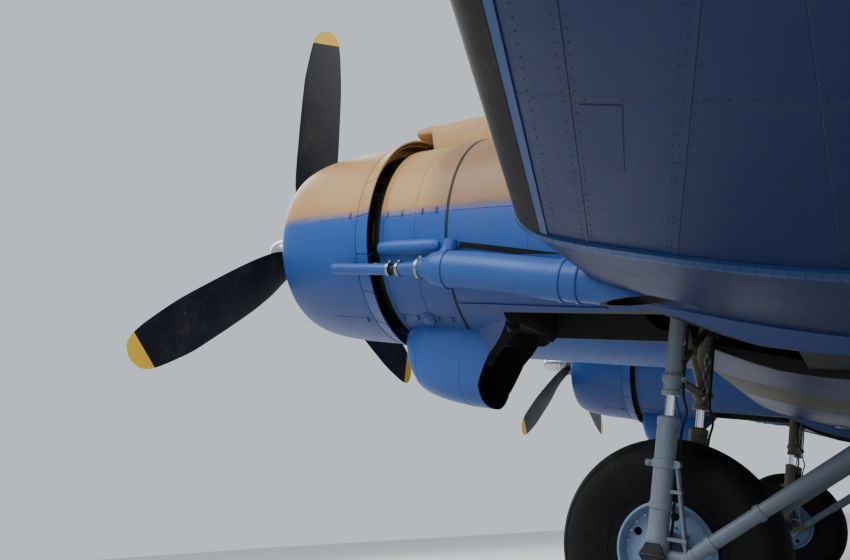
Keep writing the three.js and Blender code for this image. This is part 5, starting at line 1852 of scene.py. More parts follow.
def control_ring(
    hinge: np.ndarray, radius: float, trail: np.ndarray, up: np.ndarray, rib: bool
) -> np.ndarray:
    """The outline of a control surface: a round nose, and fabric sides to the trailing edge.

    Args:
        hinge: Hinge point, in the middle of the nose.
        radius: Radius of the nose.
        trail: Trailing edge.
        up: Direction across the surface.
        rib: True on a rib, where the fabric stands proud.

    Returns:
        The ring of points.
    """
    aft = unit(trail - hinge)
    length = float(np.linalg.norm(trail - hinge))
    ring = [
        hinge + aft * radius * math.cos(a) + up * radius * math.sin(a)
        for a in np.linspace(math.pi / 2, 3 * math.pi / 2, 17)
    ]
    sides = []
    for share in np.linspace(0.06, 0.94, 10):
        half = radius + (4 - radius) * share
        sag = 0 if rib else FABRIC_SAG * math.sin(math.pi * min(share * 1.4, 1))
        sides.append((share * length, max(half - sag, 2.5)))
    under = [hinge + aft * a - up * h for a, h in sides]
    over = [hinge + aft * a + up * h for a, h in sides[::-1]]
    return np.array(ring + under + [trail - up * 4, trail + up * 4] + over)


DEEP = -1500  # well under the plane, where a cutter ends
WELL_HALF = 405.0
WELLS = ((3350, -60), (4250, -690))  # back and roof of the leg well and of the strut well
LOWER_EDGE = (  # the nacelle's lower edge over the wheel, station and height
    (1850, -545), (2740, -550), (2880, -600), (3040, -655), (3200, -700), (3400, -725), (3700, -740),
    (4100, -765), (4500, -820), (4800, -900),
)


def wells(side: int) -> list[Shape]:
    """The two wells under the nacelle of one side.

    Args:
        side: 1 to port, -1 to starboard.

    Returns:
        A box for each.
    """
    rooms = []
    for back, roof in WELLS:
        low, high = (ENGINE_X - WELL_HALF, LOWER_EDGE[0][0], DEEP), (ENGINE_X + WELL_HALF, back, roof)
        rooms.append(Shape().box(low, high).on_side(side))
    return rooms


def prism(outline: Sequence[tuple[float, float]], middle: float, half: float) -> Shape:
    """A slab across the plane.

    Args:
        outline: Its side view, as pairs of station and height.
        middle: Where its middle lies.
        half: Half its width.

    Returns:
        The shape.
    """
    return Shape().loft(np.array([[(middle + x, y, z) for y, z in outline] for x in (-half, half)]))


def thickness_at(share: float, thickness: float) -> float:
    """Half thickness of a tail section at a share of its chord."""
    return 5 * thickness * aerofoil(min(max(share, 0.0), 1.0))


@dataclass
class Tail:
    """The fin, rudder, tailplanes and elevators."""

    fin: tuple[tuple[float, ...], ...] = (  # height, lead, trail and thickness
        (1680, 12550, 16180, 250), (2300, 13080, 16330, 235), (3000, 13660, 16400, 200),
        (3700, 14200, 16380, 160), (4250, 14640, 16250, 120), (4560, 14980, 16050, 80),
        (4690, 15300, 15800, 40),
    )
    plane: tuple[tuple[float, ...], ...] = (  # place across, lead, trail and thickness
        (0, 13500, 16080, 300), (330, 13620, 16080, 280), (1500, 14000, 16060, 220),
        (2800, 14390, 16000, 160), (3600, 14680, 15900, 110), (3950, 14930, 15760, 70),
        (4065, 15150, 15600, 36),
    )
    level: float = 1560
    fin_hinge: float = 15450
    plane_hinge: float = 15330
    rudder: tuple[float, float] = (1850, 4520)
    elevator: tuple[float, float] = (420, 3820)
    gap: float = 6
    nose: float = 0.92
    tube: float = 25
    steps: int = 26

    def upright(self, half: float, y: float, z: float) -> tuple[float, float, float]:
        """A point of the fin, half its thickness off the middle."""
        return half, y, z

    def flat(self, half: float, y: float, x: float) -> tuple[float, float, float]:
        """A point of the tailplane, half its thickness off the middle."""
        return x, y, self.level + half

    def skin_point(self, row: Sequence[float], u: float, sign: int, point: Callable) -> tuple:
        """A point of a tail surface's skin.

        Args:
            row: Its place, lead, trail and thickness there.
            u: Share of the chord.
            sign: 1 or -1 for its two sides, 0 for the middle.
            point: Turns half thickness, station and place into a point.

        Returns:
            The point.
        """
        place, lead, trail, thickness = row
        return point(sign * (thickness_at(u, thickness) + 1), lead + u * (trail - lead), place)

    def rings(
        self, table: Sequence[Sequence[float]], places: Iterable[float], point: Callable
    ) -> np.ndarray:
        """Section outlines along a tail surface.

        Args:
            table: Its rows of place, lead, trail and thickness.
            places: Where the outlines stand.
            point: Turns half thickness, station and place into a point.

        Returns:
            The rings.
        """
        rings = []
        shares = (1 - np.cos(np.linspace(0, math.pi, self.steps))) / 2
        for row in smooth_rows(table, places):
            ring = [self.skin_point(row, u, 1, point) for u in shares]
            ring += [self.skin_point(row, u, -1, point) for u in shares[::-1]]
            rings.append(ring)
        return np.array(rings)

    @staticmethod
    def lift(point: Callable) -> np.ndarray:
        """The direction in which a surface's thickness is measured."""
        return np.subtract(point(1, 0, 0), point(0, 0, 0))

    def radius(self, row: Sequence[float], hinge: float) -> float:
        """Radius of a control surface's nose."""
        _, lead, trail, thickness = row
        return self.nose * thickness_at((hinge - lead) / (trail - lead), thickness)

    def room(
        self,
        table: Sequence[Sequence[float]],
        span: tuple[float, float],
        start: float,
        hinge: float,
        point: Callable,
    ) -> tuple[Shape, Paint]:
        """The space that a control surface needs.

        Args:
            table: The fixed surface's rows.
            span: First and last place of the control surface.
            start: Where the space starts.
            hinge: Station of the hinge.
            point: Turns half thickness, station and place into a point.

        Returns:
            The space, and the finish of its faces.
        """
        rings = []
        for place in [start, *np.linspace(*span, 9)[:-1], span[1] + self.gap]:
            row = smooth_rows(table, [max(place, span[0])])[0]
            front = hinge - self.radius(row, hinge) - self.gap - 2
            corners = ((-400, front), (400, front), (400, hinge + 1500), (-400, hinge + 1500))
            rings.append([point(half, y, place) for half, y in corners])
        return Shape().loft(np.array(rings)), Paint.LINING

    def surface(
        self, table: Sequence[Sequence[float]], span: tuple[float, float], hinge: float, point: Callable
    ) -> Shape:
        """A fabric-covered control surface with its ribs showing.

        Args:
            table: The fixed surface's rows.
            span: Its first and last place.
            hinge: Station of the hinge.
            point: Turns half thickness, station and place into a point.

        Returns:
            The shape.
        """
        rings = []
        for i, row in enumerate(smooth_rows(table, np.linspace(*span, 73))):
            foot, trail = [np.array(point(0, y, row[0])) for y in (hinge, row[2])]
            rib = i % RIB_EVERY == 0
            rings.append(control_ring(foot, self.radius(row, hinge), trail, self.lift(point), rib))
        return Shape().loft(np.array(rings))

    def build(self) -> None:
        """Builds the tail."""
        z0, z1 = self.fin[0][0], self.fin[-1][0]
        levels = [*np.linspace(z0, z1 - 130, 40), *np.linspace(z1 - 110, z1, 9)]
        piece_of(
            Shape().loft(self.rings(self.fin, levels, self.upright)), "fin_skin", [Paint.FIN],
            replaces=["fin"],
            cuts=[self.room(self.fin, self.rudder, 1500, self.fin_hinge, self.upright)],
        )
        rudder = self.surface(self.fin, self.rudder, self.fin_hinge, self.upright)
        rudder.tube([(0, self.fin_hinge, z) for z in (self.level, self.rudder[0] + 50)], self.tube, 24)
        rudder.merged(self.tab(2700, self.fin_hinge + 560, self.upright))
        piece_of(rudder, "rudder_skin", [Paint.FABRIC], "rudder", ["rudder"])
        x1 = self.plane[-1][0]
        places = [10, *np.linspace(330, x1 - 130, 36), *np.linspace(x1 - 110, x1, 9)]
        whole = Shape().loft(self.rings(self.plane, places, self.flat))
        room, paint = self.room(self.plane, self.elevator, 0, self.plane_hinge, self.flat)
        for name, side in SIDES.items():
            piece_of(
                whole.on_side(side), f"tailplane_skin_{name}", [Paint.WING],
                replaces=[f"tailplane_{name}"], cuts=[(room.on_side(side), paint)],
            )
        half = self.surface(self.plane, self.elevator, self.plane_hinge, self.flat)
        both = Shape().merged(half).merged(half.on_side(-1))
        both.bar((0, self.plane_hinge, self.level), (self.elevator[0] + 60, 0, 0), self.tube, 24)
        piece_of(both, "elevator_skins", [Paint.FABRIC], "elevators", ["elevators"])
        self.boots()
        self.rivets()

    def tab(self, place: float, y: float, point: Callable) -> Shape:
        """The raised rod and horns of a trim tab.

        Args:
            place: Where it lies along the surface.
            y: Station of its rear end.
            point: Turns half thickness, station and place into a point.

        Returns:
            The shape.
        """
        lift = self.lift(point)
        ends = [np.array(point(0, y - 260, place)) + lift * 70, np.array(point(0, y, place)) + lift * 60]
        shape = Shape().tube(ends, 7, 10)
        for end in ends:
            shape.tube([end - lift * 55, end + lift * 8], (12, 8), 12)
        return shape

    def boots(self) -> None:
        """Builds the rubber boots on the fin and tailplanes."""
        shares = (0.045, 0.03, 0.018, 0.009, 0.003)
        wrap = [*[(u, 1) for u in shares], (0.0, 0), *[(u, -1) for u in shares[::-1]]]
        for name, table, span, point, sides in (
            ("fin_boot", self.fin, (2350, 4500), self.upright, (1,)),
            ("tailplane_boot", self.plane, (430, 3850), self.flat, SIGNS),
        ):
            rows = smooth_rows(table, np.linspace(*span, 30))
            grid = np.array([[self.skin_point(row, u, sign, point) for u, sign in wrap] for row in rows])
            normals = np.cross(np.gradient(grid, axis=0), np.gradient(grid, axis=1))
            normals /= np.linalg.norm(normals, axis=2)[:, :, None]
            normals *= -np.sign(normals[15, 5, 1])
            boot, whole = Shape().plate(grid, normals, -2, 6), Shape()
            for side in sides:
                whole.merged(boot.on_side(side))
            piece_of(whole, name, [Paint.BOOT])

    def rivets(self) -> None:
        """Rows of rivets on the fin and tailplanes."""
        rows = Rivets("tail_rivets", Paint.FIN, 56, 4)
        for table, span, point, sides in (
            (self.fin, (2300, 4500), self.upright, (1,)), (self.plane, (430, 3850), self.flat, SIGNS),
        ):
            stations = smooth_rows(table, np.linspace(*span, 30))
            for u in (0.06, 0.2, 0.21, 0.38, 0.39, 0.54):
                for sign in SIGNS:
                    line = np.array([self.skin_point(row, u, sign, point) for row in stations])
                    outward = np.tile(sign * self.lift(point), (len(line), 1))
                    for side in sides:
                        rows.row(line * (side, 1, 1), outward * (side, 1, 1))
        rows.build("skin_paint")


PIPE_X = ENGINE_X + 690  # the tail pipe's own line
PIPE = (  # station, height and radius of the exhaust's shroud
    (1470, -346, 62), (1530, -353, 96), (1600, -360, 105), (1760, -370, 107), (2310, -435, 108),
    (2400, -445, 106), (2500, -458, 102), (2600, -490, 98), (2700, -540, 95), (2900, -650, 93),
)
BORE = (  # the same of the open end inside it
    (2510, -461, 88), (2600, -490, 86), (2700, -540, 84), (2950, -678, 82),
)


def curved(points: Sequence[Sequence[float]], steps: int = 6) -> list[tuple[float, ...]]:
    """A smooth curve through points, for profiles and pipes.

    Args:
        points: Points that it passes through.
        steps: Pieces between two points.

    Returns:
        The points of the curve.
    """
    p = np.asarray(points, float)
    p = np.vstack([2 * p[0] - p[1], p, 2 * p[-1] - p[-2]])
    made = []
    for i in range(1, len(p) - 2):
        for t in np.arange(steps) / steps:
            straight = p[i + 1] - p[i - 1]
            bend = 2 * p[i - 1] - 5 * p[i] + 4 * p[i + 1] - p[i + 2]
            turn = 3 * p[i] - 3 * p[i + 1] + p[i + 2] - p[i - 1]
            made.append(tuple((2 * p[i] + straight * t + bend * t**2 + turn * t**3) / 2))
    return made + [tuple(p[-2])]


@dataclass
class Nacelle:
    """One engine nacelle: cowls, engine, exhaust, oil cooler duct and carburettor scoop.

    Everything is built on the port side and mirrored for starboard.
    """

    name: str
    side: int
    hull: Hull = Hull(
        (
            (1556, 668, -668, 668, 2), (1800, 673, -673, 668, 2.1), (2300, 676, -690, 668, 2.15),
            (3000, 668, -830, 610, 2.2), (3700, 630, -890, 480, 2.15), (4300, 560, -890, 290, 2.1),
            (5000, 420, -840, 20, 2.1), (5500, 270, -765, -190, 2.05), (5900, 90, -700, -400, 2),
        ),
        ENGINE_X,
    )
    cooler: Hull = Hull(
        (
            (1075, 190, -800, -560, 2.2), (1130, 235, -930, -500, 2.4), (1240, 262, -1010, -450, 2.6),
            (1450, 270, -1052, -450, 2.6), (1690, 258, -1068, -450, 2.5), (1835, 225, -1040, -450, 2.4),
        ),
        ENGINE_X,
    )
    scoop: Hull = Hull(
        (
            (945, 172, 742, 812, 4), (1060, 176, 742, 830, 4), (1110, 180, 560, 838, 4),
            (1500, 185, 560, 866, 3.5), (1900, 170, 560, 850, 3), (2250, 120, 560, 765, 2.5),
            (2520, 50, 580, 690, 2),
        ),
        ENGINE_X,
    )
    mouth: Hull = Hull(((930, 160, 752, 800, 4), (1180, 164, 752, 828, 4)), ENGINE_X)
    cooler_rear: tuple[tuple[float, float], ...] = (  # its side view, station and height
        (1660, -1120), (1640, -1030), (1635, -950), (1670, -850), (1705, -760), (1775, -680),
        (1835, -600),
    )
    firewall: float = 1556
    cowl_radii: tuple[tuple[float, float], ...] = (  # station and radius
        (410, 638), (600, 660), (915, 676), (1069, 676), (1070, 640), (1556, 668),
    )
    cowl_seams: tuple[float, ...] = (0.02, math.pi - 0.02, -1.05, math.pi + 1.05, 1.2, math.pi - 1.2)
    skin_seams: tuple[float, ...] = (0.02, math.pi - 0.02, -0.4, math.pi + 0.4)
    gills: int = 18
    cylinder_rows: tuple[tuple[float, float], ...] = ((520, 0), (740, 0.5))  # station and turn
    cylinders: int = 7
    segments: int = 128

    def piece(
        self,
        shape: Shape,
        name: str,
        paints: Sequence[Paint],
        slot: str = "skin_paint",
        node: str = "",
        bevel: float = 0.0,
        cuts: Sequence[tuple[Shape, Paint]] = (),
    ) -> None:
        """Makes a piece of this nacelle, mirrored where it is the starboard one.

        Args:
            shape: The port shape.
            name: Name of the piece, to which the side is added.
            paints: The finish of each material slot.
            slot: The record's material slot. Not used.
            node: CAD node that it stands for, if any.
            bevel: Width in millimetres of a bevel on its sharp edges.
            cuts: Port shapes that are cut out, with the finish of the cut faces.
        """
        piece_of(
            shape.on_side(self.side), f"{name}_{self.name}", paints,
            replaces=[f"{node}_{self.name}"] if node else [], bevel=bevel,
            cuts=[(cut.on_side(self.side), paint) for cut, paint in cuts],
        )

    def build(self) -> None:
        """Builds the nacelle."""
        self.skin()
        self.cowls()
        self.engine()
        self.gap_pipes()
        self.exhaust()
        self.heater()
        self.oil_cooler()
        self.carburettor_scoop()
        self.latches()
        self.rivets()

    def around(self, angle: float, y: float, radius: float) -> np.ndarray:
        """A point round the thrust line.

        Args:
            angle: Its angle, from the outboard side up over the top.
            y: Station.
            radius: Distance from the thrust line.

        Returns:
            The point.
        """
        return np.array([ENGINE_X + radius * math.cos(angle), y, radius * math.sin(angle)])

    def out(self, angle: float) -> np.ndarray:
        """The direction away from the thrust line at an angle."""
        return np.array([math.cos(angle), 0, math.sin(angle)])

    def turned_ring(self, profile: Sequence[tuple[float, float]]) -> Shape:
        """A ring round the thrust line, from pairs of radius and station."""
        return Shape().lathe(profile, (ENGINE_X, 0, 0), self.segments, closed=True)

    def shell(self, y: float) -> float:
        """Radius of the cowls at a station."""
        return float(np.interp(y, *np.array(self.cowl_radii).T))

    def above_edge(self, y: float, count: int) -> np.ndarray:
        """Angles round the nacelle, from its lower edge over the top to the other edge.

        Args:
            y: Station.
            count: How many.

        Returns:
            The angles.
        """
        edge = np.interp(y, *np.array(LOWER_EDGE).T) + 25
        first = self.hull.angle_at(y, float(edge))
        return np.linspace(first, math.pi - first, count)

    def skin(self) -> None:
        """Builds the skin behind the firewall with its wells, straps and front seal."""
        front = LOWER_EDGE[0][0]
        shape = Shape().loft(
            self.hull.rings([*np.linspace(self.firewall, 5500, 70), *np.linspace(5530, 5900, 14)], 96)
        )
        rooms = [*wells(1), prism([*LOWER_EDGE, (4800, DEEP), (front, DEEP)], ENGINE_X, 800)]
        for half, start, top in ((255, 1690, -560), (404, 1834, -585)):
            rooms.append(Shape().box((ENGINE_X - half, start, DEEP), (ENGINE_X + half, front + 20, top)))
        cuts = [(room, Paint.LINING) for room in rooms]
        self.piece(shape, "nacelle_skin", [Paint.COWL], node="nacelle", cuts=cuts)
        seal = self.turned_ring([(664, 1549), (670.5, 1549), (671, 1563), (664, 1563)])
        self.piece(seal, "firewall_seal", [Paint.HOSE])
        straps = Shape()
        for y in (2050, 2900, 3750, 4700):
            hull_strap(straps, self.hull, [(y, a) for a in self.above_edge(y, 60)], 34, 1.6)
        for angle in self.skin_seams:
            hull_strap(straps, self.hull, [(y, angle) for y in np.linspace(1580, 5400, 40)], 30, 2.2)
        self.piece(straps, "nacelle_straps", [Paint.COWL])

    def cowls(self) -> None:
        """Builds the nose cowl, its skirt of gills, the accessory cowl, its bands and bulges."""
        paint = [Paint.COWL]
        lip = curved([(490, 265), (500, 230), (530, 210), (577, 230), (612, 300), (638, 410), (660, 600)])
        inside = curved([(600, 390), (532, 300), (502, 278), (490, 265)], 3)[:-1]
        profile = [*lip, (676, 915), (618, 915), (618, 440), *inside]
        self.piece(self.turned_ring(profile), "nose_cowl", paint, node="cowl_ring")
        gills = Shape()
        section = ((676, 916), (694, 970), (719, 1029), (709, 1029), (686, 970), (667, 916))
        step, slit = 2 * math.pi / self.gills, 0.012
        for i in range(self.gills):
            turns = np.linspace(step * (i + slit), step * (i + 1 - slit), 9)
            gills.loft(np.array([[self.around(t, y, r) for r, y in section] for t in turns]))
        gills.merged(self.turned_ring([(660, 915.5), (665, 915.5), (688, 1005), (684, 1005)]))
        self.piece(gills, "cowl_gills", paint, node="cowl_skirt")
        shell = [(630, 1072), (637, 1070), (640, 1073), (668, 1548), (668, 1555.7), (658, 1555.7)]
        self.piece(self.turned_ring(shell), "accessory_cowl_skin", paint, node="accessory_cowl")
        bands = Shape()
        for y0, y1 in ((893, 914), (1071, 1100), (1296, 1328), (1520, 1546)):
            r0, r1 = self.shell(y0), self.shell(y1)
            profile = [(r0 - 3, y0), (r0 + 2.2, y0), (r1 + 2.2, y1), (r1 - 3, y1)]
            bands.merged(self.turned_ring(profile))
        for angle in self.cowl_seams:
            across = [angle + w / 670 for w in (-19, 0, 19)]
            for y0, y1 in ((600, 914), (1072, 1548)):
                places = np.linspace(y0, y1, 12)
                grid = np.array([[self.around(a, y, self.shell(y)) for a in across] for y in places])
                bands.plate(grid, np.array([[self.out(a) for a in across]] * len(places)), -3, 2.2)
        self.piece(bands, "cowl_bands", paint)
        bulge = Shape()
        middle = np.array([3138, 1310, -578])
        dish = [(48 * math.cos(t), 2 + 24 * math.sin(t)) for t in np.linspace(0, math.pi / 2, 9)]
        out = middle - (ENGINE_X, middle[1], 0)
        bulge.lathe([(0, -20), (62, -20), (60, 2), *dish], middle, 40, out)
        runs = ((1074, 36), (1084, 46), (1200, 48), (1400, 48), (1480, 45), (1512, 30))
        bulge.tube([self.around(-0.31, y, self.shell(y) - 6) for y, _ in runs], [r for _, r in runs], 24)
        self.piece(bulge, "cowl_blister", paint)

    def engine(self) -> None:
        """Builds the two-row radial engine: cases, finned cylinders, pushrod tubes and ignition ring."""
        nose = curved([(105, 146), (150, 160), (222, 215), (262, 300), (296, 400), (302, 520)], 5)
        case = [(0, 146), *nose, (302, 900), (252, 980), (250, 1555.6), (0, 1555.6)]
        cases = Shape().lathe(case, (ENGINE_X, 0, 0), 64)
        ring = [(262, 296), (276, 296), (276, 316), (262, 316)]
        cases.lathe(ring, (ENGINE_X, 0, 0), 64, closed=True)
        for turn in np.linspace(0, 2 * math.pi, 17)[:-1]:
            foot = self.around(turn, 288, 268)
            cases.tube([foot, foot + (0, 14, 0)], 7, 6)
        leads, finned = Shape(), Shape()
        leads.tube([self.around(a, 398, 322) for a in np.linspace(0, 2 * math.pi, 49)], 15, 10)
        for y, turn in self.cylinder_rows:
            for i in range(self.cylinders):
                angle = 2 * math.pi * (i + turn) / self.cylinders
                self.cylinder(y, angle, cases, finned, leads)
        self.piece(cases, "engine_cases", [Paint.ENGINE], "engine_metal", "engine")
        self.piece(finned, "finned_cylinders", [Paint.FINS], "engine_metal")
        self.piece(leads, "ignition_leads", [Paint.HOSE], "engine_metal")

    def cylinder(self, y: float, angle: float, cases: Shape, finned: Shape, leads: Shape) -> None:
        """Adds one cylinder with its rocker boxes, pushrod tubes and ignition lead.

        Args:
            y: Station of its row.
            angle: Its angle, from the top.
            cases: The shape that takes its boxes and tubes.
            finned: The shape that takes its barrel and head.
            leads: The shape that takes its lead.
        """
        along = np.array([math.sin(angle), 0, math.cos(angle)])
        side = np.array([math.cos(angle), 0, -math.sin(angle)])
        centre = np.array([ENGINE_X, y, 0.0])
        profile = [(0, 250), (62, 250)]
        for at in np.arange(312, 470, 15):
            profile += [(60, at), (76, at + 3), (76, at + 6), (60, at + 9)]
        for at in np.arange(478, 572, 17):
            wide = 78 - max(at - 540, 0) * 0.2
            profile += [(58, at), (wide, at + 3), (wide, at + 8), (58, at + 11)]
        profile += [(52, 580), (44, 603), (0, 606)]
        finned.lathe(profile, centre, 22, along)
        for across in (-46, 46):
            box = centre + along * 574 + side * across
            cases.tube([box - (0, 58, 0), box + (0, 40, 0)], (22, 26), 14)
            if y == self.cylinder_rows[0][0]:
                foot = self.around(0, 352, 0) + along * 290 + side * across * 0.6
                cases.tube([foot, box - (0, 62, 0)], 9, 10)
        plug = centre + along * 520 - (0, 74, 0)
        ring = self.around(0, 398, 0) + along * 322
        leads.tube(curved([ring, ring + along * 60 - (0, 30, 0), plug - (0, 22, 0), plug], 4), 5, 6)

    def gap_pipes(self) -> None:
        """Builds the exhaust collector and the tubes seen in the gap behind the gills."""
        ring = Shape().tube(
            [self.around(a, 1030, 575) for a in np.linspace(-0.4, 2 * math.pi - 0.4, 73)], 46, 20
        )
        for i in range(self.cylinders):
            angle = 2 * math.pi * (i + 0.5) / self.cylinders
            pipe = ((0, 800, 520), (0, 900, 585), (0.05, 985, 585), (0.12, 1030, 575))
            ring.tube(curved([self.around(angle + a, y, r) for a, y, r in pipe], 4), 30, 14)
        self.piece(ring, "exhaust_collector", [Paint.BURNT], "exhaust_steel")
        tubes = Shape()
        for i in range(8):
            foot = 2 * math.pi * (i + 0.5) / 8
            for lean in (0.2, -0.2):
                tubes.tube([self.around(foot + lean, 985, 330), self.around(foot, 1545, 560)], 16, 12)
        for a, r in ((0.25, 610), (-0.3, 600), (-0.75, 612), (0.9, 600), (2.4, 606), (3.6, 600)):
            bends = ((0, 930, 0), (0.04, 1100, 0), (0.1, 1240, -60))
            tubes.tube([self.around(a + turn, y, r + inward) for turn, y, inward in bends], 12, 10)
        self.piece(tubes, "engine_mount_tubes", [Paint.HOSE], "engine_metal")

    def exhaust(self) -> None:
        """Builds the shrouded exhaust pipe with its clamps, brackets and bent open end, the shroud's
        flange, and a dark strip of painted shadow above the shroud.
        """
        path, inside = np.array(curved(PIPE, 4)), np.array(curved(BORE, 4))
        outer, bore = [
            Shape().tube([(PIPE_X, y, z) for y, z, _ in line], line[:, 2], 40) for line in (path, inside)
        ]
        level = prism([(2480, -565), (3000, -512), (3000, -900), (2480, -900)], PIPE_X, 300)
        self.piece(
            outer, "exhaust_pipe", [Paint.EXHAUST], "exhaust_steel", "exhaust",
            cuts=[(bore, Paint.BURNT), (level, Paint.BURNT)],
        )
        clamps = Shape()
        for y, half in ((1612, 13), (2306, 13), (2396, 13)):
            ahead, z, behind = np.interp([y - half, y, y + half], path[:, 0], path[:, 1])
            r = float(np.interp(y, path[:, 0], path[:, 2]))
            middle = np.array([PIPE_X, y, z])
            profile = [(r - 4, -half), (r + 6, -half), (r + 8, 0), (r + 6, half), (r - 4, half)]
            clamps.lathe(profile, middle, 48, (0, 2 * half, behind - ahead), closed=True)
            lug = middle + (0, 0, r + 14)
            clamps.block(lug, (-16, -half, -12), (16, half, 12)).bar(lug, (34, 0, 0), 5, 8)
        for y in (1700, 2340):
            z = float(np.interp(y, path[:, 0], path[:, 1]))
            clamps.tube([(3299, y, z + 16), (PIPE_X - 60, y, z + 10)], (17, 14), 14)
            clamps.tube([(3330, y + 60, z + 150), (PIPE_X - 50, y + 10, z + 60)], 12, 12)
        self.piece(clamps, "exhaust_clamps", [Paint.EXHAUST], "exhaust_steel")
        for name, paint, (y0, z0), (y1, z1), wide, high in (
            # The first strip is painted shadow: a dark band laid on the nacelle skin where the gap between
            # the shroud and the nacelle is in shade.
            ("shroud_painted_shadow", Paint.DARK, (1645, -201), (2427, -312), 32, 2),
            ("shroud_flange", Paint.COWL, (1575, -502), (2475, -534), 14, 9),
        ):
            strip = Shape()
            places = np.linspace(y0, y1, 24)
            path = [(y, self.hull.angle_at(y, np.interp(y, (y0, y1), (z0, z1)))) for y in places]
            hull_strap(strip, self.hull, path, wide, high)
            self.piece(strip, name, [paint])

    def heater(self) -> None:
        """Builds the heater's intake tube, hose joint and T-shaped manifold."""
        tube = Shape()
        x = PIPE_X
        mouth = [(x, 805, -337), (x, 812, -337.2), (x, 1225, -351)]
        tube.tube(mouth, (33, 35, 35), 32, inner=5)
        for run in (  # station, height and radius
            ((1272, -351, 34), (1280, -351, 36), (1400, -348, 38), (1424, -347, 44)),
            ((1425, -347, 54), (1432, -347, 58), (1480, -347, 62), (1500, -349, 66)),
        ):
            tube.tube([(x, y, z) for y, z, _ in run], [r for *_, r in run], 32)
        rise = curved([(x, 1560, -330), (x, 1605, -250), (x, 1612, -190)], 4)
        tube.tube(rise, (60, 56, 50, 46, 43, 41, 41, 41, 41), 28)
        branch = ((0, 1500, -347), (-70, 1510, -335), (-130, 1520, -300), (-190, 1530, -250))
        tube.tube(curved([(x + inward, y, z) for inward, y, z in branch], 4), 40, 24)
        self.piece(tube, "heater_tube", [Paint.EXHAUST], "exhaust_steel")
        neck = ((1205, -350.5, 30), (1232, -351, 25), (1265, -351, 25), (1290, -351, 30))
        joint = Shape().tube([(x, y, z) for y, z, _ in neck], [r for *_, r in neck], 32, slot=1)
        for y, radius in ((1218, 35), (1284, 36), (1428, 55)):
            ring = [(radius - 2, -9), (radius + 6, -9), (radius + 7, 0), (radius + 6, 9), (radius - 2, 9)]
            joint.lathe(ring, (x, y, -350), 36, closed=True)
            joint.block((x, y, radius), (-10, -8, -346), (10, 8, -332))
        self.piece(joint, "heater_clamps", [Paint.STEEL, Paint.HOSE], "exhaust_steel")
        stays = Shape()
        for y, foot in ((900, -0.42), (1120, -0.45), (1380, -0.44)):
            stays.tube([self.around(foot, y, self.shell(y) - 6), (x, y, -322)], 9, 10)
            stays.block((x, y, 0), (-12, -12, -325), (12, 12, -310))
        self.piece(stays, "heater_stays", [Paint.BLUE], "exhaust_steel")

    def oil_cooler(self) -> None:
        """Builds the oil cooler duct, open at both ends, with its core and its bands."""
        duct = Shape().loft(self.cooler.rings(np.linspace(1075, 1835, 40), 72))
        bore = Shape().loft(self.cooler.rings(np.linspace(1060, 1850, 40), 72, -14))
        rear = prism([*self.cooler_rear, (2300, -600), (2300, -1120)], ENGINE_X, 400)
        self.piece(
            duct, "cooler_duct", [Paint.BLUE], "underside_paint", "oil_cooler_duct",
            cuts=[(bore, Paint.DARK), (rear, Paint.DARK)],
        )
        half_wide, half_tall, middle, power, inset = 264, 301, -751, 2.6, 24  # the duct at the core
        core = Shape()
        for z in np.arange(-1010, -560, 26):
            half = half_wide * (1 - abs((z - middle) / half_tall) ** power) ** (1 / power) - inset
            core.box((ENGINE_X - half, 1400, z), (ENGINE_X + half, 1470, z + 9))
        for x in np.arange(-207, 208, 46):
            low = middle - half_tall * (1 - abs(x / half_wide) ** power) ** (1 / power) + inset
            core.box((ENGINE_X + x - 3, 1405, low), (ENGINE_X + x + 3, 1465, -560))
        core.loft(self.cooler.rings((1436, 1446), 48, -20))
        self.piece(core, "cooler_core", [Paint.DARK], "engine_metal")
        trim = Shape()
        for y in (1180, 1500):
            path = [(y, a) for a in np.linspace(math.pi + 0.15, 2 * math.pi - 0.15, 30)]
            hull_strap(trim, self.cooler, path, 24, 2)
        self.piece(trim, "cooler_bands", [Paint.BLUE], "underside_paint")
        self.cooler_fairing(rear)

    def cooler_fairing(self, rear: Shape) -> None:
        """Builds the hollow-sided fairing that joins the duct's outboard side to the cowl.

        Args:
            rear: What is cut off behind the duct's end.
        """
        rings = []
        for y in np.linspace(1140, 1850, 30):
            radius = self.shell(y) if y < self.firewall else 671
            angle = float(np.interp(y, (1140, 1600, 1850), (-1.29, -1.2, -0.944)))
            top = self.around(angle, y, radius - 3)
            z = float(np.interp(y, (1140, 1850), (-700, -870)))
            low = self.cooler.point(y, self.cooler.angle_at(y, z)) - (4, 0, 0)
            side = [
                top + (low - top) * t - np.array([14, 0, 0]) * math.sin(math.pi * t)
                for t in np.linspace(0, 1, 9)
            ]
            rings.append([*side, (ENGINE_X + 150, y, z), (ENGINE_X + 150, y, -560)])
        end = Shape().box((ENGINE_X, 1838, -1000), (ENGINE_X + 500, 1900, -400))
        self.piece(
            Shape().loft(np.array(rings)), "cooler_fairing", [Paint.COWL], "underside_paint",
            cuts=[(rear, Paint.DARK), (end, Paint.DARK)],
        )

    def carburettor_scoop(self) -> None:
        """Builds the air scoop on top, with its open mouth."""
        places = [*np.linspace(945, 1110, 12), *np.linspace(1140, 2520, 40)]
        mouth = Shape().loft(self.mouth.rings((930, 1050, 1180), 64))
        self.piece(
            Shape().loft(self.scoop.rings(places, 64)), "scoop_skin", [Paint.TAN], "tan_paint",
            "carburettor_scoop", bevel=4, cuts=[(mouth, Paint.DARK)],
        )
        trim = Shape()
        hull_strap(trim, self.scoop, [(1105, a) for a in np.linspace(0.1, math.pi - 0.1, 30)], 26, 2)
        self.piece(trim, "scoop_band", [Paint.TAN], "tan_paint")

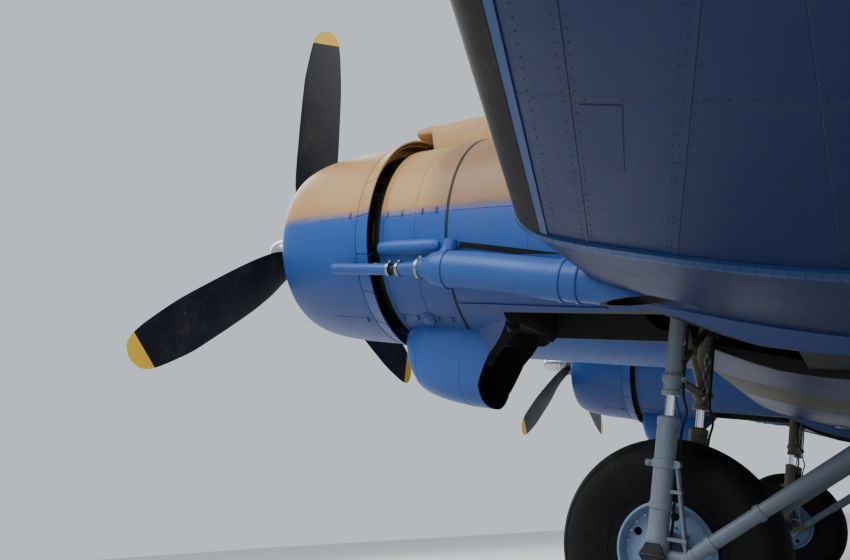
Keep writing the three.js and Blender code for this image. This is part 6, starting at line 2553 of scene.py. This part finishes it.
    def latches(self) -> None:
        """Builds the toggle latches along the cowl seams."""
        shape = Shape()
        outline = ((-17, -7), (17, -7), (22, 0), (17, 7), (-17, 7), (-22, 0))
        for angle in self.cowl_seams[:4]:
            out = self.out(angle)
            across = self.out(angle + math.pi / 2)
            for y in (860, 1120, 1230, 1380, 1480):
                foot = self.around(angle, y, self.shell(y) + 2)
                ring = [foot + across * a + (0, b, 0) for a, b in outline]
                shape.loft(np.array([[p + out * h for p in ring] for h in (-2, 5)]))
                shape.tube([foot - across * 14 + out * 7, foot + across * 14 + out * 7], (4, 3), 8)
        self.piece(shape, "cowl_latches", [Paint.COWL])

    def rivets(self) -> None:
        """Rows of rivets round the cowls, along their seams and on the nacelle."""
        rows = Rivets(f"nacelle_rivets_{self.name}", Paint.COWL, 35, 3.4)
        flip = np.array([self.side, 1, 1])
        turns = np.linspace(0, 2 * math.pi, 121)
        for y in (899, 908, 1077, 1093, 1303, 1321, 1526, 1540):
            points = np.array([self.around(t, y, self.shell(y) + 2) for t in turns])
            rows.row(points * flip, np.array([self.out(t) for t in turns]) * flip)
        for angle in self.cowl_seams:
            for ys in (np.linspace(620, 880, 12), np.linspace(1108, 1510, 12)):
                for turn in (angle - 13 / 670, angle + 13 / 670):
                    points = np.array([self.around(turn, y, self.shell(y) + 1.5) for y in ys])
                    rows.row(points * flip, np.array([self.out(angle)] * len(ys)) * flip)
        for y in (1575, 2042, 2058, 2892, 2908, 3742, 3758, 4692, 4708):
            some = self.above_edge(y, 70)
            lift = 1.6 if y > 1600 else 0
            outs = np.array([self.hull.normal(y, t) for t in some])
            rows.row((np.array([self.hull.point(y, t) for t in some]) + outs * lift) * flip, outs * flip)
        ys = np.linspace(1600, 5350, 40)
        for angle in self.skin_seams:
            outs = np.array([self.hull.normal(y, angle) for y in ys])
            for turn in (angle - 10 / 670, angle + 10 / 670):
                points = np.array([self.hull.point(y, turn) for y in ys]) + outs * 2.2
                rows.row(points * flip, outs * flip)
        rows.build("skin_paint")


@dataclass
class Propeller:
    """A three-bladed propeller with its hub and dome. Both turn the same way, so neither is mirrored."""

    name: str
    side: int
    turn: float
    blades: int = 3
    table: tuple[tuple[float, ...], ...] = (  # radius, chord, thickness and pitch in degrees
        (95, 118, 118, 30), (220, 160, 104, 28), (320, 262, 84, 25), (480, 350, 62, 21),
        (700, 378, 46, 16), (950, 384, 36, 13), (1250, 380, 27, 10), (1500, 332, 20, 8),
        (1645, 276, 15, 7), (1700, 226, 12, 7), (1735, 150, 9, 7), (1753, 50, 7, 7),
    )
    tip: float = 1645
    rake: float = 0.26  # how far the tips' paint line leans, as a share of the chord

    def build(self) -> None:
        """Builds the blades, hub and dome."""
        centre = (self.side * ENGINE_X, 0.0, 0.0)
        body = f"propeller_{self.name}_unit"
        blade, metal = Shape(), Shape()
        charcoal = np.linspace(95, self.tip, 44)
        yellow = [*np.linspace(self.tip + 8, 1725, 8), 1735, 1743, 1749, 1753]
        places = [*charcoal, *yellow]
        rings = np.array([self.section(row) for row in smooth_rows(self.table, places)])
        blade.loft(rings[:44], 0, caps=False).loft(rings[43:], 1, caps=False)
        n = rings.shape[1]
        blade.add(rings[0], [tuple(range(n))]).add(rings[-1], [tuple(range(n))], 1)
        for low, high, radius in ((96, 112, 72), (118, 150, 70), (196, 206, 65)):
            metal.tube([(0, 0, low), (0, 0, high)], radius, 40)
        for across in SIGNS:
            metal.block((across * 78, 0, 119), (-14, -16, -21), (14, 16, 21))
            metal.bar((across * 80, 0, 120), (0, 26, 0), 7, 8)
        whole, collars = Shape(), Shape()
        for i in range(self.blades):
            angle = self.turn + 2 * math.pi * i / self.blades
            for source, target in ((blade, whole), (metal, collars)):
                target.merged(source, lambda p, a=angle: turned(p, a) + centre)
        piece_of(
            whole, f"propeller_blades_{self.name}", [Paint.BLADE, Paint.TIP], body,
            [f"propeller_{self.name}"],
        )
        hub = [(0, -104), (98, -105), (108, -100), (112, -90), (112, 88), (106, 94)]
        collars.lathe([*hub, (70, 108), (70, 144.5), (0, 144.5)], centre, 64)
        piece_of(
            collars, f"propeller_hub_{self.name}", [Paint.STEEL], body, bevel=1.5
        )
        nose = curved([(14, -379), (40, -372), (73, -348), (94, -306), (103, -244), (104, -200)], 6)
        groove = [(104, -150), (101, -147), (101, -143), (104, -140), (104, -106), (0, -106)]
        piece_of(
            Shape().lathe([(0, -380), *nose, *groove], centre, 72),
            f"propeller_dome_shell_{self.name}", [Paint.DOME], body,
            [f"propeller_dome_{self.name}"],
        )

    def section(self, row: Sequence[float]) -> np.ndarray:
        """The blade's outline at one radius: round at the root, an aerofoil beyond.

        Args:
            row: Radius, chord, thickness and pitch in degrees.

        Returns:
            The ring of points.
        """
        radius, chord, thickness, pitch = row
        angle = math.radians(pitch)
        rake = eased((radius - 1200) / 400)
        lead = np.array([math.cos(angle), -math.sin(angle), -self.rake * rake])
        back = np.array([-math.sin(angle), -math.cos(angle), 0])
        share = eased((radius - 200) / 280)
        ring = []
        for t in np.linspace(0, 2 * math.pi, 41)[:-1]:
            c, s = math.cos(t), math.sin(t)
            wing = 2.6 * aerofoil((1 - c) / 2, 0.1015)
            rise = share * wing * (1.35 if s > 0 else -0.5) + (1 - share) * s * 0.5
            ring.append(lead * chord * c * 0.5 + back * thickness * rise + (0, 0, radius))
        return np.array(ring)


def eased(share: float) -> float:
    """A share held between 0 and 1, with a slow start and end."""
    share = min(max(share, 0), 1)
    return share * share * (3 - 2 * share)


@dataclass
class MainGear:
    """One main landing gear: two oleo legs, bracing, drag strut and wheel, built to port and mirrored."""

    name: str
    side: int
    wheel: tuple[float, float] = (2750, -1720.6)  # the axle's station and height
    top: tuple[float, float] = (2815, -420)  # the same of the legs' upper ends
    spacing: float = 360  # of each leg from the middle
    strut_foot: tuple[float, float] = (2880, -1732.6)
    strut_top: tuple[float, float] = (4104, -731.75)
    strut_x: float = 350
    piston: tuple[float, float] = (-950, -1055)  # where the bare piston starts and ends

    def leg_at(self, z: float) -> float:
        """The legs' station at a height."""
        (y0, z0), (y1, z1) = self.top, self.wheel
        return y0 + (y1 - y0) * (z - z0) / (z1 - z0)

    def piece(
        self,
        shape: Shape,
        name: str,
        paint: Paint,
        slot: str = "gear_paint",
        body: str = "airframe",
        replaces: Sequence[str] = (),
        bevel: float = 0.0,
    ) -> None:
        """Makes a piece of this gear, mirrored where it is the starboard one.

        Args:
            shape: The port shape.
            name: Name of the piece, to which the side is added.
            paint: Its finish.
            slot: The record's material slot. Not used.
            body: Body that it rides on.
            replaces: CAD nodes that it stands for, without their side.
            bevel: Width in millimetres of a bevel on its sharp edges.
        """
        nodes = [f"{node}_{self.name}" for node in replaces]
        piece_of(shape.on_side(self.side), f"{name}_{self.name}", [paint], body, nodes, bevel)

    def on_leg(self, x: float, z: float) -> np.ndarray:
        """A point on the line of a leg."""
        return np.array([ENGINE_X + x, self.leg_at(z), z])

    def strut(self, x: float) -> tuple[np.ndarray, np.ndarray, np.ndarray]:
        """The line of one tube of the drag strut.

        Args:
            x: Its distance from the middle.

        Returns:
            Its foot, its head and the direction from one to the other.
        """
        foot, head = [np.array([ENGINE_X + x, *end]) for end in (self.strut_foot, self.strut_top)]
        return foot, head, unit(head - foot)

    def build(self) -> None:
        """Builds the gear."""
        self.legs()
        self.bracing()
        self.drag_strut()
        self.tubes()
        self.tyre()
        self.rim()

    def upper_leg(self, x: float) -> Shape:
        """The upper tube of one leg with its collars and fittings.

        Args:
            x: Its distance from the middle.

        Returns:
            The shape.
        """
        axis = self.on_leg(x, self.wheel[1]) - self.on_leg(x, self.top[1])
        profile = [
            (0, -8), (38, -8), (39, 0), (39, 90), (43, 94), (43, 124), (39, 128), (39, 420), (44, 426),
            (44, 470), (40, 476), (40, 508), (46, 514), (46, 534), (24, 535), (0, 535),
        ]
        shape = Shape().lathe(profile, self.on_leg(x, self.top[1]), 44, axis)
        for z, r in ((-520, 47), (-872, 50)):
            p = self.on_leg(x, z)
            shape.lathe([(37, -16), (r, -14), (r, 14), (37, 16)], p, 36, axis, closed=True)
            shape.block(p, (-14, 32, -12), (14, 66, 12)).bar(p + (0, 52, 0), (22, 0, 0), 8)
        return shape

    def lower_leg(self, sign: int) -> Shape:
        """The lower tube of one leg with its axle end and the bar to the drag strut.

        Args:
            sign: 1 for the outboard leg, -1 for the inboard one.

        Returns:
            The shape.
        """
        x, (y, z), foot_z = sign * self.spacing, self.wheel, self.piston[1]
        profile = [
            (0, 0), (30, 0), (44, 5), (54, 12), (54, 44), (50, 50), (52, 58), (52, 214), (58, 218),
            (58, 256), (52, 260), (51, 420), (56, 425), (56, 450), (50, 455), (50, 560), (58, 575),
            (62, 640), (62, 690), (54, 722), (0, 735),
        ]
        axis = self.on_leg(x, z) - self.on_leg(x, foot_z)
        shape = Shape().lathe(profile, self.on_leg(x, foot_z), 44, axis)
        ends = [(ENGINE_X + x + sign * out, y, z) for out in (-52, 62, 68, 76)]
        shape.tube(ends, (58, 58, 52, 50), 40)
        lug = self.on_leg(x, -1292)
        shape.block(lug, (-12, -90, -16), (12, -44, 16)).bar(lug - (0, 80, 0), (20, 0, 0), 11, 14)
        foot, _, along = self.strut(sign * self.strut_x)
        leg = np.array([foot[0], y, z])
        return shape.tube([leg, foot + along * 12], 34, 28).tube([foot, foot + along * 60], 38, 28)

    def legs(self) -> None:
        """Builds both legs with their pistons, and the axle."""
        pistons, axle = Shape(), Shape()
        y, z = self.wheel
        for name, sign, paint in (("outer", 1, Paint.GEAR), ("inner", -1, Paint.OLIVE)):
            x = sign * self.spacing
            pistons.tube([self.on_leg(x, self.piston[0]), self.on_leg(x, self.piston[1] - 20)], 22, 40)
            for part, shape in (("upper", self.upper_leg(x)), ("lower", self.lower_leg(sign))):
                replaces = [f"{part}_gear_leg"] if sign > 0 else []
                self.piece(shape, f"{name}_leg_{part}", paint, replaces=replaces)
            nut = [(44, -8), (62, -8), (66, 0), (62, 8), (44, 8)]
            axle.lathe(nut, (ENGINE_X + sign * 432, y, z), 6, ACROSS, closed=True)
            axle.bar((ENGINE_X + sign * 442, y, z), (0, 60, 0), 8)
        axle.bar((ENGINE_X, y, z), (444.8, 0, 0), 45, 40)
        self.piece(pistons, "polished_pistons", Paint.POLISHED)
        self.piece(axle, "axle", Paint.FINS, bevel=1.5)

    def bracing(self) -> None:
        """Builds the cross bars, diagonals and chains of links between the legs."""
        bars = Shape()
        y, z = self.top
        brace, low = -480, -865  # heights of the bracing's ends on the legs
        bars.bar((ENGINE_X, y, z), (404.6, 0, 0), 40, 32)
        bars.tube([self.on_leg(-self.spacing, low), self.on_leg(self.spacing, low)], 24, 24)
        links = Shape()
        turns = np.linspace(0, 2 * math.pi, 17)
        for sign in SIGNS:
            x = sign * self.spacing
            bars.tube([self.on_leg(x, brace), self.on_leg(-x, low + 10)], 20, 20)
            for height in (brace, low):
                collar = [(38, -18), (46, -16), (46, 16), (38, 18)]
                bars.lathe(collar, self.on_leg(x, height), 30, (0, 0.05, 1), closed=True)
            column = [self.on_leg(x - sign * 60, -635 - i * 42) + (0, 26, 0) for i in range(7)]
            for i, p in enumerate(column):
                across = np.array((0, 13, 0) if i % 2 else (13, 0, 0))
                ring = [p + across * math.cos(t) + (0, 0, 24 * math.sin(t)) for t in turns]
                links.tube(ring, 6, 6)
            for p, height in ((column[0] + (0, 0, 24), -600), (column[-1] - (0, 0, 24), -925)):
                links.tube([p, self.on_leg(x - sign * 20, height) + (0, 14, 0)], 8, 8)
        bars.lathe([(0, -30), (38, -26), (38, 26), (0, 30)], self.on_leg(0, -667), 24, (0, 1, 0))
        self.piece(bars, "leg_bracing", Paint.OLIVE)
        self.piece(links, "lock_links", Paint.STEEL)

    def drag_strut(self) -> None:
        """Builds the rear drag strut of two parallel tubes."""
        shape = Shape()
        ends = {sign: self.strut(sign * self.strut_x) for sign in SIGNS}
        for sign, (foot, head, along) in ends.items():
            shape.tube([foot + along * 60.3, head], 34, 28)
            for at in (150, 420, 1100):
                clip = [(33, -15), (40, -13), (40, 13), (33, 15)]
                shape.lathe(clip, foot + along * at, 28, along, closed=True)
            other = ends[-sign]
            shape.tube([foot + (head - foot) * 0.3, other[0] + (other[1] - other[0]) * 0.6], 10, 12)
        shape.bar((ENGINE_X, *self.strut_top), (391.6, 0, 0), 34, 28)
        shape.tube([foot + (head - foot) * 0.62 for foot, head, _ in ends.values()], 20, 20)
        self.piece(shape, "drag_struts", Paint.GEAR, replaces=["drag_strut"])

    def tubes(self) -> None:
        """Builds the pairs of thin tubes behind the lower legs and the brake hoses."""
        thin = Shape()
        high, low, aft = -1291, -1700, 62
        knots = ((-440, 48), (-700, 50), (-930, 54), (-1030, 78), (-1150, 62), (-1500, 60), (-1680, 60))
        for sign in (-1, 1):
            x = sign * self.spacing
            for out in (-16, 16):
                ends = [self.on_leg(x + out, z) + (0, a, 0) for z, a in ((high, aft), (low, 140))]
                thin.tube(ends, 9, 12)
            top = self.on_leg(x, high) + (0, aft, 0)
            thin.bar(top, (28, 0, 0), 20, 20).block(top, (-10, -34, -14), (10, 0, 14))
            for z in (-1420, -1640):
                reach = aft + (z - high) / (low - high) * (140 - aft) + 11
                thin.block(self.on_leg(x, z), (-28, 40, -8), (28, reach, 8))
            hose = [self.on_leg(x, z) + (-sign * 22, a, 0) for z, a in knots]
            thin.tube(curved(hose, 6), 7, 8, slot=1)
        piece_of(
            thin.on_side(self.side), f"brake_tubes_{self.name}", [Paint.GEAR, Paint.HOSE]
        )

    def wheel_ring(self, half: Sequence[tuple[float, float]], sides: int) -> Shape:
        """A ring round the axle, the same on both sides of its middle."""
        return Shape().lathe(both_halves(half), (ENGINE_X, *self.wheel), sides, ACROSS, closed=True)

    def tyre(self) -> None:
        """Builds the smooth tyre."""
        half = [
            (571.5, 0), (571.3, 30), (569, 66), (561, 105), (548, 140), (532, 168), (508, 194),
            (480, 210), (455, 215), (425, 212), (395, 205), (360, 193), (330, 180), (300, 167),
            (275, 157), (256, 150), (243, 142), (242.2, 132), (242.2, 100),
        ]
        shape = self.wheel_ring(curved(half, 3), 120)
        for r, a in ((520, 185), (300, 167)):
            for sign in SIGNS:
                bead = [(r - 4, sign * a), (r, sign * (a + 3.5)), (r + 4, sign * a), (r, sign * (a - 6))]
                shape.lathe(bead, (ENGINE_X, *self.wheel), 144, ACROSS, closed=True)
        self.piece(shape, "tyre_cover", Paint.TYRE, "tyre_rubber", f"main_wheel_{self.name}", ["main_tyre"])

    def rim(self) -> None:
        """Builds the rim: two dished discs with flanges, holes, bolts and a hub."""
        y, z = self.wheel
        half = [
            (241.6, 0), (241.6, 140), (250, 153), (250, 162), (238, 166), (230, 156), (224, 128),
            (212, 110), (185, 103), (150, 108), (122, 122), (110, 140), (102, 205), (96, 262),
            (84, 292), (46, 299),
        ]
        holes, bolts = Shape(), Shape()
        body = f"main_wheel_{self.name}"
        for sign in SIGNS:
            for angle in np.linspace(2.686, 2.686 + 2 * math.pi, 6)[:-1]:
                p = (ENGINE_X + sign * 105, y + 177 * math.cos(angle), z + 177 * math.sin(angle))
                holes.bar(p, (sign * 35, 0, 0), 21, 24)
            for radius, count, at in ((128, 12, 119), (206, 24, 107), (70, 6, 297)):
                for i in range(count):
                    angle = 2 * math.pi * (i + 0.5) / count
                    p = (y + radius * math.cos(angle), z + radius * math.sin(angle))
                    ends = [(ENGINE_X + sign * (at + step), *p) for step in (-6, 9)]
                    bolts.tube(ends, 7, 6)
            ring = [(98, 205), (116, 207), (116, 219), (98, 221)]
            bolts.lathe(ring, (ENGINE_X, y, z), 48, (sign, 0, 0), closed=True)
        piece_of(
            self.wheel_ring(half, 96).on_side(self.side), f"rim_disc_{self.name}", [Paint.RIM],
            body, [f"main_rim_{self.name}"],
            cuts=[(holes.on_side(self.side), Paint.DARK)],
        )
        self.piece(bolts, "rim_bolts", Paint.STEEL, "wheel_paint", body)


def both_halves(half: Sequence[tuple[float, float]]) -> list[tuple[float, float]]:
    """A whole profile from its first half, which starts on the middle line."""
    return [*half[::-1], *[(r, -a) for r, a in half[1:]]]


@dataclass
class TailWheel:
    """The tail wheel with its castering fork and leg, in a frame that stands upright on the ground."""

    axle: tuple[float, float, float] = (0, 13860, 242)
    trail: float = 130

    def aircraft(self, points: np.ndarray) -> np.ndarray:
        """Turns points of the upright frame into the aircraft's own.

        Args:
            points: The points, one per row.

        Returns:
            The turned points.
        """
        c, s = math.cos(STAND.angle), math.sin(STAND.angle)
        x, y, z = points.T
        return np.stack([x, c * y - s * z, s * y + c * z], axis=1) + self.axle

    def upright(self, shape: Shape) -> Shape:
        """A shape of the upright frame, set in the aircraft's."""
        return Shape().merged(shape, self.aircraft)

    def build(self) -> None:
        """Builds the tail wheel."""
        fork = Shape()
        for sign in SIGNS:
            bend = [(-62 * math.cos(t), 62 * math.sin(t)) for t in np.linspace(math.pi, 2 * math.pi, 13)]
            outline = [*bend, (-60, 200), (-78, 322), (-184, 322), (-176, 240), (-80, 60)]
            sides = sorted((sign * 115, sign * 137))
            fork.loft(np.array([[(x, a, b) for a, b in outline] for x in sides]))
            fork.tube([(sign * 108, 0, 0), (sign * 136.9, 0, 0)], 40, 28)
        kingpin = (0, -self.trail, 0)
        fork.box((-137, -190, 320), (137, -66, 350))
        fork.tube([(0, -self.trail, 335), (0, -self.trail, 540)], 34, 32)
        fork.lathe([(0, 348), (62, 349), (58, 372), (0, 372)], kingpin, 36, UP)
        fork.bar((0, 0, 0), (130, 0, 0), 24, 24)
        piece_of(
            self.upright(fork), "tail_wheel_fork", [Paint.GEAR], "tail_swivel_unit",
            ["tail_fork"], bevel=3,
        )
        socket = [(36, 412), (58, 412), (62, 418), (62, 470), (58, 476), (58, 760), (36, 760)]
        leg = Shape().lathe(socket, kingpin, 40, UP, closed=True)
        leg.tube([(0, -self.trail - 10, 600), (0, -self.trail - 330, 700)], 30, 24)
        piece_of(self.upright(leg), "tail_wheel_leg", [Paint.GEAR], replaces=["tail_leg"])
        half = [
            (280, 0), (279, 30), (272, 62), (256, 88), (232, 103), (205, 104), (178, 96), (156, 84),
            (142, 74), (140.3, 66),
        ]
        tyre = Shape().lathe(both_halves(curved(half, 3)), (0, 0, 0), 96, ACROSS, closed=True)
        piece_of(
            self.upright(tyre), "tail_tyre_cover", [Paint.TYRE], "tail_wheel",
            ["tail_tyre"],
        )
        half = [
            (139.6, 0), (139.6, 64), (144, 72), (132, 76), (122, 60), (100, 40), (70, 36), (60, 40),
            (52, 70), (48, 104), (25, 104.8),
        ]
        mirror = [(r, -a) for r, a in half[::-1]]
        rim = Shape().lathe([*mirror, *half[1:]], (0, 0, 0), 64, ACROSS, closed=True)
        for sign in SIGNS:
            for angle in np.linspace(0, 2 * math.pi, 9)[:-1]:
                p = (sign * 40, 86 * math.cos(angle), 86 * math.sin(angle))
                rim.bar(p, (sign * 6, 0, 0), 5, 6)
        piece_of(
            self.upright(rim), "tail_rim_discs", [Paint.RIM], "tail_wheel", ["tail_rim"]
        )


@dataclass
class Studio:
    """A plain pale floor, soft lights and the camera at the photograph's angle."""

    place: tuple[float, float, float] = (7.086, -3.825971, 0.733651)
    lens: float = 32.14
    yaw: float = 0.512
    pitch: float = 0.321
    roll: float = -0.063
    aim: tuple[float, float, float] = (0, -3, 2)  # where the lights point
    lights: tuple[tuple[str, tuple[float, float, float], float, float], ...] = (
        ("key_light", (16, -12, 20), 16, 5200),
        ("fill_light", (20, 6, 10), 12, 1650),
        ("nose_light", (-6, -20, 14), 14, 2600),
        ("back_light", (-14, 16, 18), 16, 3000),
    )

    def build(self) -> None:
        """Builds the studio."""
        self.floor()
        self.sky()
        for name, place, size, power in self.lights:
            light = bpy.data.lights.new(name, "AREA")
            light.shape, light.size, light.energy = "DISK", size, power
            lamp = placed(name, light)
            lamp.location = place
            lamp.rotation_euler = (Vector(self.aim) - Vector(place)).to_track_quat("-Z", "Y").to_euler()
        self.camera()

    def floor(self) -> None:
        """Builds the pale floor."""
        mesh = bpy.data.meshes.new("studio_floor")
        corners = [(-90, -90, 0), (90, -90, 0), (90, 90, 0), (-90, 90, 0)]
        mesh.from_pydata(corners, [], [(0, 1, 2, 3)])
        made, graph, place = new_material("pale_floor")
        colour = graph.mix(graph.noise(place, 0.6, 3, 0.55), srgb(0xC9CACB), srgb(0xD6D6D5))
        graph.surface({"Base Color": colour, "Roughness": 0.75})
        mesh.materials.append(made)
        placed("studio_floor", mesh)

    def sky(self) -> None:
        """Sets the even light all round."""
        world = bpy.data.worlds.new("studio_sky")
        world.use_nodes = True
        world.node_tree.nodes.clear()
        graph = Graph(world.node_tree)
        light = graph.node("ShaderNodeBackground", {"Color": (0.78, 0.85, 0.93, 1), "Strength": 0.85})
        graph.node("ShaderNodeOutputWorld", {"Surface": light.outputs[0]})
        bpy.context.scene.world = world

    def camera(self) -> None:
        """Sets the camera as the photograph was taken."""
        data = bpy.data.cameras.new("photo_camera")
        data.lens, data.sensor_width = self.lens, 36
        data.clip_end = 400
        camera = placed("photo_camera", data)
        level = math.cos(self.pitch)
        ahead = Vector((-math.cos(self.yaw) * level, -math.sin(self.yaw) * level, math.sin(self.pitch)))
        across = ahead.cross(Vector((0, 0, 1))).normalized()
        up = across.cross(ahead)
        c, s = math.cos(self.roll), math.sin(self.roll)
        right, top = across * c + up * s, up * c - across * s
        matrix = Matrix((right, top, -ahead)).transposed().to_4x4()
        matrix.translation = Vector(self.place)
        camera.matrix_world = matrix
        bpy.context.scene.camera = camera


def main() -> None:
    """Builds the plane and the studio."""
    logging.basicConfig(level=logging.INFO, format="%(name)s %(message)s")
    Studio().build()
    Fuselage().build()
    Wing().build()
    Tail().build()
    for name, side in SIDES.items():
        Nacelle(name, side).build()
        Propeller(name, side, {"left": 0.113, "right": -2.006}[name]).build()
        MainGear(name, side).build()
    TailWheel().build()


if __name__ == "__main__":
    main()
